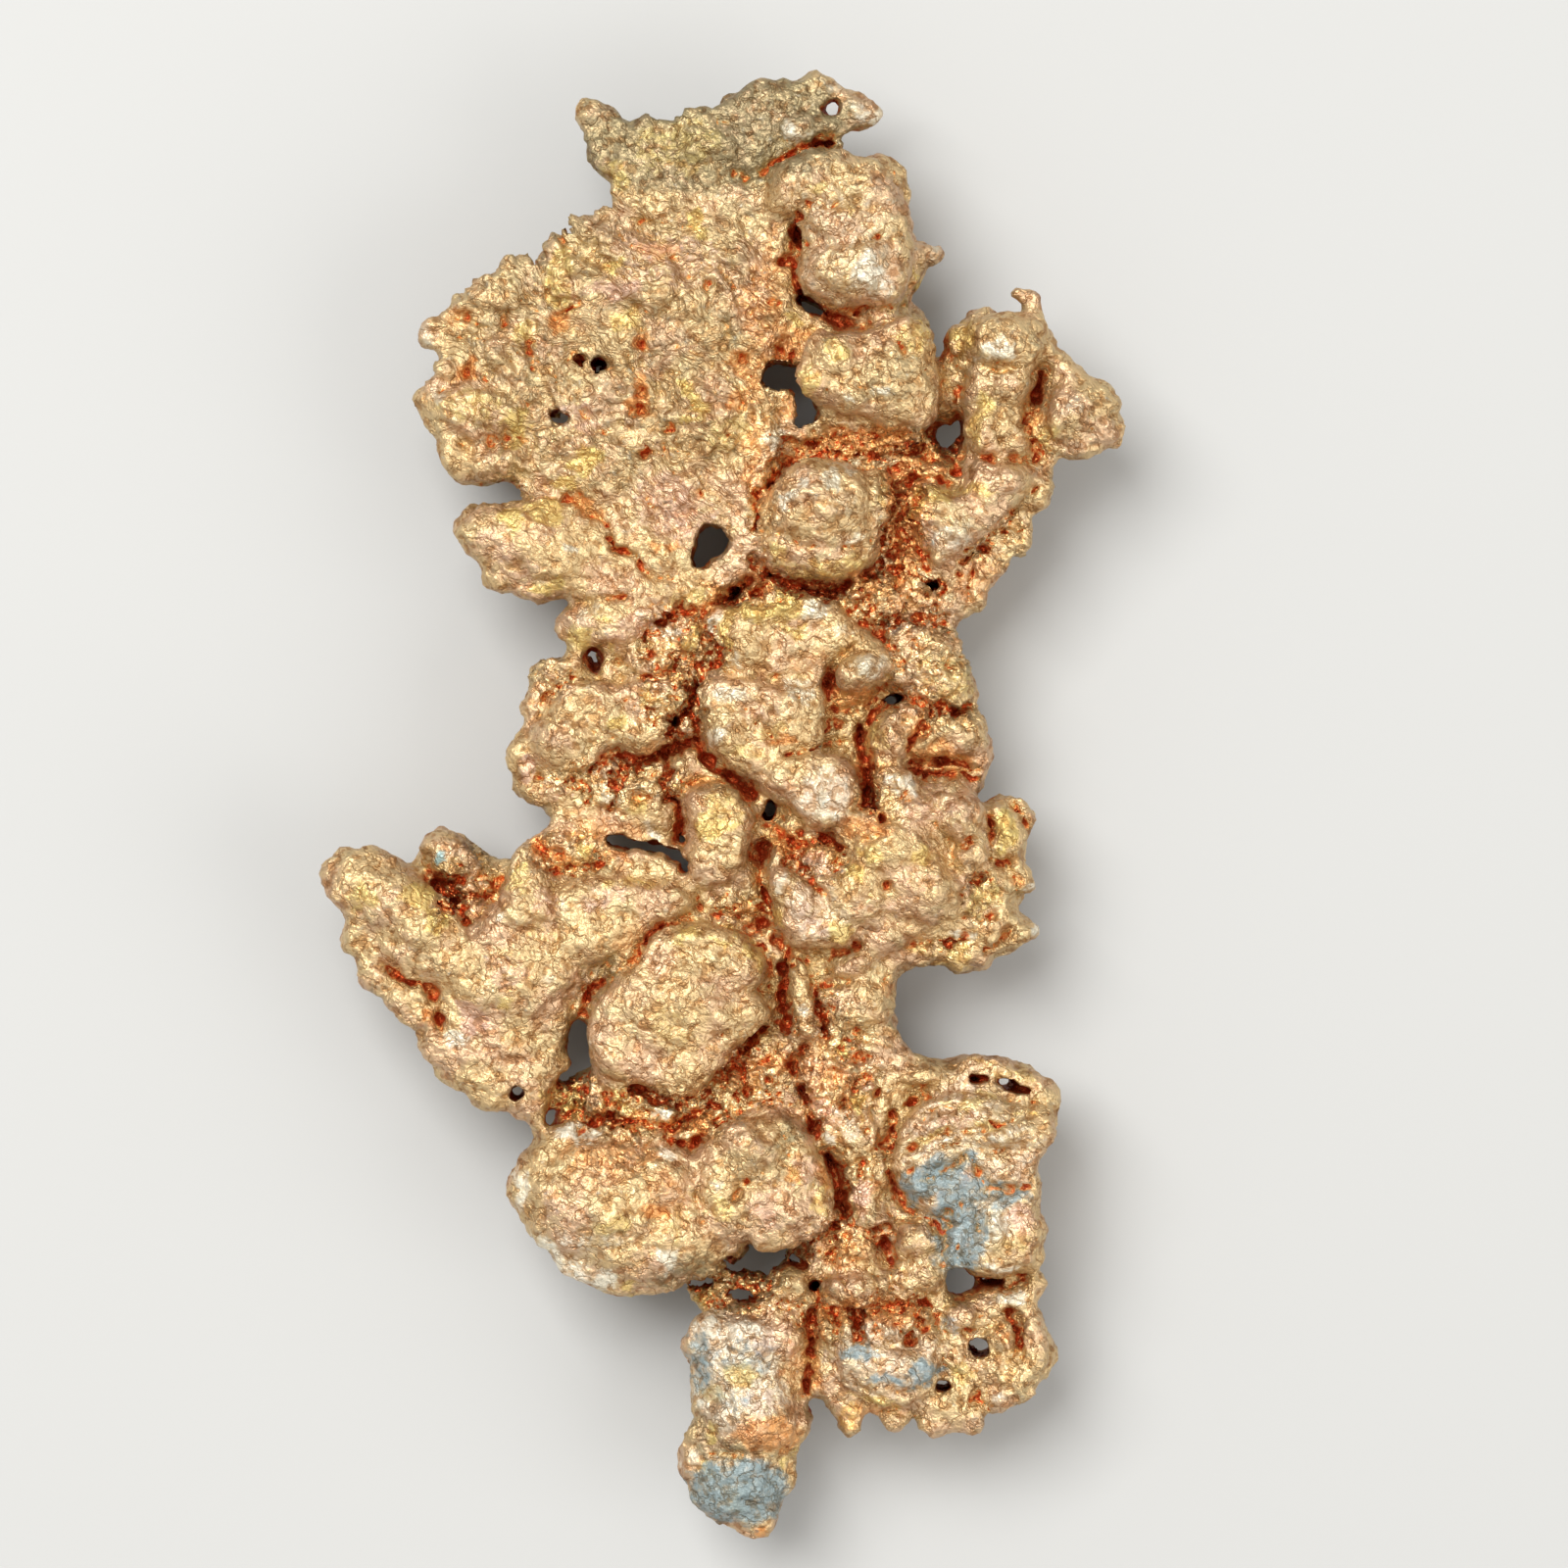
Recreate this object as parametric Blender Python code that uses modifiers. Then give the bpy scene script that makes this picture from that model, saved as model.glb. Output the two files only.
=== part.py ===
"""A native copper nugget, lying on its back: one piece of metal that grew in a cavity of the rock.

Thin leaves and lobes give the nugget its outline, rounded nodules stand on its front and back,
and gaps and holes go right through it. Written in millimetres and built in metres: X runs across
the nugget, Y along it and Z up, with the origin under its middle, on the surface it rests on.
"""

import math

import bmesh
import bpy
from mathutils import Matrix

MM = 0.001

# Driving sizes
SKIN_VOXEL = 0.42  # the grid that melts the lumps into one skin
CUTTER_VOXEL = 0.25  # and the one that melts the gaps and clefts together
HACKLE = 1.3  # height of the skin's uneven bumps, from lowest to highest
HACKLE_SPAN = 1.6  # and their width
WEAR = 0.5  # how strongly the bumps' edges are worn down
TRIANGLES_KEPT = 0.065  # share of the skin's faces that the solid keeps
WELD = 0.0001
FRONT_TOP = 20.0  # clear above the highest nodule
FLOOR_SLAB = (80.0, 120.0, 10.0)  # trims the lowest lumps flat, where the nugget rests

# Each leaf or lobe: the height of its middle, its half thickness, how wide its edge is rounded,
# how much it rises per millimetre along X and Y, and its outline.
LOBES = {
    "crest": (8.3, 1.5, 0.9, 0.02, -0.05, [
        (-8.3, 39.8), (-8.0, 40.7), (-8.8, 41.5), (-9.2, 42.4), (-8.9, 43.0), (-8.1, 43.2),
        (-7.3, 42.9), (-6.4, 42.0), (-5.6, 41.4), (-5.2, 42.0), (-4.6, 42.3), (-3.9, 42.0),
        (-3.0, 42.0), (-2.3, 42.7), (-1.5, 42.9), (-0.8, 42.6), (-0.3, 42.3), (-0.2, 43.3),
        (0.3, 43.5), (0.9, 43.4), (1.7, 44.1), (3.1, 44.4), (4.4, 44.2), (5.0, 44.6),
        (5.5, 45.0), (6.1, 44.7), (7.0, 44.1), (8.0, 43.5), (9.0, 43.2), (9.7, 42.6),
        (9.9, 42.1), (9.2, 41.7), (8.2, 41.4), (7.4, 41.1), (7.3, 40.5), (7.6, 39.5),
        (5.0, 37.0), (0.0, 35.0), (-4.0, 35.5), (-6.4, 36.9), (-6.7, 37.6), (-6.4, 38.2),
        (-7.3, 38.4), (-8.0, 39.0)]),
    "leaf": (7.8, 1.7, 0.9, 0.04, 0.0, [
        (-6.6, 37.0), (-7.3, 36.4), (-7.8, 35.9), (-8.9, 35.8), (-9.5, 35.4), (-9.5, 34.7),
        (-10.4, 34.5), (-11.0, 34.4), (-11.1, 33.8), (-10.9, 33.0), (-11.3, 32.7),
        (-11.9, 33.2), (-12.7, 33.4), (-13.3, 33.1), (-13.6, 32.4), (-14.6, 32.1),
        (-15.4, 31.3), (-16.5, 31.0), (-17.1, 30.3), (-17.7, 29.8), (-18.5, 29.6),
        (-18.8, 28.9), (-18.6, 28.2), (-17.6, 28.0), (-17.0, 27.6), (-17.4, 27.0),
        (-17.5, 26.4), (-17.9, 25.6), (-18.8, 25.1), (-19.0, 24.6), (-18.7, 24.0),
        (-18.3, 23.6), (-17.9, 22.8), (-17.3, 21.7), (-16.8, 20.9), (-16.4, 19.9),
        (-15.8, 19.7), (-14.0, 19.6), (-12.8, 19.9), (-12.5, 19.3), (-11.5, 18.9),
        (-9.0, 17.0), (-6.0, 15.0), (-2.0, 13.6), (2.0, 13.4), (3.0, 18.0), (3.5, 24.0),
        (4.8, 28.0), (4.8, 32.0), (4.6, 36.0), (2.0, 38.5), (-3.0, 38.8)]),
    "long lobe": (8.2, 1.9, 1.1, 0.03, 0.03, [
        (-10.5, 19.1), (-11.5, 18.9), (-12.6, 18.6), (-13.6, 18.6), (-15.0, 18.4),
        (-16.0, 18.0), (-16.5, 17.3), (-16.4, 16.5), (-15.7, 15.5), (-14.7, 14.5),
        (-13.7, 13.8), (-12.7, 12.8), (-11.8, 12.4), (-10.7, 12.6), (-9.6, 12.8),
        (-8.9, 12.6), (-5.0, 12.5), (-2.0, 13.5), (-3.5, 16.5), (-7.5, 17.8)]),
    "short lobe": (7.9, 1.8, 1.0, 0.03, 0.0, [
        (-8.9, 12.8), (-9.7, 12.1), (-10.3, 11.1), (-10.0, 10.2), (-9.3, 9.7), (-8.5, 9.5),
        (-7.5, 9.3), (-3.0, 8.0), (0.5, 11.0), (0.0, 13.5), (-3.0, 14.5), (-6.0, 14.5)]),
    "waist": (6.6, 2.4, 1.0, 0.0, 0.0, [
        (-8.2, 8.3), (-9.3, 8.9), (-10.6, 8.9), (-11.5, 8.6), (-11.9, 8.1), (-11.8, 7.3),
        (-12.1, 6.4), (-12.0, 5.6), (-11.7, 5.2), (-12.2, 4.5), (-13.1, 4.0), (-13.4, 3.4),
        (-13.3, 2.6), (-12.9, 1.6), (-12.2, 0.9), (-11.6, 0.2), (-10.9, 0.0), (-10.4, -0.4),
        (-10.6, -1.3), (-8.0, -2.0), (-2.0, -1.5), (3.0, -2.0), (3.0, 8.0), (0.0, 13.0),
        (-4.0, 12.0), (-7.5, 9.6)]),
    "bed": (5.8, 2.6, 1.0, 0.0, 0.0, [
        (0.6, 12.0), (0.8, 22.0), (4.6, 22.8), (9.0, 23.3), (12.6, 22.3), (13.2, 21.5),
        (14.6, 21.2), (14.4, 11.2), (14.4, 10.2), (14.4, 9.5), (14.8, 8.7), (15.2, 8.0),
        (15.7, 7.5), (15.8, 6.8), (15.5, 6.2), (14.7, 6.0), (14.5, 5.6), (15.5, 5.7),
        (15.9, 5.5), (15.9, 5.0), (16.3, 4.2), (16.5, 3.3), (16.3, 2.4), (15.7, 1.6),
        (15.3, 1.2), (15.8, 0.1), (16.2, 0.1), (14.0, -4.0), (2.0, -4.0), (0.0, 0.0),
        (-2.0, 8.0)]),
    "columns": (7.6, 2.2, 1.0, 0.0, 0.0, [
        (3.4, 38.5), (6.5, 40.0), (7.6, 39.8), (8.7, 39.5), (9.4, 40.1), (10.1, 39.8),
        (10.9, 38.8), (11.6, 38.0), (11.7, 37.4), (11.3, 36.8), (11.4, 35.5), (11.5, 34.5),
        (12.1, 34.6), (13.4, 33.7), (12.6, 33.2), (12.2, 32.4), (11.8, 31.8), (11.4, 31.0),
        (11.2, 30.2), (11.9, 29.5), (12.7, 28.2), (13.2, 26.9), (13.2, 25.0), (12.8, 23.8),
        (12.0, 22.3), (10.0, 21.5), (3.5, 22.5), (3.0, 30.0)]),
    "branch": (7.2, 2.0, 1.0, 0.0, 0.0, [
        (13.3, 28.4), (13.8, 29.0), (14.5, 29.2), (15.0, 30.1), (16.2, 30.3), (17.0, 29.9),
        (18.0, 30.1), (19.3, 30.0), (19.9, 29.2), (20.1, 28.7), (19.8, 27.8), (20.9, 27.3),
        (21.7, 26.5), (20.5, 25.5), (19.0, 23.0), (19.0, 21.5), (20.3, 21.4), (20.1, 20.3),
        (20.2, 19.3), (19.9, 18.4), (18.9, 17.8), (18.8, 16.9), (18.8, 15.8), (18.6, 15.3),
        (17.8, 15.5), (17.1, 15.6), (17.3, 15.0), (16.9, 14.2), (16.3, 13.5), (16.1, 12.9),
        (16.0, 12.4), (15.3, 12.0), (14.5, 11.2), (12.0, 12.0), (10.0, 13.5), (10.0, 20.0),
        (12.5, 20.8), (14.5, 21.0), (15.0, 23.0), (14.6, 25.5), (13.6, 26.8)]),
    "cluster": (7.4, 1.7, 1.0, 0.0, 0.0, [
        (19.0, 25.8), (20.6, 26.1), (21.6, 26.0), (22.4, 26.4), (23.0, 25.9), (23.2, 25.5),
        (23.9, 25.4), (24.3, 24.7), (24.2, 24.0), (24.6, 23.4), (24.4, 22.6), (23.6, 22.0),
        (22.0, 21.4), (20.9, 21.6), (19.6, 21.4), (18.6, 23.5)]),
    "right mass": (6.8, 2.4, 1.1, -0.02, 0.0, [
        (15.8, 0.1), (16.4, 0.2), (17.0, 0.6), (17.6, 0.6), (18.6, 0.0), (19.2, -0.6),
        (19.0, -1.3), (18.6, -1.6), (18.5, -2.3), (18.3, -3.4), (18.8, -4.2), (19.2, -4.9),
        (18.6, -5.3), (17.4, -5.5), (17.8, -6.2), (18.8, -7.1), (19.5, -7.6), (19.4, -8.0),
        (18.8, -8.2), (17.7, -9.0), (16.6, -9.1), (16.4, -9.7), (15.9, -10.3), (15.6, -9.9),
        (14.7, -10.3), (13.9, -10.1), (13.2, -9.6), (12.3, -9.7), (11.4, -10.0),
        (10.4, -9.5), (9.0, -10.5), (4.0, -9.0), (2.6, -5.0), (3.0, -1.0), (9.0, 1.5),
        (14.0, 2.0)]),
    "arm": (7.8, 2.0, 1.2, -0.03, 0.03, [
        (-10.6, -1.3), (-11.5, -1.8), (-12.2, -2.3), (-12.8, -3.1), (-13.1, -4.2),
        (-13.6, -5.2), (-14.4, -6.2), (-15.0, -7.0), (-15.9, -7.2), (-17.0, -6.2),
        (-17.9, -5.0), (-18.8, -3.9), (-19.6, -3.4), (-20.2, -2.8), (-21.8, -2.6),
        (-23.3, -2.8), (-24.2, -3.4), (-24.6, -4.4), (-24.3, -5.4), (-23.7, -6.0),
        (-23.0, -6.6), (-23.2, -7.4), (-23.5, -8.3), (-23.2, -9.1), (-22.4, -9.3),
        (-22.3, -10.2), (-22.0, -10.9), (-21.0, -11.6), (-20.5, -12.5), (-19.7, -13.2),
        (-18.8, -13.5), (-18.1, -13.5), (-18.5, -14.3), (-18.5, -15.1), (-17.8, -15.7),
        (-17.0, -16.0), (-16.7, -16.7), (-16.2, -17.2), (-15.6, -17.5), (-15.2, -18.3),
        (-14.6, -18.9), (-13.8, -18.8), (-13.0, -18.6), (-12.4, -19.3), (-11.8, -20.2),
        (-11.2, -19.8), (-10.8, -18.6), (-10.6, -17.5), (-10.3, -16.8), (-9.8, -16.2),
        (-9.2, -15.7), (-9.8, -15.3), (-9.4, -14.5), (-9.3, -13.5), (-8.6, -13.1),
        (-7.9, -12.0), (-4.0, -8.0), (3.0, -7.0), (3.0, -3.5), (-8.0, -1.5)]),
    "thumb": (5.6, 1.6, 0.9, 0.0, 0.0, [
        (-19.2, -3.8), (-18.2, -2.2), (-17.8, -1.5), (-17.2, -1.2), (-16.6, -1.6),
        (-15.6, -2.1), (-15.0, -2.9), (-14.4, -3.3), (-13.8, -3.5), (-12.9, -3.6),
        (-12.4, -5.0), (-14.5, -8.5), (-18.0, -6.5)]),
    "heel": (5.0, 1.4, 0.7, 0.0, 0.0, [
        (-10.3, -16.9), (-9.6, -17.3), (-8.6, -17.0), (-7.6, -16.4), (-5.0, -18.0),
        (-6.0, -21.0), (-9.0, -20.5), (-10.4, -19.4), (-10.1, -18.4)]),
    "lower middle": (6.2, 2.4, 1.0, 0.0, 0.0, [
        (-8.0, -15.5), (-8.5, -19.8), (-4.0, -21.0), (2.0, -22.0), (6.0, -25.5),
        (5.5, -27.3), (3.4, -28.2), (2.6, -29.3), (1.9, -31.0), (4.0, -33.0), (5.0, -36.0),
        (9.0, -36.5), (13.0, -35.0), (14.0, -30.0), (13.4, -28.2), (13.3, -25.8),
        (11.0, -24.2), (10.3, -22.0), (10.4, -20.5), (11.2, -18.6), (11.4, -17.6),
        (13.5, -16.8), (14.2, -16.4), (13.9, -15.9), (13.0, -15.6), (12.3, -15.7),
        (11.5, -15.3), (10.9, -14.4), (10.4, -13.5), (10.7, -12.0), (10.5, -10.9),
        (10.7, -10.2), (10.2, -9.8), (9.0, -8.0), (3.0, -7.0), (0.0, -9.0)]),
    "lower left": (7.4, 2.6, 1.4, 0.0, 0.0, [
        (-8.2, -19.6), (-9.5, -19.5), (-10.8, -19.8), (-12.0, -20.8), (-12.8, -22.0),
        (-13.2, -23.0), (-13.3, -23.8), (-12.8, -24.5), (-12.1, -25.2), (-11.7, -26.2),
        (-11.3, -26.9), (-10.4, -27.2), (-10.2, -28.0), (-9.9, -28.5), (-9.0, -29.1),
        (-7.8, -29.7), (-6.4, -30.2), (-5.0, -30.0), (-3.2, -29.8), (-2.2, -29.2),
        (-1.0, -28.9), (0.0, -28.2), (1.0, -27.5), (1.6, -26.7), (2.4, -27.4),
        (3.5, -27.2), (4.3, -26.7), (5.5, -26.0), (6.5, -25.5), (6.9, -24.5),
        (6.7, -23.2), (6.2, -21.8), (5.4, -20.3), (4.6, -19.2), (2.5, -18.3), (0.0, -18.7)]),
    "lower right": (6.9, 2.3, 1.1, 0.0, 0.0, [
        (10.4, -20.6), (10.7, -19.0), (12.0, -17.9), (13.8, -17.1), (14.1, -16.4),
        (14.5, -15.3), (15.0, -15.5), (16.4, -15.6), (17.4, -15.4), (18.0, -15.8),
        (18.8, -15.9), (19.5, -16.7), (20.3, -17.4), (20.4, -18.5), (20.5, -19.7),
        (20.2, -20.6), (19.3, -20.8), (19.5, -21.8), (19.2, -22.7), (19.6, -23.2),
        (19.2, -23.9), (19.2, -24.6), (19.5, -25.2), (19.3, -26.3), (19.1, -27.4),
        (18.9, -28.1), (17.8, -28.6), (16.4, -29.0), (15.5, -28.8), (14.8, -28.2),
        (13.5, -28.2), (12.0, -27.0), (10.4, -24.0), (10.2, -22.2)]),
    "tongue": (6.7, 2.1, 1.2, 0.0, 0.04, [
        (2.5, -30.5), (0.2, -30.9), (-1.2, -31.0), (-1.9, -31.8), (-1.9, -32.6),
        (-2.4, -32.5), (-2.8, -33.1), (-2.5, -33.7), (-1.9, -33.4), (-2.0, -34.6),
        (-2.0, -36.0), (-2.0, -37.0), (-1.5, -37.5), (-2.3, -38.3), (-2.7, -39.5),
        (-2.6, -41.0), (-2.2, -42.2), (-1.8, -43.0), (-1.0, -43.5), (0.0, -43.9),
        (1.1, -44.6), (2.2, -45.0), (3.0, -44.8), (3.4, -44.2), (3.7, -43.0), (4.0, -42.2),
        (4.4, -41.2), (4.4, -40.0), (4.7, -39.0), (5.3, -38.2), (5.6, -37.6), (5.2, -37.0),
        (5.1, -36.1), (5.8, -34.0), (5.5, -31.5)]),
    "foot": (6.9, 1.7, 0.8, 0.0, 0.0, [
        (5.4, -36.1), (6.3, -36.9), (7.1, -38.2), (7.7, -39.1), (8.3, -38.1), (8.6, -36.9),
        (9.9, -37.1), (9.7, -37.9), (10.3, -38.3), (11.3, -37.7), (11.6, -37.1),
        (12.1, -37.0), (11.8, -38.2), (12.8, -38.4), (14.0, -38.0), (15.2, -38.4),
        (16.1, -38.2), (15.8, -37.3), (16.3, -37.0), (16.9, -37.4), (17.1, -36.6),
        (18.6, -36.5), (19.1, -36.0), (19.4, -35.2), (20.0, -34.5), (20.3, -33.8),
        (20.3, -32.8), (19.9, -32.3), (19.7, -31.2), (19.3, -30.8), (18.6, -30.6),
        (19.3, -30.2), (19.6, -29.5), (19.6, -28.8), (19.2, -28.6), (18.8, -29.0),
        (18.5, -29.5), (16.8, -29.3), (15.2, -29.9), (13.9, -30.0), (12.0, -30.0),
        (7.0, -31.0), (5.5, -33.0)]),
    "crumb": (5.2, 1.0, 0.5, 0.0, 0.0, [
        (-2.3, -29.6), (-0.9, -29.4), (0.4, -28.6), (2.2, -28.8), (2.4, -30.2),
        (1.0, -31.6), (-1.2, -31.1), (-1.8, -30.9)]),
}

# Rounded nodules and swellings on the front: middle (x, y, z), half sizes, turn in degrees
FRONT = [
    # the double nodule under the crest, with the flap and the plates beside it
    (7.8, 35.2, 10.4, 4.2, 4.8, 4.0, 0), (8.1, 33.0, 11.2, 3.5, 3.2, 3.6, 0),
    (6.4, 37.0, 10.8, 2.2, 1.9, 2.6, 0), (10.6, 38.6, 9.0, 0.8, 2.1, 1.6, 35),
    # the second nodule, with a smaller one fused to its left
    (9.2, 26.1, 10.2, 4.0, 3.4, 3.8, 0), (6.9, 27.1, 10.9, 2.2, 2.2, 2.6, 0),
    (11.3, 29.2, 9.2, 1.4, 2.0, 2.2, 0), (11.6, 23.4, 8.8, 1.5, 1.8, 2.2, 0),
    # the ball in its socket, with a cap
    (5.9, 17.3, 9.8, 4.2, 3.9, 4.3, 0), (6.0, 18.4, 11.6, 3.1, 2.7, 2.8, 0),
    # the branch: smooth head, hook, two columns, side flap and the grape-like knob
    (17.2, 28.2, 9.8, 2.6, 2.1, 2.6, 0), (14.1, 28.4, 8.8, 0.9, 0.9, 1.2, 0),
    (18.9, 30.3, 8.6, 0.7, 0.9, 0.7, 0), (18.8, 31.2, 8.7, 0.7, 0.5, 0.6, 20),
    (18.1, 31.3, 8.6, 0.6, 0.6, 0.6, 0), (17.6, 25.2, 9.4, 1.7, 2.4, 2.4, 10),
    (16.5, 22.9, 9.2, 1.7, 2.2, 2.3, 0), (20.8, 26.6, 8.4, 1.7, 1.0, 1.6, -30),
    (21.9, 24.0, 9.0, 2.3, 2.2, 2.9, 0), (23.0, 23.2, 8.6, 1.5, 1.5, 2.0, 0),
    # the elbow below it, and the fringe down the right edge
    (17.4, 19.8, 9.2, 3.1, 1.6, 2.2, 35), (14.9, 17.7, 9.4, 2.6, 1.6, 2.3, 45),
    (13.4, 15.6, 8.8, 1.3, 1.6, 2.0, 0), (11.8, 19.1, 8.6, 1.2, 2.2, 2.0, -15),
    (19.4, 18.9, 8.2, 0.9, 0.9, 1.2, 0), (17.6, 16.5, 7.6, 1.1, 1.2, 1.6, 0),
    (16.5, 14.4, 7.6, 0.9, 1.0, 1.4, 0), (15.4, 13.0, 7.4, 1.0, 1.0, 1.4, 0),
    (12.4, 12.6, 7.4, 2.0, 1.2, 1.9, 0),
    # the fused lumps of the middle
    (4.5, 10.3, 8.6, 4.6, 2.8, 3.0, 8), (2.2, 5.2, 9.4, 3.8, 2.7, 3.0, 0),
    (2.2, 7.4, 10.2, 3.4, 1.0, 2.0, 0), (8.4, 8.4, 9.8, 2.0, 1.6, 2.4, 20),
    (5.8, 1.2, 10.7, 2.6, 2.4, 2.5, -15), (3.0, 2.2, 9.9, 2.2, 1.7, 2.2, 0),
    (12.3, 9.4, 7.8, 2.9, 2.6, 2.7, 0), (14.0, 3.7, 8.2, 2.2, 2.3, 2.9, 0),
    (12.6, 6.4, 8.0, 2.6, 1.0, 2.2, -25), (10.2, 3.3, 9.0, 1.5, 2.8, 2.6, 8),
    (0.2, -1.4, 9.6, 2.1, 3.1, 2.5, 0),
    # the left side of the waist, and the two lobes above it
    (-8.6, 5.2, 8.7, 3.8, 2.9, 3.4, 10), (-5.4, 7.0, 8.6, 2.2, 2.0, 2.8, 0),
    (-10.9, 7.6, 7.8, 1.2, 1.2, 1.8, 0), (-12.4, 2.9, 7.2, 1.2, 1.3, 1.7, 0),
    (-7.4, 1.4, 7.8, 2.0, 1.2, 2.0, 0), (-10.1, 1.2, 7.4, 1.3, 1.2, 1.8, 0),
    (-4.0, 2.0, 7.4, 1.8, 1.4, 1.8, 0), (-6.6, 11.2, 9.0, 3.0, 1.6, 2.0, 8),
    (-11.8, 15.9, 9.2, 4.4, 2.3, 2.3, -12), (-5.6, 13.2, 8.8, 3.4, 1.2, 1.8, -10),
    # swellings of the leaf
    (-15.0, 24.0, 8.8, 2.8, 1.7, 1.9, -12), (-13.9, 20.8, 8.6, 2.0, 1.0, 1.5, 0),
    (-14.2, 31.0, 8.6, 2.6, 1.3, 1.8, 12), (-9.6, 32.4, 8.8, 3.0, 2.0, 1.5, 0),
    (-4.0, 32.0, 9.0, 4.6, 2.8, 1.7, -35), (-1.2, 24.6, 8.8, 3.2, 5.2, 1.8, 25),
    (-7.6, 20.6, 8.8, 3.4, 2.2, 1.7, -25), (-2.4, 18.6, 8.6, 3.4, 2.0, 1.7, -35),
    # the crest
    (-7.4, 41.6, 8.4, 1.1, 1.9, 1.2, 40), (-1.0, 40.6, 8.8, 4.0, 1.4, 1.5, 10),
    (3.4, 42.6, 8.6, 3.2, 1.2, 1.3, 8), (5.0, 39.6, 9.0, 1.8, 1.2, 2.0, 0),
    # the right side below the waist, with a horn towards the spine
    (11.0, -3.8, 8.6, 5.2, 4.8, 4.2, 0), (14.6, -1.2, 9.6, 2.3, 2.1, 2.8, 0),
    (14.4, -7.2, 8.4, 2.9, 1.8, 2.4, -12), (5.7, -6.0, 10.4, 2.9, 1.1, 2.0, -49),
    (8.0, -8.2, 9.4, 1.9, 1.4, 2.4, 0), (8.6, -12.0, 7.6, 2.0, 2.4, 2.4, 0),
    (17.2, -3.4, 7.6, 1.2, 2.6, 1.9, 8),
    # the arm: knob, thumb, ridge, body
    (-22.0, -4.8, 9.0, 2.4, 2.1, 2.3, 0), (-19.6, -6.2, 9.4, 3.4, 2.2, 2.6, -35),
    (-17.0, -8.4, 9.0, 3.0, 2.2, 2.4, -35), (-16.6, -4.0, 6.8, 1.9, 1.9, 2.2, 0),
    (-12.4, -5.0, 9.9, 1.5, 3.0, 2.3, 0), (-13.2, -9.8, 8.6, 4.8, 4.4, 2.8, 0),
    (-13.6, -14.6, 8.0, 3.4, 3.6, 2.0, 0), (-20.6, -10.8, 7.2, 1.9, 1.4, 1.6, -40),
    (-8.8, -5.4, 9.0, 3.2, 2.4, 2.4, 0), (-4.8, -5.2, 9.0, 3.2, 1.6, 2.2, 8),
    # the coin-shaped plate
    (-3.0, -12.2, 9.0, 5.5, 5.2, 2.9, 0),
    # the fused lumps at the lower left
    (-7.0, -24.6, 8.4, 5.6, 4.8, 4.0, -8), (-2.6, -26.0, 8.2, 4.2, 3.4, 3.6, 20),
    (1.6, -23.2, 9.2, 3.4, 3.6, 3.4, 0), (1.5, -20.9, 10.7, 2.3, 1.9, 2.4, 0),
    (4.4, -24.2, 8.6, 2.0, 2.2, 2.8, 0), (-4.4, -18.6, 6.6, 3.6, 1.6, 2.2, 0),
    # the spine, with its thin blade
    (6.6, -17.0, 7.2, 3.2, 6.4, 2.5, 12), (8.4, -20.4, 9.2, 0.9, 4.6, 2.2, 24),
    (8.3, -26.2, 7.4, 2.4, 4.2, 2.5, 0), (4.9, -11.5, 8.4, 0.9, 3.0, 2.2, 0),
    # the curled lump and the loop over it
    (14.9, -24.0, 8.8, 4.3, 4.4, 3.6, 0), (15.2, -19.8, 9.6, 4.3, 2.4, 3.2, 0),
    (17.2, -16.3, 8.4, 3.0, 0.6, 1.2, -12), (16.4, -25.8, 11.2, 0.9, 1.6, 1.6, 0),
    # the lumps of the lower end
    (8.4, -29.0, 8.6, 2.6, 1.8, 2.4, 0), (11.9, -27.2, 8.0, 1.7, 2.8, 2.5, 0),
    (9.8, -34.5, 8.4, 3.5, 2.2, 2.7, -8), (17.4, -30.3, 7.8, 1.4, 0.9, 1.4, 0),
    (18.9, -33.0, 7.8, 1.3, 1.9, 2.0, 0), (17.6, -35.0, 7.8, 1.7, 1.3, 1.8, 0),
    (15.2, -37.0, 7.6, 1.9, 1.2, 1.8, 0), (14.6, -31.8, 7.6, 1.1, 1.6, 1.7, 0),
    (1.5, -35.2, 8.2, 3.1, 4.4, 2.4, 0), (1.0, -41.4, 7.4, 2.8, 3.2, 2.2, -10),
]

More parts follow.
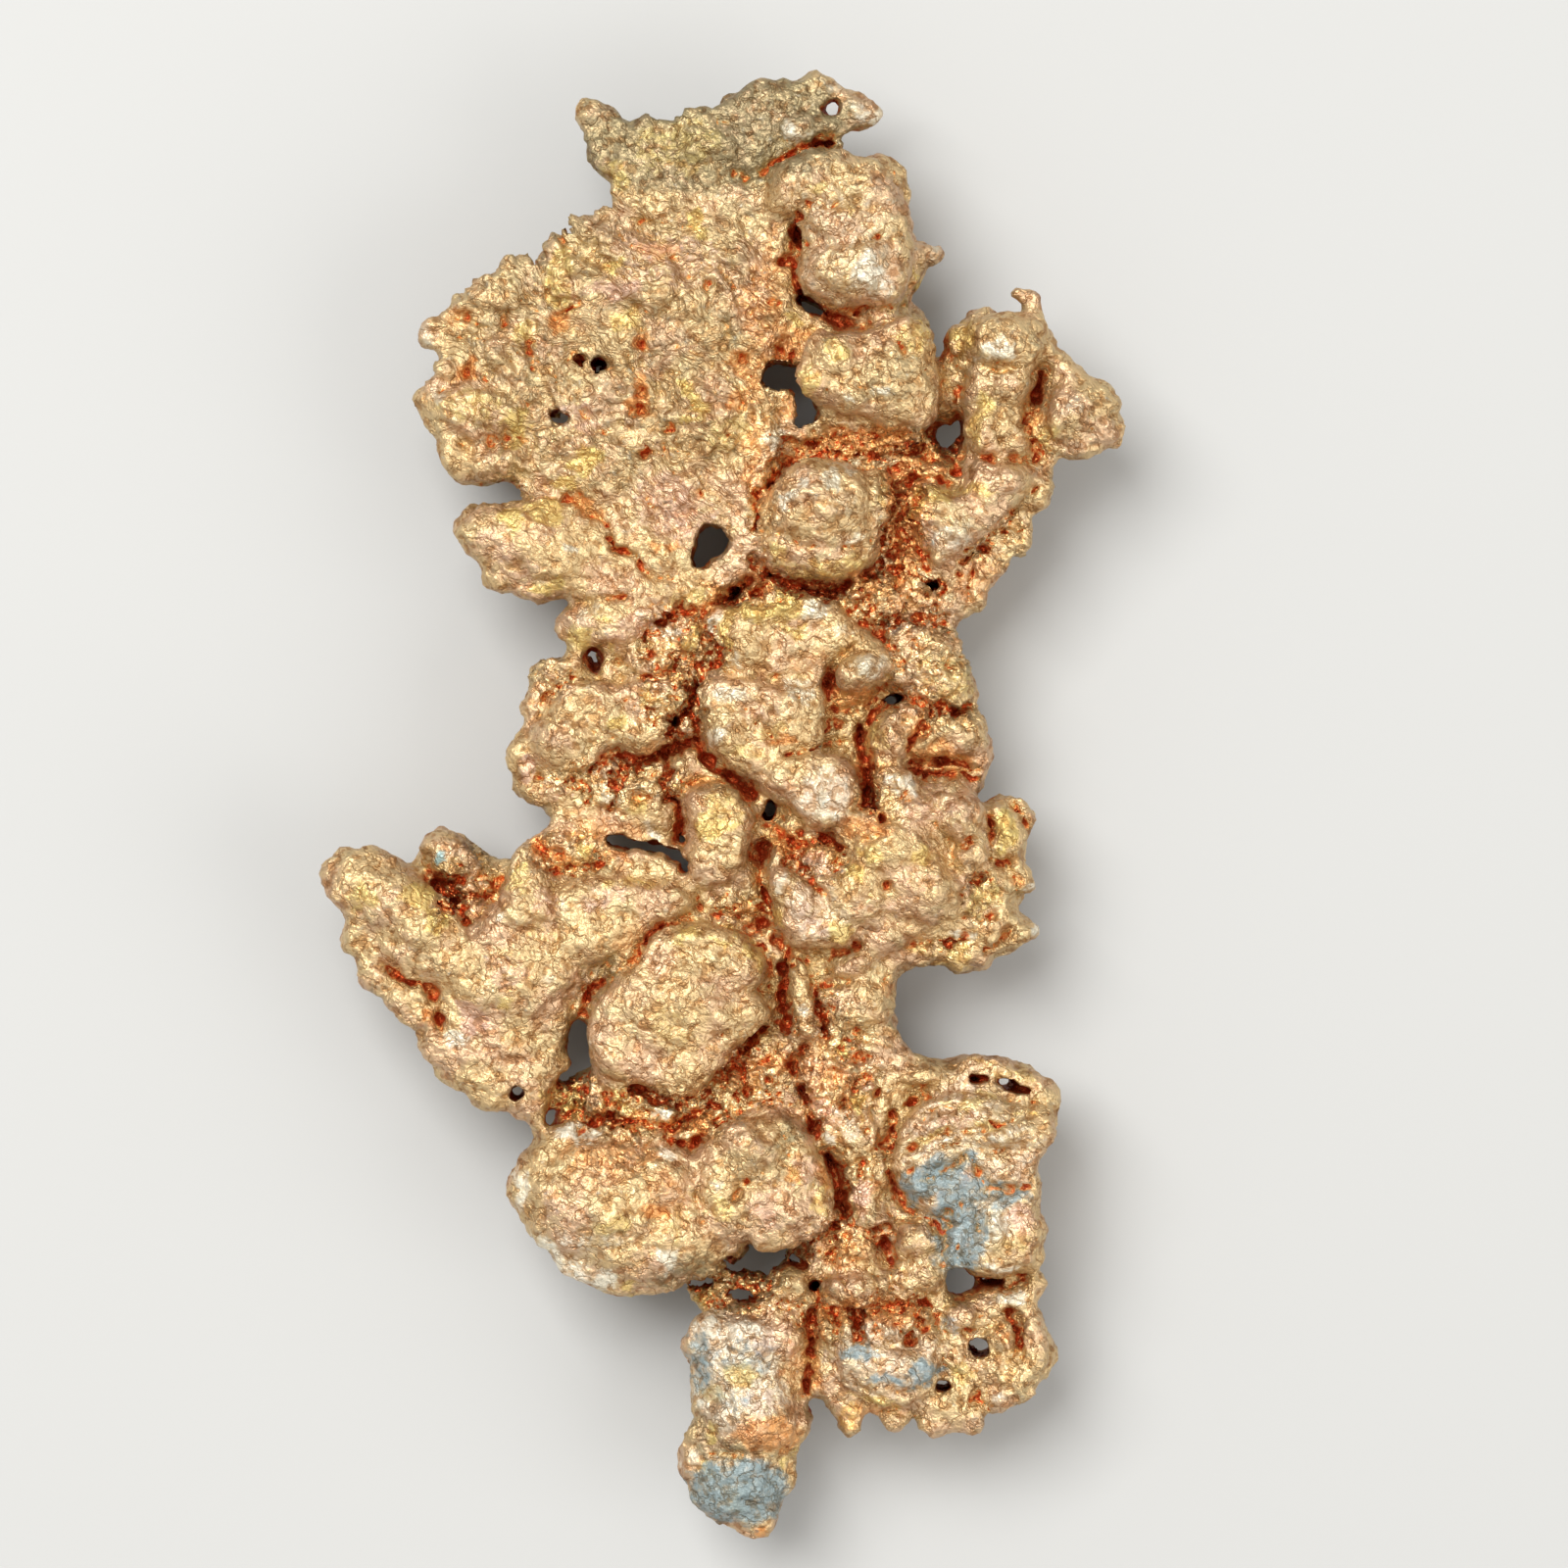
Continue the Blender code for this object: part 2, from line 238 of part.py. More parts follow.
# Swellings of the back, which carry the nugget where it lies
BACK = [
    (7.2, 35.0, 4.5, 4.0, 4.6, 4.8, 0), (-2.4, 40.2, 5.8, 4.2, 1.8, 2.2, 12),
    (-9.4, 27.6, 4.8, 5.6, 4.2, 3.6, -20), (-2.8, 21.4, 4.6, 4.6, 4.4, 3.6, 0),
    (-14.6, 22.4, 6.2, 2.8, 2.8, 2.6, 0), (9.6, 23.4, 4.2, 4.0, 4.4, 3.9, 0),
    (17.6, 24.4, 4.9, 3.0, 4.6, 3.6, 0), (13.2, 15.6, 4.2, 2.8, 4.2, 3.6, -20),
    (5.4, 14.6, 4.0, 4.2, 4.2, 3.4, 0), (-10.6, 15.4, 6.4, 4.4, 2.2, 2.4, -12),
    (1.6, 5.6, 4.1, 5.2, 4.6, 4.3, 15), (-8.4, 5.2, 4.6, 3.8, 3.8, 3.3, 0),
    (11.6, 7.2, 4.2, 3.6, 4.0, 3.4, 0), (11.0, -3.6, 4.2, 5.6, 4.8, 4.5, 0),
    (-12.4, -8.4, 4.6, 5.6, 4.6, 4.9, -10), (-20.6, -5.8, 6.2, 3.2, 2.6, 3.0, -30),
    (-13.4, -14.4, 5.6, 3.2, 3.6, 2.4, 0), (-2.2, -11.8, 4.2, 5.0, 4.8, 3.8, 0),
    (5.2, -17.6, 4.0, 4.2, 5.6, 3.6, 10), (-5.8, -24.8, 4.6, 5.4, 4.2, 3.9, 0),
    (15.0, -22.6, 4.4, 4.2, 4.8, 4.7, 0), (7.4, -26.8, 4.2, 3.8, 4.0, 3.6, 0),
    (12.4, -33.8, 4.6, 5.4, 3.2, 3.7, -10), (1.4, -37.6, 4.8, 2.9, 5.2, 3.3, -4),
    # smaller ones between them
    (-13.2, 29.6, 6.4, 2.8, 1.8, 2.4, 20), (0.4, 28.4, 5.2, 2.6, 3.2, 2.8, -30),
    (2.2, 38.2, 5.6, 2.2, 1.6, 2.6, 0), (10.6, 29.2, 4.4, 1.9, 2.4, 3.0, 15),
    (14.2, 20.6, 4.6, 2.4, 1.7, 2.8, 35), (21.4, 24.2, 6.4, 2.2, 1.9, 2.3, 0),
    (-7.0, 16.6, 5.6, 2.4, 1.8, 2.6, -30), (-5.8, 11.2, 5.4, 2.6, 1.6, 2.9, 10),
    (0.4, 10.6, 4.4, 1.9, 2.6, 3.1, 0), (8.4, 10.4, 3.9, 1.8, 2.2, 2.9, -20),
    (-3.6, 2.2, 4.6, 2.4, 1.8, 3.2, 0), (6.6, 1.2, 3.6, 1.9, 2.6, 3.0, 40),
    (14.4, 2.4, 4.8, 1.9, 2.4, 3.1, 0), (16.6, -4.2, 5.2, 1.9, 3.2, 2.9, 10),
    (3.4, -5.8, 4.2, 2.6, 2.2, 3.3, -35), (-5.4, -4.8, 4.6, 3.1, 1.7, 3.0, 12),
    (-16.8, -11.8, 5.2, 2.4, 1.9, 2.7, -40), (7.6, -11.6, 4.4, 2.2, 2.8, 3.0, 0),
    (-7.4, -17.8, 4.8, 2.3, 1.7, 2.6, 0), (-1.0, -19.4, 4.2, 2.2, 2.6, 3.0, 20),
    (0.2, -25.6, 4.0, 2.2, 2.6, 2.9, 0), (10.8, -18.8, 4.6, 1.9, 2.2, 3.1, 0),
    (17.4, -29.8, 5.2, 1.9, 1.8, 2.6, 0), (6.0, -31.8, 4.4, 2.0, 2.4, 2.9, 0),
    (17.4, -34.4, 5.2, 2.2, 1.9, 2.5, -30), (1.2, -43.0, 5.6, 1.7, 1.6, 2.1, 0),
]

# Gaps that go right through: middle (x, y), half sizes, turn in degrees
HOLES = [
    (6.6, 42.6, 0.8, 0.7, 0), (3.5, 26.1, 1.4, 1.0, 0), (5.0, 24.0, 0.8, 1.4, 15),
    (5.5, 30.6, 1.3, 0.6, -20), (-7.7, 27.0, 0.7, 0.7, 0), (-10.0, 23.7, 0.9, 0.7, 0),
    (-0.75, 15.9, 1.1, 1.4, -25), (13.75, 23.2, 0.5, 1.4, 5), (10.4, 6.6, 0.8, 0.6, -15),
    (2.75, -0.2, 0.6, 0.7, 0), (-5.2, -2.4, 2.4, 0.6, -10), (-12.7, -17.5, 0.6, 0.7, 0),
    (0.8, -30.1, 1.3, 0.55, -5), (2.6, -28.0, 1.7, 0.6, -18), (14.3, -29.1, 0.85, 0.85, 0),
    (15.6, -33.1, 0.85, 0.75, 0), (13.4, -35.5, 0.8, 0.7, 0), (17.3, -17.1, 2.1, 0.5, -12),
    (-8.0, 8.9, 0.3, 0.6, 0),
]

# Clefts that part the lumps: depth of the bottom, half width at the top, and the run of each
CLEFTS = [
    (7.4, 0.5, [(4.1, -8.6), (3.7, -10.2), (3.7, -11.4), (4.0, -13.0), (3.8, -14.2)]),
    (7.6, 0.5, [(4.7, -17.0), (5.4, -19.5), (6.6, -21.8), (7.1, -23.4), (7.2, -24.8)]),
    (7.8, 0.6, [(1.6, 16.4), (2.2, 14.2), (4.6, 12.9), (7.6, 13.0), (9.6, 14.6),
                (10.4, 17.4), (9.8, 20.0)]),
    (8.2, 0.5, [(1.5, 18.0), (2.2, 20.2), (4.6, 21.9), (8.0, 22.0)]),
    (7.4, 0.5, [(0.9, 13.0), (-1.7, 12.2), (-3.8, 11.2), (-4.6, 9.6), (-2.6, 8.6)]),
    (7.0, 0.5, [(-7.0, 2.5), (-5.0, 2.9), (-3.6, 3.4), (-1.9, 4.4), (-1.3, 3.2),
                (-0.8, 2.2), (0.9, 1.8), (1.9, 0.7)]),
    (7.6, 0.4, [(7.9, 4.6), (8.6, 2.6), (9.1, 1.1), (10.2, -0.4)]),
    (7.6, 0.5, [(-1.2, -6.4), (-3.5, -7.1), (-5.3, -8.4), (-6.7, -10.0), (-8.2, -11.6)]),
    (8.2, 0.5, [(1.2, 12.6), (4.2, 13.4)]),
    (7.6, 0.5, [(11.7, 2.2), (13.2, 1.9), (14.8, 1.2)]),
    (8.0, 0.5, [(1.4, 38.4), (3.4, 38.4), (4.1, 36.6), (3.6, 34.0), (4.0, 31.6)]),
    (8.6, 0.4, [(-9.6, 19.0), (-8.0, 17.9), (-6.6, 15.8), (-5.0, 14.8), (-3.2, 14.2)]),
    (7.4, 0.4, [(-20.4, -9.8), (-18.4, -10.8), (-17.2, -12.8)]),
    (7.2, 0.5, [(-17.6, -5.2), (-15.8, -7.0), (-14.6, -7.6), (-14.2, -5.4)]),
    (7.4, 0.4, [(10.6, -19.2), (10.3, -21.6), (10.9, -24.0)]),
    (7.4, 0.4, [(6.2, -28.0), (5.4, -30.0), (5.4, -33.6), (5.3, -36.0)]),
    (8.6, 0.3, [(11.6, -20.8), (14.0, -21.6), (17.0, -21.0), (19.0, -21.6)]),
    (8.0, 0.4, [(-0.6, -18.8), (-1.4, -21.4), (-0.6, -24.4), (2.2, -26.8)]),
    (7.8, 0.4, [(14.6, 21.2), (12.8, 20.8), (12.9, 19.0)]),
    (8.4, 0.4, [(18.8, 25.8), (19.3, 23.8), (18.9, 22.0)]),
    (8.8, 0.35, [(7.9, 30.0), (9.6, 29.7), (11.4, 30.4)]),
    (8.4, 0.4, [(6.2, 5.6), (7.4, 5.9), (9.0, 5.6), (10.6, 6.2)]),
]


def lump(bm, x, y, z, half_x, half_y, half_z, turn):
    """Add a rounded lump: an icosphere, stretched and turned."""
    place = Matrix.Translation((x, y, z)) @ Matrix.Rotation(math.radians(turn), 4, "Z")
    size = Matrix.Diagonal((half_x, half_y, half_z, 1.0))
    bmesh.ops.create_icosphere(bm, subdivisions=3, radius=1.0, matrix=place @ size)


def ribbon(points, middle, half_height, rim, closed):
    """Make the mesh of a flat outline, or of an upright wall along a path, with a rounded rim."""
    curve = bpy.data.curves.new("outline", "CURVE")
    curve.dimensions = "2D"
    curve.fill_mode = "BOTH" if closed else "NONE"
    curve.extrude = half_height - rim
    curve.bevel_depth = rim
    curve.bevel_resolution = 1
    curve.offset = -rim if closed else 0.0
    curve.use_fill_caps = not closed
    spline = curve.splines.new("POLY")
    spline.points.add(len(points) - 1)
    for point, (x, y) in zip(spline.points, points):
        point.co = (x, y, 0.0, 1.0)
    spline.use_cyclic_u = closed
    shape = bpy.data.objects.new("outline", curve)
    bpy.context.scene.collection.objects.link(shape)
    bpy.context.view_layer.update()
    mesh = bpy.data.meshes.new_from_object(shape.evaluated_get(bpy.context.evaluated_depsgraph_get()))
    mesh.transform(Matrix.Translation((0.0, 0.0, middle)))
    bpy.data.objects.remove(shape)
    return mesh


def add_lobe(bm, middle, half, rim, slope_x, slope_y, outline):
    """Add a leaf or lobe, tilted about its own middle."""
    mesh = ribbon(outline, middle, half, rim, closed=True)
    centre_x = sum(x for x, y in outline) / len(outline)
    centre_y = sum(y for x, y in outline) / len(outline)
    for vert in mesh.vertices:
        vert.co.z += slope_x * (vert.co.x - centre_x) + slope_y * (vert.co.y - centre_y)
    bm.from_mesh(mesh)


def add_wall(bm, bottom, half_width, path):
    """Add an upright wall with a rounded foot, which cuts a cleft into the front."""
    half_height = (FRONT_TOP - bottom) / 2
    bm.from_mesh(ribbon(path, bottom + half_height, half_height, half_width, closed=False))


def add_skin(piece, name, voxel):
    """Melt everything in a piece into one skin."""
    skin = piece.modifiers.new(name, "REMESH")
    skin.mode = "VOXEL"
    skin.voxel_size = voxel * MM


def new_object(bm, name, collection, voxel):
    """Turn shapes given in millimetres into one object whose skin melts them together."""
    bmesh.ops.remove_doubles(bm, verts=bm.verts, dist=WELD)
    bmesh.ops.scale(bm, vec=(MM, MM, MM), verts=bm.verts)
    mesh = bpy.data.meshes.new(name)
    bm.to_mesh(mesh)
    bm.free()
    piece = bpy.data.objects.new(name, mesh)
    collection.objects.link(piece)
    add_skin(piece, "skin", voxel)
    return piece


def cut(piece, cutter):
    """Subtract a cutter from a piece, and show the cutter as a wire only."""
    taken = piece.modifiers.new(cutter.name, "BOOLEAN")
    taken.operation = "DIFFERENCE"
    taken.object = cutter
    cutter.hide_render = True
    cutter.display_type = "WIRE"


def copper():
    """Make the nugget's material: bare copper, gold to rose where it is rubbed clean."""
    material = bpy.data.materials.new("native copper")
    material.use_nodes = True
    shader = material.node_tree.nodes["Principled BSDF"]
    shader.inputs["Base Color"].default_value = (0.60, 0.36, 0.19, 1.0)
    shader.inputs["Metallic"].default_value = 0.9
    shader.inputs["Roughness"].default_value = 0.45
    return material


def gaps_and_clefts(collection):
    """Make the cutter of every gap through the nugget and every cleft in its front."""
    bm = bmesh.new()
    for x, y, half_x, half_y, turn in HOLES:
        place = Matrix.Translation((x, y, FRONT_TOP / 2))
        place = place @ Matrix.Rotation(math.radians(turn), 4, "Z")
        size = Matrix.Diagonal((half_x, half_y, 1.0, 1.0))
        bmesh.ops.create_cone(bm, cap_ends=True, segments=16, radius1=1.0, radius2=1.0,
                              depth=FRONT_TOP + 4.0, matrix=place @ size)
    for bottom, half_width, path in CLEFTS:
        add_wall(bm, bottom, half_width, path)
    return new_object(bm, "gaps and clefts", collection, CUTTER_VOXEL)


def surface_slab(collection):
    """Make the block under the nugget, whose top trims the lowest lumps flat."""
    bm = bmesh.new()
    place = Matrix.Translation((0.0, 0.0, -FLOOR_SLAB[2] / 2))
    bmesh.ops.create_cube(bm, size=1.0, matrix=place @ Matrix.Diagonal((*FLOOR_SLAB, 1.0)))
    bmesh.ops.scale(bm, vec=(MM, MM, MM), verts=bm.verts)
    mesh = bpy.data.meshes.new("surface")
    bm.to_mesh(mesh)
    bm.free()
    piece = bpy.data.objects.new("surface", mesh)
    collection.objects.link(piece)
    return piece


def nugget(parts, cutters):
    """Make the nugget: lobes and lumps melted together, opened, thinned and set on flats."""
    bm = bmesh.new()
    for lobe in LOBES.values():
        add_lobe(bm, *lobe)
    for form in FRONT + BACK:
        lump(bm, *form)
    piece = new_object(bm, "copper_nugget", parts, SKIN_VOXEL)
    cut(piece, gaps_and_clefts(cutters))
    hackle = piece.modifiers.new("hackle", "DISPLACE")
    hackle.texture = bpy.data.textures.new("hackle", "CLOUDS")
    hackle.texture.noise_scale = HACKLE_SPAN * MM
    hackle.strength = HACKLE * MM
    hackle.mid_level = 0.5
    add_skin(piece, "even skin", SKIN_VOXEL)
    soften = piece.modifiers.new("worn edges", "SMOOTH")
    soften.factor = WEAR
    soften.iterations = 1
    thin = piece.modifiers.new("fewer faces", "DECIMATE")
    thin.ratio = TRIANGLES_KEPT
    cut(piece, surface_slab(cutters))
    piece.data.materials.append(copper())
    return piece


def main():
    for old in list(bpy.data.objects):
        bpy.data.objects.remove(old)
    parts = bpy.data.collections.new("native copper nugget")
    cutters = bpy.data.collections.new("cutters")
    for collection in (parts, cutters):
        bpy.context.scene.collection.children.link(collection)
    nugget(parts, cutters)


main()
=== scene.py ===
import math

import bmesh
import bpy
import numpy as np
from mathutils import Matrix, Vector, noise
from mathutils.bvhtree import BVHTree


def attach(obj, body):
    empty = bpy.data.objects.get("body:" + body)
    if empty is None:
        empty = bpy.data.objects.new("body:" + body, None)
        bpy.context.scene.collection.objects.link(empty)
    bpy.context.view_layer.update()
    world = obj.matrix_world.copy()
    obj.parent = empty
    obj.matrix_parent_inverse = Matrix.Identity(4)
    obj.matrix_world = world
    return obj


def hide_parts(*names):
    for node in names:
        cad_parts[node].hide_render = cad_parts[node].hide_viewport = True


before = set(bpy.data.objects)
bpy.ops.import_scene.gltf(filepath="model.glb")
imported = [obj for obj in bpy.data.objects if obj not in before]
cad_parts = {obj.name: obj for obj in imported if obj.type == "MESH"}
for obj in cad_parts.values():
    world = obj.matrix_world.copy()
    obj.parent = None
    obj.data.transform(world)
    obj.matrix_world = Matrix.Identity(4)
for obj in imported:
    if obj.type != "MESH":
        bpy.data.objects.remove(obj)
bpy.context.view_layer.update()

# --- The crest -------------------------------------------------------------------------
# The thin blade of native copper at the nugget's top end, with a finger on its left and a
# pointed tip on its right. It grew flat in a crack of the rock, so its rim is scalloped.
# Everything here is laid out in millimetres, and the skin section turns it into metres.
MM = 0.001
copper = bmesh.new()
creases = []  # every fold in the front: (depth, half width, path)
pits = []  # every dimple in the front: (x, y, radius, depth)
gaps = []  # every gap right through: (x, y, half sizes, and its turn if it's turned)
# Two of the kinds are partly painted light: the silver patches are painted highlights, and the
# orange patches add painted shade and copper reflection in hollows over the metal's own orange
# tone.
patches = {}  # where each kind of surface lies: (x, y, half sizes, strength, and its turn)


def leaf(middle, half, rim, slope_x, slope_y, outline):
    """Push an outline up through its thickness, round its rim and tilt it about its middle."""
    made = [copper.verts.new((x, y, middle - half)) for x, y in outline]
    base = copper.faces.new(made)
    pushed = bmesh.ops.extrude_face_region(copper, geom=[base])["geom"]
    lids = [base] + [item for item in pushed if isinstance(item, bmesh.types.BMFace)]
    top = [item for item in pushed if isinstance(item, bmesh.types.BMVert)]
    bmesh.ops.translate(copper, verts=top, vec=(0, 0, 2 * half))
    centre_x = sum(x for x, y in outline) / len(outline)
    centre_y = sum(y for x, y in outline) / len(outline)
    for vert in made + top:
        vert.co.z += slope_x * (vert.co.x - centre_x) + slope_y * (vert.co.y - centre_y)
    rims = [edge for face in lids for edge in face.edges]
    bmesh.ops.bevel(copper, geom=rims, offset=rim, segments=3, profile=0.5,
                    affect="EDGES", clamp_overlap=False, material=-1)


def lumps(*forms):
    """Add rounded swellings: (x, y, z, half sizes, and its turn if it's turned) each."""
    for x, y, z, half_x, half_y, half_z, *turn in forms:
        place = Matrix.Translation((x, y, z)) @ Matrix.Rotation(math.radians(sum(turn)), 4, "Z")
        size = Matrix.Diagonal((half_x, half_y, half_z, 1))
        bmesh.ops.create_icosphere(copper, subdivisions=3, radius=1, matrix=place @ size)


def patch(kind, *ellipses):
    """Note where a kind of surface lies; the silver and orange kinds also carry painted highlight
    and painted shade.
    """
    patches.setdefault(kind, []).extend(ellipses)


leaf(8.3, 1.5, 0.9, 0.02, -0.05, [
    (-8.3, 39.8), (-8, 40.7), (-8.8, 41.5), (-9.2, 42.4), (-8.9, 43), (-8.1, 43.2), (-7.3, 42.9),
    (-6.4, 42), (-5.6, 41.4), (-5.2, 42), (-4.6, 42.3), (-3.9, 42), (-3, 42), (-2.3, 42.7),
    (-1.5, 42.9), (-0.8, 42.6), (-0.3, 42.3), (-0.2, 43.3), (0.3, 43.5), (0.9, 43.4), (1.7, 44.1),
    (3.1, 44.4), (4.4, 44.2), (5, 44.6), (5.5, 45), (6.1, 44.7), (7, 44.1), (8, 43.5), (9, 43.2),
    (9.7, 42.6), (9.9, 42.1), (9.2, 41.7), (8.2, 41.4), (7.4, 41.1), (7.3, 40.5), (7.6, 39.5),
    (5, 37), (0, 35), (-4, 35.5), (-6.4, 36.9), (-6.7, 37.6), (-6.4, 38.2), (-7.3, 38.4), (-8, 39)])
lumps(
    (-7.4, 41.6, 8.4, 1.1, 1.9, 1.3, 40), (-8.2, 42.5, 8.4, 0.8, 0.7, 1.1),
    (-4.5, 41.2, 8.6, 1, 0.9, 1.3), (-1.4, 41.9, 8.6, 1.1, 0.9, 1.3), (1, 42.4, 8.6, 1, 1, 1.4),
    (3.2, 43.2, 8.5, 1.6, 0.9, 1.3), (5.5, 43.9, 8.4, 0.8, 0.9, 1.1),
    (-1, 40.2, 8.9, 4, 1.2, 1.5, 10), (5, 41.2, 9, 2.2, 1, 1.8), (8, 42.3, 8.2, 1.4, 0.6, 1, -12))
creases += [
    (1.5, 0.3, [(0.6, 38.4), (2.5, 38.5), (3.2, 39.1), (4.2, 39.7), (5.4, 40.1), (6.2, 40.3)]),
    (0.7, 0.25, [(-6.6, 40.6), (-5.4, 40.2), (-4.9, 41.2)]),
    (0.5, 0.25, [(-3.4, 39.6), (-2.6, 40.9), (-2.7, 41.8)]),
    (0.5, 0.25, [(0.2, 41.8), (1.6, 41.2), (3.4, 41.9)]), (0.5, 0.25, [(-0.4, 42.4), (-0.2, 41.2)])]
gaps += [(6.6, 42.6, 0.6, 0.45, 10)]
patch("gold", (-2.6, 40.2, 3, 1.8, 0.45, 15), (-6.6, 38.6, 1.2, 1, 0.6))
patch("dull", (0.5, 40.8, 9, 2.8, 0.9, 6), (-7.6, 41.6, 1.6, 1.8, 0.6))
patch("chalk",
    (9, 42.1, 1.2, 0.6, 0.7, -15), (6.9, 44, 0.8, 0.5, 0.5), (4.4, 40.9, 0.9, 0.5, 0.7, -50))

# --- The leaf --------------------------------------------------------------------------
# The broad sheet of the upper left, about three millimetres of solid copper. It is
# wrinkled from its upper left to its lower right, and dissolved through in small holes.
leaf(7.8, 1.7, 0.9, 0.04, 0, [
    (-6.6, 37), (-7.3, 36.4), (-7.8, 35.9), (-8.9, 35.8), (-9.5, 35.4), (-9.5, 34.7), (-10.4, 34.5),
    (-11, 34.4), (-11.1, 33.8), (-10.9, 33), (-11.3, 32.7), (-11.9, 33.2), (-12.7, 33.4),
    (-13.3, 33.1), (-13.6, 32.4), (-14.6, 32.1), (-15.4, 31.3), (-16.5, 31), (-17.1, 30.3),
    (-17.7, 29.8), (-18.5, 29.6), (-18.8, 28.9), (-18.6, 28.2), (-17.6, 28), (-17, 27.6),
    (-17.4, 27), (-17.5, 26.4), (-17.9, 25.6), (-18.8, 25.1), (-19, 24.6), (-18.7, 24),
    (-18.3, 23.6), (-17.9, 22.8), (-17.3, 21.7), (-16.8, 20.9), (-16.4, 19.9), (-15.8, 19.7),
    (-14, 19.6), (-12.8, 19.9), (-12.5, 19.3), (-11.5, 18.9), (-9, 17), (-6, 15), (-2, 13.6),
    (2, 13.4), (3, 18), (3.5, 24), (4.8, 28), (4.8, 32), (4.6, 36), (2, 38.5), (-3, 38.8)])
lumps(
    (-15.2, 24.1, 8.9, 2.9, 1.7, 2, -12), (-13.9, 20.9, 8.6, 2.2, 1.1, 1.7),
    (-13.6, 31.2, 8.6, 2.4, 1.3, 1.8, 18), (-9.6, 32.4, 8.8, 3, 2, 1.5),
    (-4, 32, 9, 4.6, 2.8, 1.7, -35), (-1.2, 24.6, 8.8, 3.2, 5.2, 1.8, 25),
    (-7.6, 20.6, 8.8, 3.4, 2.2, 1.7, -25), (-2.4, 18.6, 8.6, 3.4, 2, 1.7, -35),
    (-12.6, 32.7, 8.4, 1.1, 0.9, 1.5), (-10.2, 33.9, 8.6, 0.9, 0.9, 1.5),
    (-8.6, 35, 8.8, 1.2, 1, 1.5, 10), (-7, 34, 9, 1.2, 1.1, 1.5),
    (-15.8, 30.6, 8.4, 1, 0.7, 1.4, 20), (-18, 28.9, 7.9, 0.8, 0.8, 1.3),
    (-16.6, 28.6, 8.3, 0.9, 0.9, 1.3), (-18, 24.7, 7.9, 1, 0.8, 1.4),
    (-16.6, 21.6, 8.3, 0.9, 1.3, 1.4, 20), (-13.6, 28, 8.8, 1.6, 1.1, 1.5, 30),
    (-12.6, 26, 8.7, 1.4, 1, 1.5, -10), (-9.6, 20, 8.8, 1.6, 0.8, 1.4, -40),
    (1.2, 34, 9, 1.2, 2.6, 1.6, 20), (2.4, 30.4, 8.8, 1, 2, 1.6, -10),
    (3.8, 24.3, 7.4, 0.7, 1.1, 1.4, 8), (-1.4, 22.2, 9, 2.2, 0.8, 1.3, -15))
creases += [
    (0.7, 0.3, [(-5.7, 35.6), (-4.4, 35.6), (-3, 35.6), (-1.8, 35.2)]),
    (0.5, 0.25, [(-5.4, 34.9), (-4.2, 34.8), (-3.1, 35)]),
    (0.7, 0.25, [(-5.2, 33.8), (-4.2, 33.4), (-3, 33.5), (-2.2, 32.9), (-2, 31.9)]),
    (1, 0.25, [(-9.6, 18.9), (-8.8, 18.5), (-8, 17.7), (-7, 17.1)]),
    (1.3, 0.25, [(-6.8, 16.2), (-6.5, 15.4), (-5.4, 14.9), (-4.4, 14.1), (-3, 13.9)]),
    (0.9, 0.22, [(-10.4, 29.8), (-9.6, 30.2), (-8.9, 30.4)]),
    (0.5, 0.2, [(-6.4, 30.3), (-5, 30.3), (-3.9, 29.7), (-3, 30.2)]),
    (0.5, 0.2, [(-1.9, 33), (-0.6, 33.1), (0.6, 32.4), (1.1, 31), (1.6, 29.7)]),
    (0.5, 0.2, [(-3.9, 26.4), (-2.4, 26.3), (-1, 25.6), (0.4, 24.2)]),
    (0.5, 0.2, [(-4.2, 26.9), (-3.9, 25.4), (-3, 24)]),
    (0.5, 0.2, [(-3.4, 22.9), (-1.9, 23.1), (-0.2, 22.6), (1.4, 22.9)]),
    (0.5, 0.2, [(-3.6, 22.2), (-2.6, 21.5), (-1, 21), (0.2, 20)]),
    (0.5, 0.22, [(-15, 28.6), (-14.2, 28.9), (-13, 29.6)]),
    (0.6, 0.25, [(-16.8, 22.4), (-15.4, 22.3), (-14, 22.1), (-12.6, 22.4), (-11, 21.4)]),
    (0.6, 0.25, [(-17.9, 24.2), (-17.4, 25.3), (-16, 25.8), (-14.4, 25.9)]),
    (0.5, 0.22, [(-12.8, 20.6), (-11.6, 20), (-10.4, 18.9)]),
    (0.6, 0.4, [(-9.4, 24.3), (-8.4, 23.9), (-8.2, 23), (-7.6, 22.6)]),
    (0.4, 0.2, [(-12.4, 24.9), (-11.9, 23.8), (-11.2, 23.2)]),
    (0.4, 0.2, [(-7.4, 21.6), (-7.4, 20.6), (-6.6, 19.8), (-5, 20.6)]),
    (0.4, 0.2, [(-8.6, 19.6), (-7.2, 18.4), (-6, 17.2), (-5.4, 16.4)]),
    (0.4, 0.2, [(-3.4, 20.2), (-3.2, 18.8), (-2.2, 17.4)]),
    (0.5, 0.22, [(-11.3, 32.7), (-10.6, 31.6), (-10.9, 30.8)]),
    (0.4, 0.22, [(-7.4, 33.4), (-6.9, 32.2), (-5.4, 31.8)])]
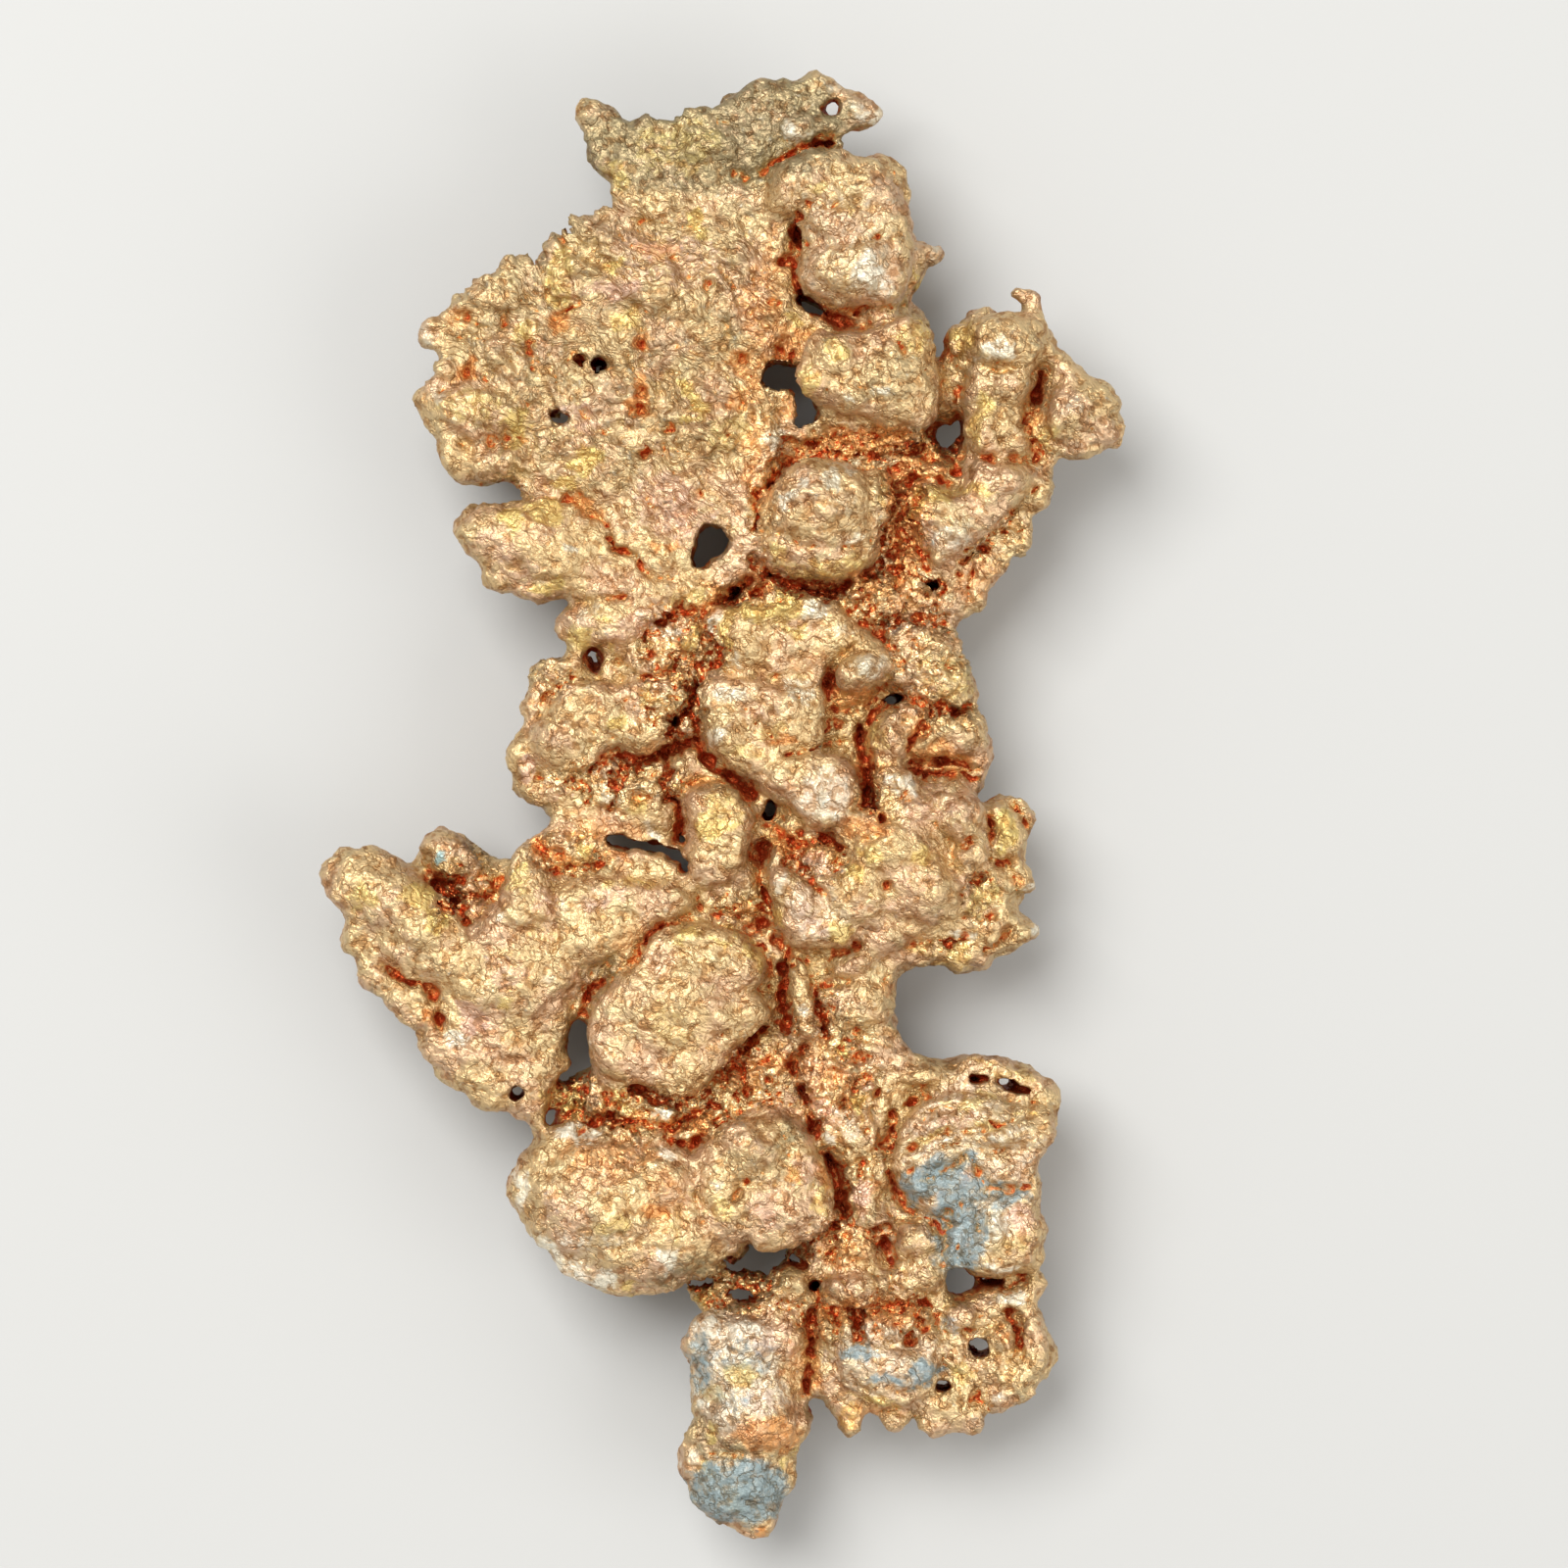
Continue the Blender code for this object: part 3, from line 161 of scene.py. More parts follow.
pits += [
    (-15.6, 26.6, 0.5, 1.1), (-16, 29.7, 0.75, 1.2), (-15.8, 28.6, 0.4, 1.3),
    (-10.1, 29, 0.45, 1.1), (-5, 25.2, 0.6, 1), (-5, 24.1, 0.55, 1.7), (-5, 28.3, 0.55, 1),
    (-5, 27, 0.4, 0.6), (-1.5, 19, 0.45, 1.3), (-4.5, 21.4, 0.4, 1.3), (-1, 31.3, 0.45, 0.9),
    (1, 27.1, 0.6, 1.1), (1.1, 24.6, 0.6, 1.1), (3.7, 27.8, 0.6, 1.7), (3.3, 30.7, 0.5, 1.6),
    (3.6, 33.1, 0.4, 1.4), (1.4, 34.4, 0.5, 0.8), (-11.5, 24, 0.35, 0.4), (-4.4, 29.4, 0.3, 0.6),
    (-4.6, 19, 0.3, 0.7)]
gaps += [
    (-11.4, 33.5, 0.35, 0.5, -20), (-9.5, 35.4, 0.2, 0.4), (-7, 36.8, 0.4, 0.25),
    (-8.75, 27.05, 0.22, 0.3), (-7.6, 26.95, 0.34, 0.38), (-4.5, 27.7, 0.1, 0.1),
    (-10, 23.75, 0.7, 0.42, -15), (-7.5, 22.55, 0.1, 0.1), (-0.65, 16.1, 0.95, 1, -20),
    (-1.25, 15.3, 0.55, 0.8, -20), (3.4, 26.15, 1.05, 0.72), (4.2, 26.55, 0.6, 0.42),
    (5, 24, 0.62, 0.95, -8), (4.7, 25.1, 0.28, 0.9, 8)]
patch("rose",
    (-3, 33.2, 4, 1.8, 0.5, -10), (-3, 18, 3.2, 2.2, 0.6, -30), (-6.6, 31.5, 1.8, 0.7, 0.8),
    (-9, 23.8, 1.6, 0.9, 0.7, -20), (-5, 22.4, 2, 1, 0.4, -30))
patch("gold",
    (-9.8, 32, 0.9, 2.4, 0.7), (-15.2, 24, 2.4, 1.2, 0.6, -15), (-8.2, 21, 1, 1.2, 1),
    (-1.9, 24.9, 0.6, 1.6, 1, 35), (-1.9, 23.4, 0.6, 0.4, 1), (-9.7, 19.6, 0.9, 0.5, 1),
    (-6, 29.6, 1, 0.8, 0.7, 10), (-12.6, 23, 0.7, 1.4, 1), (-6.7, 32.9, 0.6, 0.4, 1),
    (-1.6, 35.3, 0.5, 1.2, 0.9, 40), (0.4, 22.6, 1.4, 1.2, 0.5), (-12.2, 28.6, 0.7, 0.7, 0.8))
patch("painted_highlight",
    (-16.9, 25.2, 0.7, 0.4, 0.6), (-17.9, 29, 0.7, 0.6, 0.5), (3.2, 22.4, 0.8, 0.6, 0.8, 60))
patch("orange_and_hollow_shade",
    (-15.6, 26.6, 0.7, 0.7, 1), (-10.1, 29.2, 0.8, 0.9, 0.9), (-5, 25, 0.8, 1.4, 0.9),
    (-5, 28.2, 0.7, 0.7, 0.8), (-4, 33.7, 1.4, 0.5, 0.7), (-3.4, 15.8, 1.4, 0.35, 0.9, 5),
    (-8.5, 18.2, 1.2, 0.5, 0.9, -40), (-2.2, 17.7, 0.6, 0.5, 0.7), (1, 27, 0.9, 0.9, 0.7),
    (1.1, 24.8, 0.9, 0.9, 0.7), (-1.5, 19, 0.6, 0.6, 0.8), (-16, 29.8, 0.9, 0.7, 0.5))

# --- The two lobes at the left ---------------------------------------------------------
# Two tongues of copper below the leaf, a long one with a round end and a short one, which
# grew out over the rock. They are thicker than the leaf and worn smooth on top.
leaf(8.2, 1.9, 1.1, 0.03, 0.03, [
    (-10.5, 19.1), (-11.5, 18.9), (-12.6, 18.6), (-13.6, 18.6), (-15, 18.4), (-16, 18),
    (-16.5, 17.3), (-16.4, 16.5), (-15.7, 15.5), (-14.7, 14.5), (-13.7, 13.8), (-12.7, 12.8),
    (-11.8, 12.4), (-10.7, 12.6), (-9.6, 12.8), (-8.9, 12.6), (-5, 12.5), (-2, 13.5), (-3.5, 16.5),
    (-7.5, 17.8)])
leaf(7.9, 1.8, 1, 0.03, 0, [
    (-8.9, 12.8), (-9.7, 12.1), (-10.3, 11.1), (-10, 10.2), (-9.3, 9.7), (-8.5, 9.5), (-7.5, 9.3),
    (-3, 8), (0.5, 11), (0, 13.5), (-3, 14.5), (-6, 14.5)])
lumps(
    (-11.8, 15.9, 9.2, 4.4, 2.3, 2.3, -12), (-14.6, 16.6, 8.8, 1.7, 1.7, 2.2),
    (-6.6, 11.2, 9, 3, 1.6, 2, 8), (-5.6, 13.2, 8.8, 3.4, 1.2, 1.8, -10),
    (-9.2, 10.8, 8.2, 1.1, 0.9, 1.5), (-8.6, 17, 9.1, 2.2, 1.1, 1.7, -25),
    (-12.6, 14.2, 8.8, 2.2, 0.9, 1.6, 20), (-2.6, 12.9, 8.6, 1.8, 0.8, 1.6, 10))
creases += [
    (0.7, 0.25, [(-8.8, 12.7), (-7.6, 12.4), (-5.8, 12.9), (-5.4, 13.5), (-6.6, 14)]),
    (0.4, 0.22, [(-13.8, 17.6), (-11, 16.6), (-8.6, 15.4)]),
    (0.4, 0.22, [(-6, 11.9), (-4.8, 12.1), (-3.4, 12.2)]),
    (0.4, 0.2, [(-10.4, 16.4), (-8.8, 16.2), (-7.4, 16.9)]),
    (0.4, 0.2, [(-7.4, 14.9), (-6, 14), (-5, 13)])]
patch("gold",
    (-10.9, 17.9, 1.1, 0.8, 1, 10), (-12.9, 17.3, 0.6, 0.8, 1, 30), (-10.9, 13.2, 1.4, 0.5, 1, 20),
    (-8.6, 10.4, 1, 0.6, 0.9), (-2.4, 12.7, 1.8, 0.6, 0.6, 20), (-6.9, 9.5, 0.6, 0.3, 0.8),
    (-7.2, 11.5, 0.6, 0.3, 0.8))
patch("rose",
    (-13, 15, 2.4, 1.2, 0.5, -30), (-5.6, 10.8, 1.8, 1, 0.6), (-14.2, 16.4, 1.2, 0.8, 0.5))
patch("painted_highlight", (-9.1, 15.9, 0.8, 0.3, 1, -10), (-8.2, 11.7, 1, 0.6, 0.5, 20))

# --- The two nodules under the crest ---------------------------------------------------
# Two potato-shaped nodules, one below the other, that cover the leaf's right edge. They
# are solid, and each is fused from a few smaller ones with shallow seams between them.
leaf(7.6, 2.2, 1, 0, 0, [
    (3.4, 38.5), (6.5, 40), (7.6, 39.8), (8.7, 39.5), (9.4, 40.1), (10.1, 39.8), (10.9, 38.8),
    (11.6, 38), (11.7, 37.4), (11.3, 36.8), (11.4, 35.5), (11.5, 34.5), (12.1, 34.6), (13.4, 33.7),
    (12.6, 33.2), (12.2, 32.4), (11.8, 31.8), (11.4, 31), (11.2, 30.2), (11.9, 29.5), (12.7, 28.2),
    (13.2, 26.9), (13.2, 25), (12.8, 23.8), (12, 22.3), (10, 21.5), (3.5, 22.5), (3, 30)])
leaf(9.6, 3.4, 1.7, 0, 0, [
    (2.7, 38.4), (3.6, 39.2), (5, 39.8), (6.8, 39.9), (8.6, 39.5), (9.8, 38.9), (10.5, 37.4),
    (11.2, 36.2), (11.5, 34.6), (11.6, 33), (11.1, 31.6), (10.8, 30.4), (9.2, 30.3), (7.6, 30.2),
    (6.4, 30.6), (5.3, 31.4), (4.7, 33), (5, 34.4), (4.9, 35.8), (4, 35.8), (3, 36.2)])
leaf(9.2, 3.3, 1.6, 0, 0, [
    (5.1, 28.2), (5.9, 28.8), (7.4, 28.8), (8.8, 28.7), (10.2, 29.6), (11.4, 29.9), (12.4, 28.4),
    (13.1, 27), (13.2, 25.4), (12.8, 23.6), (11.8, 22.8), (10.6, 22.9), (8.8, 23.6), (6.8, 23.9),
    (5.4, 24.8), (4.6, 26), (4.8, 27.2)])
lumps(
    (5.2, 37.8, 10.4, 2.4, 1.9, 2.9, 20), (8.9, 37.6, 10.2, 1.9, 2, 2.9),
    (7.2, 35.4, 10.9, 2.6, 1.5, 2.8), (7.9, 32.6, 11.3, 3, 2.3, 3),
    (9.9, 34.2, 10.6, 1.6, 1.6, 2.9), (10.3, 35.1, 11.6, 0.5, 0.5, 1),
    (5.8, 32.3, 10.4, 1.1, 1.3, 2.3), (12.5, 33.8, 8.2, 1, 0.7, 1),
    (6.8, 27.2, 10.6, 1.8, 1.6, 2.4), (5.7, 25.7, 10.2, 1, 1.3, 2.2, 20),
    (10.4, 26, 10.5, 2.5, 2, 2.7), (11, 24, 9.9, 2, 1.2, 2.5), (8.2, 24.7, 10.2, 1.4, 1, 2.3),
    (11.8, 28.4, 9.6, 1.1, 1.3, 2.4), (9.4, 28.2, 10.1, 1.3, 0.9, 2.2),
    (4.6, 29.3, 8.8, 0.6, 1.1, 1.4, -15), (9.6, 29.9, 9.6, 1.4, 0.5, 1.6, 10),
    (4, 34.6, 8.8, 0.6, 1.6, 1.4))
leaf(9.2, 1.2, 0.5, 0, 0, [
    (9.2, 39.6), (9.7, 40.1), (10.3, 39.7), (11, 38.8), (11.4, 38), (11.7, 37.4), (11.3, 36.9),
    (10.9, 37.3), (10.3, 38.2), (9.8, 39)])
creases += [
    (2, 0.28, [(4.6, 36.1), (4.4, 35.3), (4.5, 34.6), (4.8, 34.1)]),
    (1.4, 0.3, [(4.1, 33.6), (4.3, 32.8), (4.5, 32), (4.7, 31.2)]),
    (0.7, 0.22, [(5.1, 35.8), (5.2, 36.5), (6.2, 36.6), (6.7, 36.2), (7.4, 36.6), (8.2, 36.5)]),
    (0.6, 0.22, [(5.8, 34), (7.2, 34.2), (8.6, 34), (9.4, 34.5), (10.4, 34.4)]),
    (0.5, 0.22, [(6.6, 39.2), (6.8, 38.2), (7.3, 37.2)]),
    (0.4, 0.2, [(6.1, 33.8), (6.5, 32.4), (6.4, 31.2)]),
    (0.4, 0.2, [(4.1, 38.4), (3.9, 37.4), (4.4, 36.6)]),
    (1.5, 0.25, [(10.3, 38.4), (10.5, 37.8), (11.1, 37.1)]),
    (2.4, 0.38, [(6.1, 30.1), (6.9, 29.7), (7.4, 29.3)]),
    (1, 0.25, [(7.9, 30), (9, 30.3), (10.2, 30.2), (11.2, 30.3)]),
    (0.5, 0.25, [(8.5, 28.5), (8.5, 27), (8.3, 25.8), (9.2, 24.9)]),
    (0.5, 0.22, [(10.4, 28.6), (11.2, 27.6), (12.6, 27.2)]),
    (0.6, 0.22, [(12.4, 26.2), (12.9, 25), (12.4, 24.2)]),
    (0.6, 0.25, [(6.2, 24.6), (7, 25.6), (6.6, 26)])]
pits += [
    (8.6, 29.2, 0.4, 1.2), (4.2, 27.6, 0.4, 1.6), (5.1, 38, 0.22, 0.5), (6.6, 38.6, 0.2, 0.5),
    (11.9, 24.6, 0.3, 0.5), (5.4, 29.2, 0.5, 1.2)]
gaps += [(5.5, 30.45, 0.95, 0.28, -32), (4.75, 31.15, 0.2, 0.5, 10)]
patch("painted_highlight",
    (8.9, 32.2, 1.2, 1.3, 1, 20), (10.2, 30.8, 0.5, 0.7, 0.6), (9.7, 25.1, 0.5, 0.35, 1, -20),
    (7.9, 24.9, 0.4, 0.25, 0.9), (5.6, 24.2, 0.5, 0.3, 1, -40), (13, 33.7, 0.6, 0.5, 0.9))
patch("dull", (7.4, 35.2, 4.4, 5.2, 0.35), (10.3, 26, 2.6, 2.2, 0.45), (6.6, 26.4, 2.4, 2.4, 0.25))
patch("gold",
    (6.8, 27.6, 1, 0.9, 0.7), (5.3, 25.8, 0.5, 1, 0.8, 20), (5.9, 37.4, 0.8, 0.6, 0.7),
    (7.6, 36, 0.5, 0.5, 0.6), (4.6, 29.8, 0.5, 0.5, 1), (11.8, 28.6, 1, 1.2, 0.7),
    (11.8, 32.3, 0.4, 0.4, 1))
patch("orange_and_hollow_shade",
    (11.5, 31.4, 0.5, 0.6, 0.7), (8.6, 29.2, 0.5, 0.5, 1), (5.2, 28.9, 1, 0.6, 0.7),
    (4, 28.2, 0.9, 1.4, 0.8), (3.6, 33, 0.8, 1, 0.6), (3.9, 24.3, 0.6, 1, 0.7))

# --- The ball --------------------------------------------------------------------------
# A ball of copper standing in a socket of hackly metal at the middle of the upper half.
# It is solid, with a cap whose groove runs around it, and a painted highlight of pale silver on its
# crown.
lumps(
    (6.1, 17.3, 9.2, 4.1, 3.8, 4), (5.8, 18.4, 11.2, 3, 2.6, 2.8), (5.6, 15.2, 9.6, 3.1, 1.5, 2.4),
    (9.2, 18.6, 9.8, 1, 2.1, 2.3, -8), (4.2, 18.6, 11.6, 1.1, 1.3, 2),
    (7.4, 18.6, 11.4, 1.3, 1.9, 2.3))
creases += [
    (0.7, 0.25, [(2.6, 16.9), (3.9, 16.1), (5.2, 15.6), (7, 15.6), (8.8, 16), (9.5, 16.7)]),
    (0.4, 0.2, [(8.8, 20.7), (9.1, 19.2), (8.8, 17.8), (9, 16.8)]),
    (0.5, 0.2, [(9.5, 20.4), (9.8, 19), (9.6, 17.6)]),
    (0.4, 0.2, [(5.2, 20.4), (5.4, 19.2), (5, 18), (5.6, 17)]),
    (1.8, 0.28, [(2.7, 19.6), (3, 20.2), (3.7, 20.6), (4.5, 20.8)]),
    (0.7, 0.22, [(4.6, 21.3), (6.4, 21.4), (8, 21.2), (9.2, 21.5), (10.2, 20.6)]),
    (1.6, 0.28, [(10.2, 20.4), (10.4, 19.2), (10.4, 17.8), (9.9, 16.6)]),
    (2, 0.25, [(9.7, 16.2), (9.7, 15.6), (9.3, 14.9)]),
    (1.8, 0.3, [(1.7, 15.1), (2.4, 14.5), (3.4, 14)]),
    (2.4, 0.28, [(4, 13.7), (5.2, 13.3), (6.2, 13), (7.2, 13.1), (7.8, 13.5)]),
    (1.4, 0.3, [(2.2, 18.9), (2.4, 17.9), (2, 17)])]
pits += [
    (2.6, 17.9, 0.4, 0.8), (11, 17.3, 0.7, 1.4), (10.6, 15.3, 0.6, 1.4), (10.9, 14.2, 0.5, 1.6)]
patch("painted_highlight",
    (4.4, 19.1, 1.1, 0.4, 1, 20), (3.7, 18.1, 0.4, 0.6, 0.9, 30), (6.4, 19.9, 0.4, 0.7, 1, -20),
    (7.6, 20.7, 0.8, 0.3, 0.8), (8, 16, 0.9, 0.3, 0.9, 15), (7.4, 18.4, 1, 1.4, 0.4))
patch("gold",
    (6.4, 14.4, 2.8, 0.7, 0.7, 5), (3.4, 15.2, 1.2, 0.7, 0.7, -40), (9.8, 18.8, 0.5, 1.4, 0.5))

# --- The branch ------------------------------------------------------------------------
# The arm of the upper right: two short columns under a smooth head with a little hook,
# a flap, and a knob like a bunch of grapes. Below it an elbow joins it to the bed.
leaf(7.2, 2, 1, 0, 0, [
    (13.3, 28.4), (13.8, 29), (14.5, 29.2), (15, 30.1), (16.2, 30.3), (17, 29.9), (18, 30.1),
    (19.3, 30), (19.9, 29.2), (20.1, 28.7), (19.8, 27.8), (20.9, 27.3), (21.7, 26.5), (20.5, 25.5),
    (19, 23), (19, 21.5), (20.3, 21.4), (20.1, 20.3), (20.2, 19.3), (19.9, 18.4), (18.9, 17.8),
    (18.8, 16.9), (18.8, 15.8), (18.6, 15.3), (17.8, 15.5), (17.1, 15.6), (17.3, 15), (16.9, 14.2),
    (16.3, 13.5), (16.1, 12.9), (16, 12.4), (15.3, 12), (14.5, 11.2), (12, 12), (10, 13.5),
    (10, 20), (12.5, 20.8), (14.5, 21), (15, 23), (14.6, 25.5), (13.6, 26.8)])
leaf(7.4, 1.7, 1, 0, 0, [
    (19, 25.8), (20.6, 26.1), (21.6, 26), (22.4, 26.4), (23, 25.9), (23.2, 25.5), (23.9, 25.4),
    (24.3, 24.7), (24.2, 24), (24.6, 23.4), (24.4, 22.6), (23.6, 22), (22, 21.4), (20.9, 21.6),
    (19.6, 21.4), (18.6, 23.5)])
leaf(8.6, 2.7, 1.2, 0, 0, [
    (11.2, 18.8), (12.2, 19.5), (13.6, 19.2), (14.9, 19.4), (15.1, 20.6), (16.2, 21), (18.2, 20.8),
    (19.3, 20.2), (18.6, 19), (17.4, 17.8), (16, 16.4), (14.6, 15.3), (13, 14.4), (12.3, 15.4),
    (11.9, 17.2)])
leaf(8.4, 1.2, 0.6, 0, 0, [
    (18.9, 20.8), (19.8, 20.3), (20.3, 19.3), (19.8, 18.2), (18.9, 17.9), (18.4, 18.8)])
leaf(7.9, 1.2, 0.5, 0, 0, [
    (17.2, 17.9), (18.6, 17.8), (18.9, 16.6), (18.7, 15.5), (17.8, 15.4), (17, 16.2)])
leaf(7.7, 1, 0.4, 0, 0, [
    (16.4, 15.6), (17.4, 15), (17.3, 14.2), (16.5, 13.4), (15.7, 13.9), (15.5, 15)])
lumps(
    (17.2, 28.2, 9.8, 2.5, 2, 2.6), (14.4, 28.2, 8.8, 0.9, 1.2, 1.4), (19, 28.6, 9.2, 1, 1.2, 1.6),
    (18.9, 30.2, 8.6, 0.55, 0.8, 0.7), (18.75, 31.1, 8.7, 0.6, 0.45, 0.6, 20),
    (18, 31.3, 8.6, 0.5, 0.5, 0.55), (17.3, 25.6, 9.4, 1.6, 1.6, 2.4, 10),
    (16.3, 23, 9.2, 1.5, 1.9, 2.3), (17.7, 22.6, 9, 1.2, 1.5, 2.2), (17.9, 25.8, 8.8, 1, 1.9, 2.1),
    (15.5, 25.3, 8.8, 0.9, 2.1, 1.9), (20.8, 26.6, 8.4, 1.6, 0.9, 1.5, -30),
    (19.9, 27.6, 8.6, 0.8, 0.8, 1.4), (21.4, 24, 9, 1.9, 1.7, 2.6),
    (23.2, 24.6, 8.7, 1.1, 0.9, 1.6), (23.4, 22.9, 8.6, 1.1, 1.1, 1.7),
    (21.7, 22.3, 8.6, 1.6, 1, 1.9), (20.6, 23.4, 9.2, 1.1, 1.2, 2.3),
    (22.4, 25.4, 8.8, 0.9, 0.8, 1.4), (13.2, 18, 9.6, 1.6, 1.2, 2.3),
    (14.2, 16.8, 9.6, 1.5, 1.5, 2.2, 40), (16.8, 19.4, 9.6, 2.2, 1.2, 2.3, 40),
    (12.2, 17.9, 9.3, 0.9, 1.6, 2.2, -15), (15.8, 12.6, 7.8, 0.7, 0.7, 1.2),
    (14.4, 12.2, 7.8, 0.9, 0.8, 1.4), (14.9, 13.8, 8, 0.7, 0.8, 1.4),
    (13.8, 13.4, 8, 0.5, 0.6, 1.2), (13.8, 25.4, 6.6, 1, 2.2, 2), (19.4, 24.4, 7.2, 0.9, 2.2, 2))
creases += [
    (0.8, 0.25, [(15, 27), (16.6, 26.5), (18.2, 26.9), (18.9, 26.4)]),
    (0.5, 0.22, [(15.2, 24.6), (16.6, 24.5), (17.6, 24), (18.2, 23.2)]),
    (0.5, 0.22, [(16.9, 24.4), (16.7, 23), (17, 21.6)]),
    (1.9, 0.28, [(19.2, 26.6), (19.2, 25.4), (18.8, 24.3), (18.6, 23.2), (18.9, 22.2)]),
    (0.6, 0.22, [(21, 25.2), (22, 24.4), (22.3, 23), (22, 21.8)]),
    (0.5, 0.22, [(22.2, 24), (23.4, 23.8), (24.4, 23.8)]),
    (0.5, 0.22, [(20, 24.4), (20.9, 23), (20.6, 22)]),
    (0.9, 0.2, [(15.6, 21.5), (16.2, 21.3), (16.8, 21), (18, 20.9), (18.6, 21.2)]),
    (1.8, 0.28, [(14.4, 23.8), (14.5, 22.4), (14.4, 21.2), (14.1, 20.4)]),
    (1.8, 0.28, [(10.6, 19.4), (11.4, 19.9), (12.6, 20.1), (13.8, 19.7)]),
    (0.5, 0.22, [(12, 18.9), (13, 18.6), (14, 18.9), (15.2, 18.6)]),
    (0.9, 0.22, [(19, 19.3), (18.6, 18.8), (18, 18.2), (17.2, 17.4)]),
    (1.5, 0.28, [(11.5, 18.4), (11.6, 17), (11.9, 15.6), (12.6, 14.4)]),
    (1.2, 0.25, [(14.4, 15), (15.2, 15.7), (16.2, 16.6), (17.2, 17)]),
    (0.9, 0.25, [(13.2, 14), (13.4, 13), (13, 12.2)]),
    (0.9, 0.22, [(15.2, 14.6), (15, 13.4), (15.2, 12.6)])]
pits += [(16, 15.9, 0.5, 1.6), (19, 21.6, 0.6, 1.7), (14.2, 14.3, 0.5, 1.4), (19.3, 20.3, 0.2, 0.6)]
gaps += [
    (13.65, 22.6, 0.32, 0.8, 8), (12.7, 13.4, 0.32, 0.27), (13.4, 11.7, 0.26, 0.14, -20),
    (13.2, 28, 0.3, 0.5)]
patch("painted_highlight",
    (16.6, 27.7, 1.2, 0.8, 1, 10), (21.4, 24, 0.7, 0.6, 0.5), (14, 16.6, 1.4, 0.9, 0.6, 30),
    (13.1, 22.9, 0.4, 0.6, 0.8, 30))
patch("dull", (17, 26.4, 3, 3.2, 0.35), (22, 24, 2.8, 2.2, 0.3))
patch("gold",
    (15.6, 23.6, 0.6, 1.9, 0.8), (14.6, 28.4, 0.6, 1.4, 0.8), (14.2, 19, 2.4, 0.5, 0.8),
    (11.6, 18.4, 0.5, 1.2, 0.7, -20), (20, 22.6, 0.6, 0.9, 0.7))
patch("rose", (12.6, 16.6, 0.6, 1.4, 0.5))

# --- The waist -------------------------------------------------------------------------
# The narrow middle of the nugget, where a dozen nodules have grown into each other over
# a bed of rough copper. Deep clefts part them, and one or two go right through.
leaf(5.8, 2.6, 1, 0, 0, [
    (0.6, 12), (0.8, 22), (4.6, 22.8), (9, 23.3), (12.6, 22.3), (13.2, 21.5), (14.6, 21.2),
    (14.4, 11.2), (14.4, 10.2), (14.4, 9.5), (14.8, 8.7), (15.2, 8), (15.7, 7.5), (15.8, 6.8),
    (15.5, 6.2), (14.7, 6), (14.5, 5.6), (15.5, 5.7), (15.9, 5.5), (15.9, 5), (16.3, 4.2),
    (16.5, 3.3), (16.3, 2.4), (15.7, 1.6), (15.3, 1.2), (15.8, 0.1), (16.2, 0.1), (14, -4), (2, -4),
    (0, 0), (-2, 8)])
leaf(6.6, 2.4, 1, 0, 0, [
    (-8.2, 8.3), (-9.3, 8.9), (-10.6, 8.9), (-11.5, 8.6), (-11.9, 8.1), (-11.8, 7.3), (-12.1, 6.4),
    (-12, 5.6), (-11.7, 5.2), (-12.2, 4.5), (-13.1, 4), (-13.4, 3.4), (-13.3, 2.6), (-12.9, 1.6),
    (-12.2, 0.9), (-11.6, 0.2), (-10.9, 0), (-10.4, -0.4), (-10.6, -1.3), (-8, -2), (-2, -1.5),
    (3, -2), (3, 8), (0, 13), (-4, 12), (-7.5, 9.6)])
leaf(8.4, 2.5, 1.2, 0, 0.12, [
    (-0.2, 10.6), (0.2, 11.8), (1.4, 12.3), (2.5, 12.7), (3.2, 13.2), (4.4, 13.2), (5.6, 12.6),
    (6.9, 12.2), (7.8, 11.3), (9.2, 10.2), (8.2, 9.4), (6.8, 8.4), (5.6, 7.8), (3, 7.2), (1.2, 7.7),
    (-0.1, 8.8)])
leaf(8.7, 2.7, 1.2, 0, 0, [
    (-1.2, 8.3), (-0.3, 8.4), (0.8, 7.8), (3, 7.2), (4.6, 7.6), (5.9, 7.8), (6.3, 6.6), (6, 5.2),
    (6.1, 4.2), (5.6, 3.4), (4.2, 3), (2.6, 2.6), (1.8, 1.5), (0.6, 2.2), (-0.6, 3.3), (-1.2, 4.8),
    (-1.4, 6.6)])
leaf(9.2, 2.8, 1.1, 0.1, 0, [
    (2.1, 0.9), (1.9, 1.9), (2.7, 2.8), (4.2, 3.1), (5.8, 3.3), (7.2, 3), (8.1, 2.4), (8.1, 1.4),
    (7.9, 0.6), (8.3, -0.3), (7.4, -1.2), (6.2, -1.6), (5.1, -1.1), (4, -0.2), (3, 0.5)])
leaf(8.2, 2.6, 1.2, 0, 0, [
    (-9.6, 7.5), (-8.2, 7.8), (-6.6, 7.5), (-5.4, 7.8), (-4.2, 7.8), (-3.5, 7), (-3.5, 5.9),
    (-3, 5), (-3.3, 4.1), (-4.4, 3.3), (-5.6, 3.1), (-6.6, 3.6), (-7.6, 3), (-8.6, 2.1),
    (-10.2, 2.1), (-11.4, 2.6), (-11.7, 4), (-11, 5.4)])
leaf(7.6, 2, 0.8, 0, 0, [
    (-5.9, 2.1), (-5, 2.5), (-4.1, 2.4), (-3.7, 1.2), (-4, 0), (-4.6, -0.9), (-5.7, -0.6),
    (-6.2, 0.6)])
leaf(7.4, 2, 0.7, 0, 0, [
    (-7.7, 2.2), (-6.9, 2.9), (-6.3, 2.4), (-6.4, 1), (-6.9, 0), (-8, -0.2), (-8, 1)])
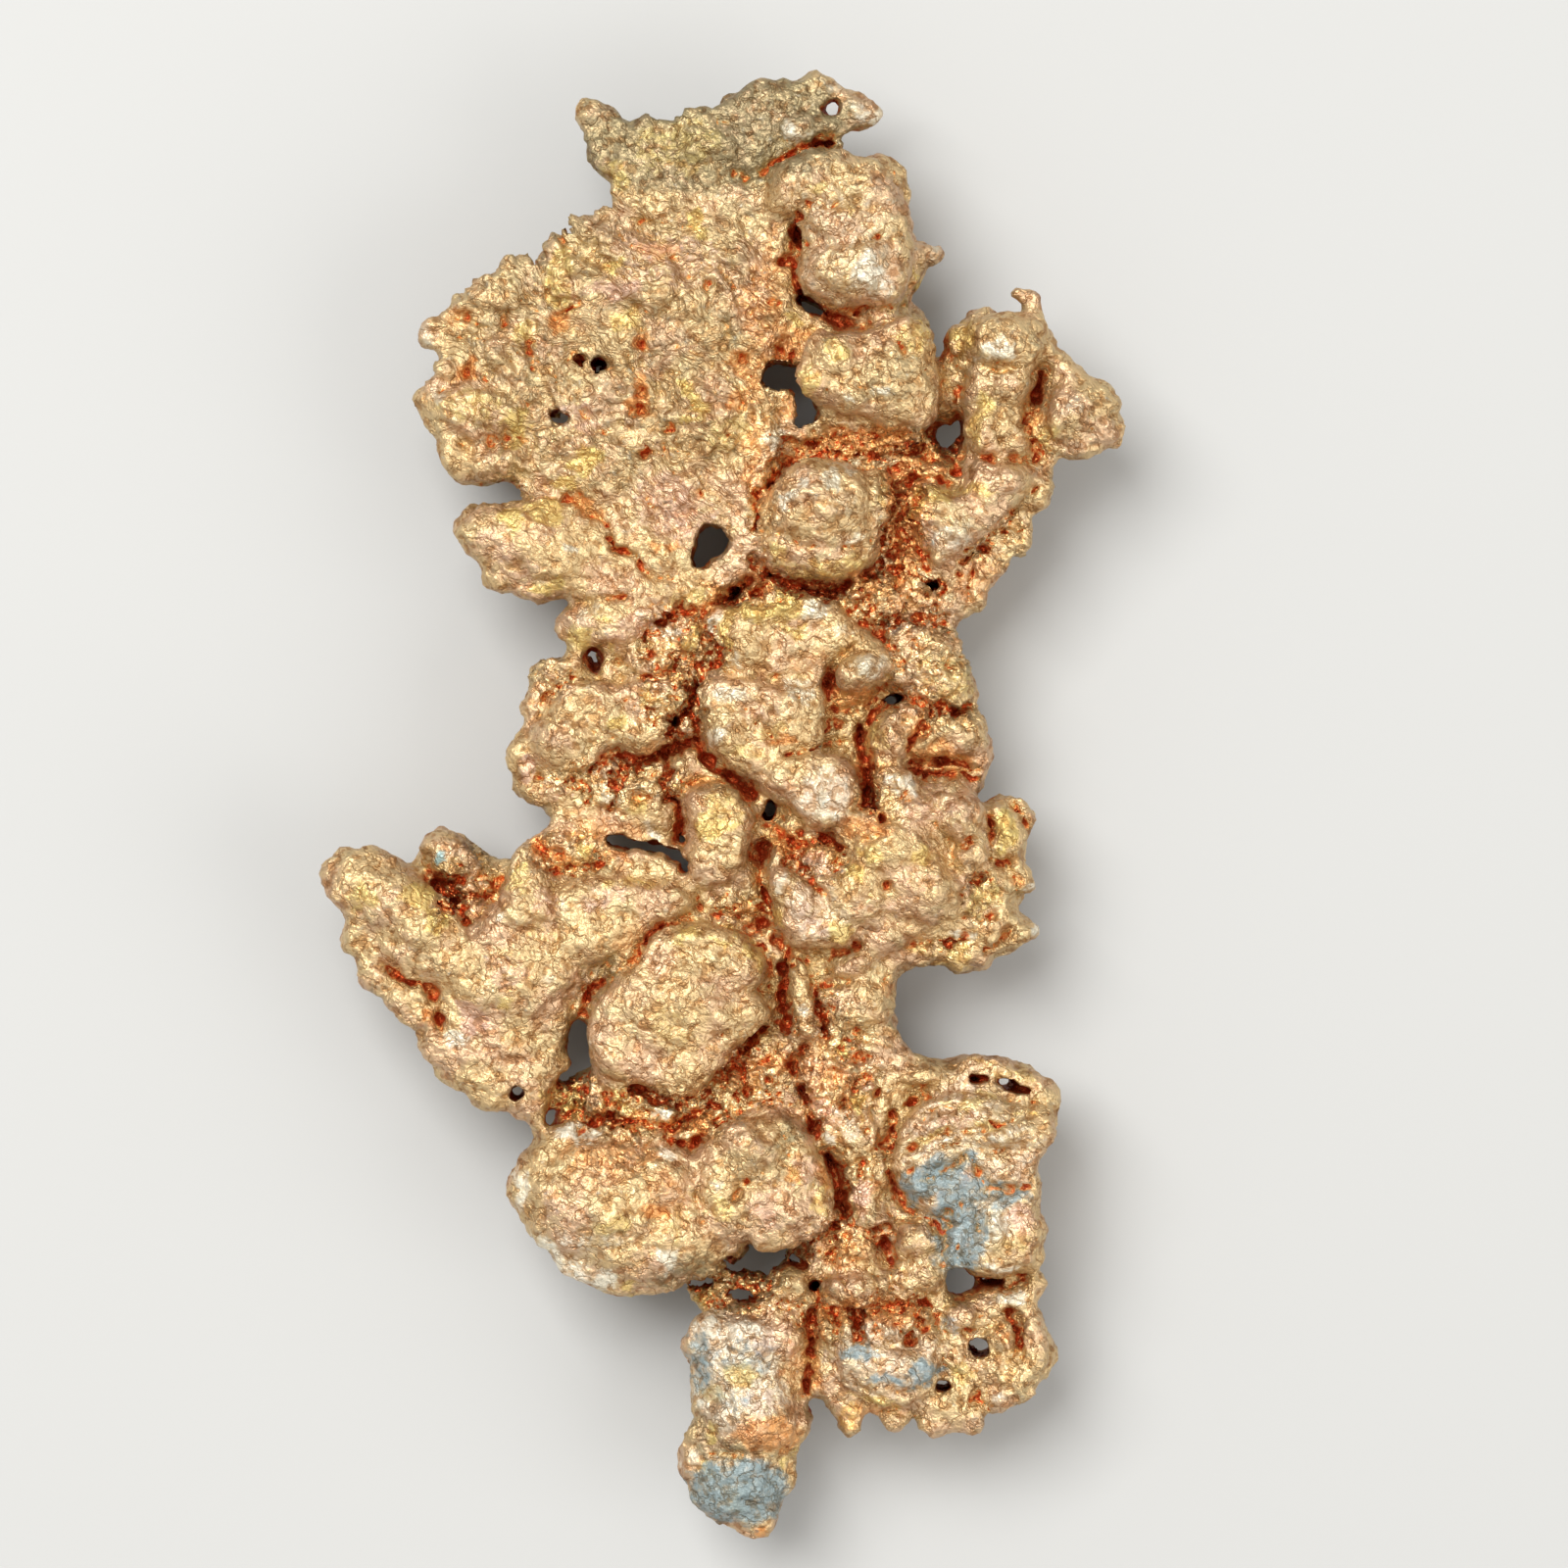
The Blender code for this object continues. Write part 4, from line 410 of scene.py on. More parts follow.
leaf(9, 2.3, 1, 0, 0, [
    (-2.2, 0.6), (-1.4, 1.3), (-0.2, 1.3), (1, 0.8), (1.7, -0.3), (1.7, -2), (1.2, -3.6),
    (0.2, -4.8), (-1.2, -5.2), (-2, -4.6), (-2, -2)])
leaf(7.6, 2.4, 1.1, 0, 0, [
    (9.8, 10.4), (11.4, 10.9), (13.2, 10.6), (14.3, 10), (14.8, 8.6), (15.5, 7.4), (14.8, 6.3),
    (13.2, 6.1), (11.8, 6.6), (10.4, 7.4)])
leaf(7.9, 2.4, 0.9, 0, 0, [
    (9.1, 5.2), (10.2, 5.9), (11.4, 6.2), (12.5, 5.8), (11.8, 4.6), (11.2, 3.3), (10.4, 2.6),
    (9.2, 2.7), (8.8, 4)])
leaf(8.6, 2.2, 0.8, -0.05, 0, [
    (9.1, 2.3), (10.4, 2.3), (11.8, 1.9), (12, 0.9), (11.4, 0.2), (10.2, -0.3), (9.7, 0.2),
    (9.2, 1.3)])
leaf(7.8, 1.9, 0.8, 0, 0, [
    (12.2, 5.3), (13.6, 5.6), (15.2, 5.4), (15.8, 4.4), (15.3, 3.4), (14.2, 2.9), (12.7, 2.9),
    (12.4, 4)])
lumps(
    (3, 11.9, 9.9, 2.2, 0.8, 1.9, 8), (1.4, 9.8, 9.2, 1.6, 1.9, 2.4), (5.4, 11.8, 9.2, 1, 0.9, 2.1),
    (7.4, 10.2, 8.9, 1.6, 0.9, 2.1), (0.4, 5, 9.2, 1.4, 1.9, 2.6), (-0.1, 4.2, 10.8, 0.9, 0.9, 1.3),
    (3.6, 5.8, 9.5, 2.2, 1.6, 2.4), (1.2, 7.4, 9.6, 1.9, 0.6, 2),
    (8.6, 8.3, 9.6, 1.9, 1.2, 2.4, 35), (8.8, 8.6, 10.4, 0.9, 0.8, 1.9, 35),
    (6.4, 0.8, 10.2, 2, 2.1, 2.3, -15), (3.2, 1.8, 9.8, 1.2, 0.9, 2), (12.4, 8.8, 8, 2.2, 1.7, 2.5),
    (11.2, 10.2, 8.6, 0.9, 0.7, 1.7), (14, 7.4, 7.8, 1.2, 1, 2.1), (15.1, 6.9, 7.2, 0.7, 0.8, 1.3),
    (13.8, 4.6, 8.2, 1.5, 0.8, 2), (15, 3.8, 7.9, 0.9, 0.7, 1.8), (12.2, 3.7, 8.9, 0.7, 0.6, 1.5),
    (10.4, 4.2, 8.8, 1.2, 1.7, 2.2, 25), (10.6, 1.3, 9, 1.2, 0.9, 2.1),
    (-0.2, -0.4, 9.2, 1.6, 1.5, 2.4), (-0.2, -3.2, 9, 1.5, 1.7, 2.3),
    (12.2, 12.4, 7.8, 1.8, 1.2, 2), (9.6, 12.4, 8.2, 1.9, 1.3, 2.3), (8, 13, 8.4, 0.9, 0.9, 1.9))
lumps(
    (-9.6, 4.3, 8.6, 2.1, 1.9, 2.7, 10), (-7.9, 6.2, 8.5, 1.9, 1.4, 2.5),
    (-5.2, 4.6, 8.6, 2, 1.3, 2.5), (-5.1, 6.9, 8.6, 1.4, 1, 2.4), (-10.6, 8.1, 7.8, 1, 0.9, 1.7),
    (-9.2, 8.6, 7.9, 0.9, 0.7, 1.6), (-11.4, 7.2, 7.6, 0.6, 0.6, 1.5),
    (-11.6, 5.9, 7.5, 0.6, 0.6, 1.5), (-12.5, 3, 7.3, 1, 1.2, 1.8), (-12.2, 1.3, 7, 0.9, 1, 1.5),
    (-10.4, 0.8, 7.4, 1.2, 0.9, 1.7), (-3.4, 1.6, 7.4, 0.6, 0.8, 1.8),
    (-9.4, -0.3, 7, 1.2, 0.7, 1.5), (-2.8, 6.6, 8.2, 0.9, 1.2, 2.1), (-2, 8.2, 8.5, 0.7, 0.6, 1.9),
    (-3.4, 8.6, 8.2, 0.9, 0.9, 2), (-5.2, 8.7, 8.3, 1.3, 0.9, 2), (-3.3, 10.4, 8.4, 0.9, 0.9, 1.9),
    (-1.9, 10.2, 8.5, 0.8, 1.2, 2), (-0.7, 11.3, 8.7, 0.5, 1.1, 1.9, -30),
    (-2.2, 4.4, 8.2, 0.6, 0.7, 1.7), (-2.7, 2.5, 7.9, 0.35, 0.9, 1.7, 35),
    (-4, -1.6, 7.2, 1.3, 0.7, 1.5, -20))
creases += [
    (2.2, 0.32, [(1.8, 13.8), (0.8, 13.1), (0.1, 12.6), (-0.8, 12.1), (-1.5, 11.6)]),
    (1.7, 0.28, [(-1.5, 11.6), (-2.4, 11.8), (-3.4, 11.5), (-4.1, 10.8), (-4.7, 10.2),
        (-4.7, 9.5), (-4.2, 9.1)]),
    (1.1, 0.22, [(-1.5, 11.6), (-1.2, 10.8), (-0.8, 10.2), (-0.3, 9.8), (-0.2, 8.8)]),
    (1.5, 0.25, [(-0.3, 8.7), (-1.2, 8.5), (-1.6, 7.6), (-1.7, 6.6), (-2, 5.9), (-2.8, 5.4),
        (-3, 4.4)]), (1.2, 0.22, [(-1.9, 5.8), (-1.6, 5), (-1.4, 4.2)]),
    (2.4, 0.32, [(-6.2, 3.3), (-5.6, 2.7), (-4.6, 2.8), (-3.4, 3.4), (-2.4, 3.8), (-1.5, 4.2)]),
    (2.4, 0.28, [(-1.5, 4.2), (-1.3, 3.4), (-1, 2.8), (-0.4, 2.3), (0.4, 1.9), (1.2, 1.4),
        (1.8, 0.8)]), (1, 0.22, [(-8.2, 2.1), (-7.7, 2.6), (-7.2, 3.1), (-6.5, 3.4), (-6.1, 3.2)]),
    (2.4, 0.38, [(-3.5, 0.4), (-2.7, 0.2), (-2.6, -0.8), (-2.4, -1.9)]),
    (0.5, 0.22, [(0.6, 8.1), (2.2, 7.4), (3.8, 7.8), (5.9, 7.9)]),
    (1, 0.2, [(6.1, 7.8), (6.2, 7.2), (6.3, 6.4)]),
    (0.5, 0.22, [(-0.2, 5.6), (0.8, 5.7), (1.8, 6.1), (3, 5.9)]),
    (0.4, 0.2, [(2.2, 5.6), (2, 4.8), (3, 4.2)]),
    (1, 0.22, [(3.9, 3.1), (4.8, 3.2), (5.5, 3.5), (6.4, 3.8), (7.4, 4.1)]),
    (1.9, 0.3, [(8.3, 4.6), (8.4, 3.6), (8.6, 2.6), (8.8, 1.6), (8.9, 0.9)]),
    (1.3, 0.28, [(9, 5), (9.2, 5.7), (9.7, 6.2), (10.4, 6.5)]),
    (0.9, 0.28, [(6.4, 5.9), (7.6, 5.8), (8.8, 6.2), (9.6, 6.8), (10.1, 7.8)]),
    (0.7, 0.22, [(6.2, 7.9), (7.2, 9.2), (8.4, 9.8), (9.6, 9.8), (10.2, 8.8)]),
    (1.2, 0.22, [(9.3, 10.3), (9.7, 10), (10.2, 9.6)]),
    (1.8, 0.3, [(11.2, 2.9), (12, 2.4), (13.2, 2.7), (14.4, 2.6), (15.6, 2.2)]),
    (2, 0.35, [(11.6, 2.1), (12.6, 2), (13.6, 1.7), (14.6, 1.8), (15.4, 1.7)]),
    (1.4, 0.25, [(12.6, 5.8), (12.2, 5), (11.9, 4.2), (11.4, 3.2)]),
    (1, 0.25, [(11, 6.6), (12.4, 6.2), (14.2, 5.9), (15.6, 5.8)]),
    (0.9, 0.25, [(9.4, 11.3), (10.6, 11.5), (12, 11.3), (13.6, 11.2)]),
    (1, 0.25, [(8.6, 11), (9, 11.9), (8.6, 12.6)]),
    (0.6, 0.22, [(-6, 7.4), (-6, 6.6), (-5.4, 6), (-4.4, 6), (-3.6, 5.9)]),
    (0.6, 0.22, [(-11, 5.4), (-9.8, 5.3), (-8.6, 5.2), (-7.6, 4.4), (-6.8, 4.2)]),
    (0.5, 0.2, [(-9.8, 2.6), (-8.8, 2.7), (-8, 3.6), (-7.4, 4.3)]),
    (0.5, 0.2, [(-9.6, 7), (-8.4, 6.6), (-7.2, 6.9), (-6.3, 6.9)]),
    (0.8, 0.22, [(-6.6, 9), (-5.8, 8.2), (-4.8, 7.9), (-3.8, 8)]),
    (1.2, 0.22, [(-6.2, 2.4), (-6.4, 1.2), (-6.6, 0.2), (-6.9, -0.4)]),
    (1, 0.22, [(-3.7, 3), (-3.6, 2), (-3.6, 1)]),
    (1, 0.25, [(-2.2, 1.1), (-1.2, 1.7), (0.2, 1.5), (1.2, 1.2)]),
    (0.8, 0.25, [(-11.9, 2.7), (-11.6, 1.8), (-11, 1.6)])]
pits += [
    (6.3, 4.9, 0.5, 1.8), (7, 5, 0.5, 1.6), (8.7, 0.6, 0.6, 4), (9.2, -0.2, 0.6, 3.6),
    (9.8, -0.8, 0.5, 3), (12.8, 3.8, 0.4, 1.2), (3.6, 4, 0.4, 0.7), (4.6, 6.6, 0.22, 0.7),
    (-10.8, 6.5, 0.5, 1.1), (-12, 2.5, 0.35, 0.7), (-3.2, 1.9, 0.35, 1.2), (-3.6, 9.8, 0.4, 0.9),
    (-9.4, 1.6, 0.5, 1.4), (-8.7, 1.4, 0.6, 1.5), (13.4, 13.2, 0.4, 1.2)]
gaps += [
    (10.4, 6.5, 0.5, 0.2, 15), (2.8, -0.2, 0.38, 0.62), (-8.75, -0.95, 0.45, 0.15, -12),
    (-6.2, -2.25, 0.9, 0.36, -18), (-4.4, -2.6, 1.3, 0.26, -10), (-3, -3.1, 1, 0.42, -25),
    (-2.3, -3.8, 0.35, 0.5), (-7.95, 8.9, 0.32, 0.62, 10)]
patch("gold",
    (2.6, 11.9, 2.6, 0.7, 1, 8), (4.4, 10.8, 1.4, 0.5, 0.9, -30), (0.2, 10.8, 0.5, 1.4, 0.9),
    (-0.2, 0, 1.4, 0.9, 0.7), (-0.4, -1.2, 1.2, 0.6, 1), (-6.4, 4.9, 0.9, 0.5, 1),
    (-5.2, -0.1, 0.8, 0.7, 0.9), (4, 12.8, 1.2, 0.5, 1), (3, 4.6, 0.8, 0.5, 0.6),
    (-4.6, 6.6, 0.9, 0.9, 0.6), (13.6, 7.6, 2.2, 1.6, 0.5), (-2, 10.2, 0.6, 1, 0.8),
    (9.4, 4.4, 0.7, 0.9, 0.7), (1.4, 3.4, 1.2, 0.8, 0.5))
patch("painted_highlight",
    (-0.1, 4.2, 0.6, 0.8, 1), (0.7, 6.8, 1.2, 0.6, 0.9, 5), (4.8, 7.2, 1.3, 0.5, 0.8, 10),
    (5.5, 11.8, 0.8, 0.5, 1), (8.9, 8.5, 1.1, 0.8, 0.8, 35), (0.7, 8.9, 0.5, 0.4, 0.8),
    (-3.4, 10.5, 0.7, 0.4, 0.8), (7, 10.4, 1, 0.4, 0.6), (10.2, 10.8, 0.5, 0.6, 0.6))
patch("chalk",
    (6.2, 0.6, 1.8, 1.8, 0.6), (10.8, 1.1, 1.2, 0.9, 0.7), (-4.2, -1.6, 0.9, 0.5, 0.7, -20),
    (-6.9, 0.8, 0.6, 0.9, 0.5), (-0.6, 11.4, 0.5, 1, 0.7, -30))
patch("rose", (2.6, 5.2, 1.8, 1.2, 0.4), (-12, 2.2, 0.9, 0.9, 0.8), (-10.4, 0.8, 1.6, 0.8, 0.5))
patch("orange_and_hollow_shade",
    (7.8, 6.4, 1.8, 0.7, 1, 15), (8.5, 3.4, 0.5, 1.8, 0.9), (11.9, 5, 0.7, 1.2, 0.7),
    (3.6, 4, 0.6, 0.4, 0.9), (-10.8, 6.5, 0.6, 0.5, 0.9), (1.6, 13.2, 1.6, 0.8, 0.7, 20),
    (-0.8, 1.6, 1.6, 0.4, 0.8), (8.6, -1.4, 1.6, 0.7, 0.8), (6, 8.9, 2, 0.7, 0.4, 10))

# --- The right side --------------------------------------------------------------------
# The heavy mass at the right below the waist. Its rim is drawn out into teeth, where the
# copper filled the narrow ends of the crack, and a pale horn lies over it at its left.
leaf(6.8, 2.4, 1.1, -0.02, 0, [
    (15.8, 0.1), (16.4, 0.2), (17, 0.6), (17.6, 0.6), (18.6, 0), (19.2, -0.6), (19, -1.3),
    (18.6, -1.6), (18.5, -2.3), (18.3, -3.4), (18.8, -4.2), (19.2, -4.9), (18.6, -5.3),
    (17.4, -5.5), (17.8, -6.2), (18.8, -7.1), (19.5, -7.6), (19.4, -8), (18.8, -8.2), (17.7, -9),
    (16.6, -9.1), (16.4, -9.7), (15.9, -10.3), (15.6, -9.9), (14.7, -10.3), (13.9, -10.1),
    (13.2, -9.6), (12.3, -9.7), (11.4, -10), (10.4, -9.5), (9, -10.5), (4, -9), (2.6, -5), (3, -1),
    (9, 1.5), (14, 2)])
leaf(9.5, 2.1, 0.9, 0, 0.06, [
    (2.7, -4.4), (3.3, -3.8), (4.2, -3.8), (4.8, -4.5), (5.4, -5.3), (6.2, -6.3), (7.4, -7),
    (8.2, -7.7), (7.6, -8.6), (6, -8.8), (4.4, -8.6), (3.6, -7.6), (2.9, -5.9)])
leaf(7.8, 1.7, 0.7, 0, 0, [
    (16.3, 0), (17.4, 0.3), (18.1, -0.5), (18.4, -1.8), (18.1, -3.2), (16.9, -3.3), (16.3, -1.8)])
leaf(7.4, 1.2, 0.5, 0, 0, [
    (16.6, 0.2), (17.4, 0.6), (18.6, 0.1), (19.2, -0.9), (18.7, -1.6), (18, -0.6), (17.2, 0.1)])
leaf(7.8, 1.2, 0.5, 0, 0, [
    (11.2, -8.4), (12.2, -7.5), (13.6, -7.2), (14.8, -7.2), (15.5, -7.6), (14.8, -8.1), (13.2, -8)])
lumps(
    (6.9, -5, 9.2, 1.9, 1.7, 2.9, -30), (10.4, -2.6, 9, 3.6, 2.6, 3.6, -20),
    (12.2, -5, 8.8, 3, 2.4, 3.6), (8.4, -5.6, 9, 2.4, 2.2, 3.3), (14.4, -0.7, 9.4, 1.7, 1.6, 2.9),
    (12, -0.4, 8.9, 2.2, 1.2, 2.8, 10), (15, -3.1, 9, 1.3, 1.1, 2.5, 20),
    (10, -8, 8.4, 2.2, 1.2, 2.5, 20), (8.2, -9.6, 8, 2.2, 1, 2.4, 20),
    (12.8, -8.8, 7.8, 1.2, 0.9, 1.6), (14.6, -9.2, 7.8, 1.2, 0.9, 1.7),
    (17.3, -1.5, 8, 0.8, 1.5, 1.9), (17, -4.6, 7.8, 1.1, 0.9, 1.8),
    (18.4, -4.8, 7.4, 0.9, 0.6, 1.1, -30), (18.4, -7.6, 7.4, 1.3, 0.7, 1.2, -25),
    (16.6, -7.4, 8, 0.9, 1, 1.7), (15.9, -9.5, 7.6, 0.5, 0.8, 1.1),
    (3.2, -3.2, 9.2, 0.35, 0.9, 1.6, -25), (6, -3.4, 8.8, 1.6, 1, 2.2, -20),
    (3.4, -7.2, 8.9, 0.3, 0.8, 1.8, 12), (8.6, -12, 7.8, 1.8, 2, 2.3),
    (7, -12.4, 8, 0.7, 1.8, 2.1, 10), (9.8, -10.4, 7.8, 0.8, 0.8, 1.6))
creases += [
    (0.7, 0.22, [(4.8, -3.9), (5.3, -4.7), (5.9, -5.6), (6.3, -6.2)]),
    (0.6, 0.22, [(7.1, -3.2), (7.3, -4.6), (7.8, -5.4), (8.8, -5.3), (9.6, -5), (10.3, -4.5)]),
    (0.7, 0.2, [(6.2, -4), (6.8, -4.1)]),
    (0.5, 0.2, [(10.9, -5.1), (11.3, -6), (11.7, -6.2), (12.9, -6)]),
    (0.5, 0.2, [(12.9, 0.2), (12.7, -0.8), (13.1, -1.7), (14.2, -2.4)]),
    (0.7, 0.22, [(14, -2.5), (15.2, -2.1), (16, -1.2), (16.1, -0.2)]),
    (0.7, 0.22, [(13.8, -3.5), (14.1, -4), (14.4, -4.4), (15.4, -4.6)]),
    (1.2, 0.2, [(15, -4.8), (14.4, -5), (14.5, -5.4), (14.2, -6), (14.6, -6.9)]),
    (1, 0.22, [(16, -0.3), (16.3, -1.8), (16.4, -3.2), (17, -3.6), (17.8, -3.4)]),
    (1.2, 0.22, [(17.5, 0.1), (18.1, -0.5), (18.5, -1.3)]),
    (0.9, 0.22, [(17.4, -4), (17.9, -4.5), (18.1, -5.2)]),
    (1, 0.22, [(16.2, -8.8), (16.7, -8.5), (17.2, -8), (17.6, -7.4)]),
    (0.8, 0.25, [(11, -8.6), (12.4, -8.2), (14, -8.2), (15.6, -8.1), (16.2, -8.6)]),
    (1.4, 0.28, [(2.5, -2.4), (2.4, -3.8), (2.4, -5.2), (2.9, -6.4), (3, -7.8), (3.6, -8.8)]),
    (0.8, 0.22, [(4.4, -8.9), (6, -9), (7.4, -9), (8.2, -8.4)]),
    (0.5, 0.2, [(6.2, -10.9), (7.6, -10.8), (9, -10), (10.2, -9)]),
    (1.5, 0.28, [(2.6, -1.2), (3.6, -1.8), (4.4, -2.4), (5.2, -2.3), (6.6, -2.2)]),
    (0.9, 0.25, [(5.6, -2.2), (7.2, -2.6), (8.6, -2.2), (9.8, -2)])]
pits += [
    (4.6, -1.6, 0.35, 1.8), (4.9, -3, 0.2, 0.9), (10.7, -4.7, 0.3, 0.4), (16.6, -8.5, 0.3, 1.3),
    (5, -9.3, 0.3, 1.3), (2.1, -6.3, 0.5, 1.5), (2.3, -6.9, 0.5, 1.9), (3.6, -2.2, 0.7, 1)]
patch("gold",
    (7.3, -7.8, 0.7, 0.6, 1), (8, -4.2, 0.7, 0.5, 1, -30), (12.3, -2.8, 0.8, 0.6, 0.9),
    (17.3, -1.4, 0.9, 1.5, 1), (15.8, -5.6, 1.4, 1.2, 0.7), (9.2, -2.8, 1, 0.6, 0.7),
    (3.3, -7.1, 0.4, 0.8, 1, 12), (14.4, -9.2, 1.2, 0.8, 0.6), (12, -8.6, 1, 0.5, 0.6))
patch("chalk",
    (14.6, -7.6, 0.8, 0.35, 1, -5), (18.9, -4.9, 0.5, 0.5, 1), (19.3, -7.8, 0.6, 0.5, 1),
    (3.6, -4.6, 0.8, 0.6, 0.6, -40))
patch("rose",
    (12.6, 0, 2.4, 1.4, 0.5), (9.6, -6.6, 2, 1.2, 0.4), (5.6, -7, 2, 0.8, 0.5, -40),
    (12, -4.4, 1.6, 0.9, 0.5), (5.6, -3.6, 1.8, 0.9, 0.7, -20))
patch("orange_and_hollow_shade",
    (3.9, -2.3, 0.9, 0.7, 1, -30), (5.8, -2.6, 2, 0.6, 0.6), (17.9, -4.4, 0.4, 0.6, 0.8),
    (1.6, -6.4, 1.2, 1, 0.8), (15, -8.6, 0.8, 0.3, 0.4))

# --- The arm ---------------------------------------------------------------------------
# The limb at the left: a blunt knob like a sausage end, a rough thumb behind it, a ridge
# like a horn, and a flat body that runs down to a point beside the coin-shaped plate.
leaf(7.8, 2, 1.2, -0.03, 0.03, [
    (-10.6, -1.3), (-11.5, -1.8), (-12.2, -2.3), (-12.8, -3.1), (-13.1, -4.2), (-13.6, -5.2),
    (-14.4, -6.2), (-15, -7), (-15.9, -7.2), (-17, -6.2), (-17.9, -5), (-18.8, -3.9), (-19.6, -3.4),
    (-20.2, -2.8), (-21.8, -2.6), (-23.3, -2.8), (-24.2, -3.4), (-24.6, -4.4), (-24.3, -5.4),
    (-23.7, -6), (-23, -6.6), (-23.2, -7.4), (-23.5, -8.3), (-23.2, -9.1), (-22.4, -9.3),
    (-22.3, -10.2), (-22, -10.9), (-21, -11.6), (-20.5, -12.5), (-19.7, -13.2), (-18.8, -13.5),
    (-18.1, -13.5), (-18.5, -14.3), (-18.5, -15.1), (-17.8, -15.7), (-17, -16), (-16.7, -16.7),
    (-16.2, -17.2), (-15.6, -17.5), (-15.2, -18.3), (-14.6, -18.9), (-13.8, -18.8), (-13, -18.6),
    (-12.4, -19.3), (-11.8, -20.2), (-11.2, -19.8), (-10.8, -18.6), (-10.6, -17.5), (-10.3, -16.8),
    (-9.8, -16.2), (-9.2, -15.7), (-9.8, -15.3), (-9.4, -14.5), (-9.3, -13.5), (-8.6, -13.1),
    (-7.9, -12), (-4, -8), (3, -7), (3, -3.5), (-8, -1.5)])
leaf(5.6, 1.6, 0.9, 0, 0, [
    (-19.2, -3.8), (-18.2, -2.2), (-17.8, -1.5), (-17.2, -1.2), (-16.6, -1.6), (-15.6, -2.1),
    (-15, -2.9), (-14.4, -3.3), (-13.8, -3.5), (-12.9, -3.6), (-12.4, -5), (-14.5, -8.5),
    (-18, -6.5)])
leaf(9, 2.6, 1.1, 0, 0, [
    (-12.6, -2.8), (-12.2, -2.4), (-11.5, -2.6), (-10.9, -3.9), (-10.2, -5.4), (-10.1, -6.6),
    (-11.6, -7.4), (-13.4, -7.6), (-14.7, -7.1), (-13.8, -6), (-12.9, -4.6)])
leaf(8.8, 2.4, 1.1, 0, 0, [
    (-10.2, -5.2), (-9, -4.4), (-7.4, -4.1), (-5.6, -4.3), (-3.8, -4.6), (-2, -4.9), (-1.8, -5.8),
    (-2.6, -6.7), (-4.2, -7.2), (-5.6, -8.4), (-7.6, -9.4), (-9.8, -9), (-10.4, -7.2)])
leaf(7, 1.6, 0.7, 0, 0, [
    (-22.2, -9.4), (-21, -9.3), (-20, -10.1), (-18.6, -10.9), (-18, -12), (-17.8, -13.2),
    (-18.8, -13.5), (-20.2, -12.8), (-21.6, -11.2), (-22.3, -10.3)])
lumps(
    (-22.2, -4.8, 9, 2.2, 2, 2.3), (-20.2, -5.8, 9.3, 2.6, 2.1, 2.5, -30),
    (-18.4, -7.2, 9.4, 2.6, 2, 2.5, -35), (-16.6, -9, 9, 2.6, 2.2, 2.4, -35),
    (-19.4, -8.6, 8.8, 2.4, 1.6, 2.1, -30), (-22.4, -8.2, 7.8, 1, 1.1, 1.6),
    (-17, -3, 7.2, 1.5, 1.5, 2.2), (-15.2, -5, 7.2, 1.3, 0.8, 2),
    (-15.2, -6.3, 7.4, 1.1, 0.7, 1.9, 15), (-15.6, -3.6, 7, 1.3, 0.9, 2, -25),
    (-17, -2, 6.8, 0.7, 0.7, 1.4), (-14, -4, 6.6, 0.7, 0.5, 1.3), (-13.4, -10, 8.7, 4.2, 3.8, 2.8),
    (-10.6, -9.6, 8.6, 2.4, 2.8, 2.6), (-13.6, -14.4, 8, 3.2, 3.2, 2),
    (-15.8, -13.4, 8, 1.8, 1.8, 1.9), (-12.2, -17.6, 7.6, 1.5, 2, 1.4, 20),
    (-16.9, -16.3, 7.4, 0.9, 0.8, 1.1), (-14.6, -18, 7.4, 0.9, 0.8, 1.1),
    (-18, -14.6, 7.6, 0.8, 0.9, 1.3), (-8.3, -2.8, 8.2, 0.8, 0.7, 1.6),
    (-10.6, -2.2, 7.8, 0.8, 0.6, 1.5, -30), (-9.8, -1.6, 7.8, 0.25, 1.3, 1.5, 30),
    (-7.4, -2, 7.4, 0.9, 0.5, 1.4, -30), (-6.8, -9.9, 8, 0.9, 1.4, 1.9, -40))
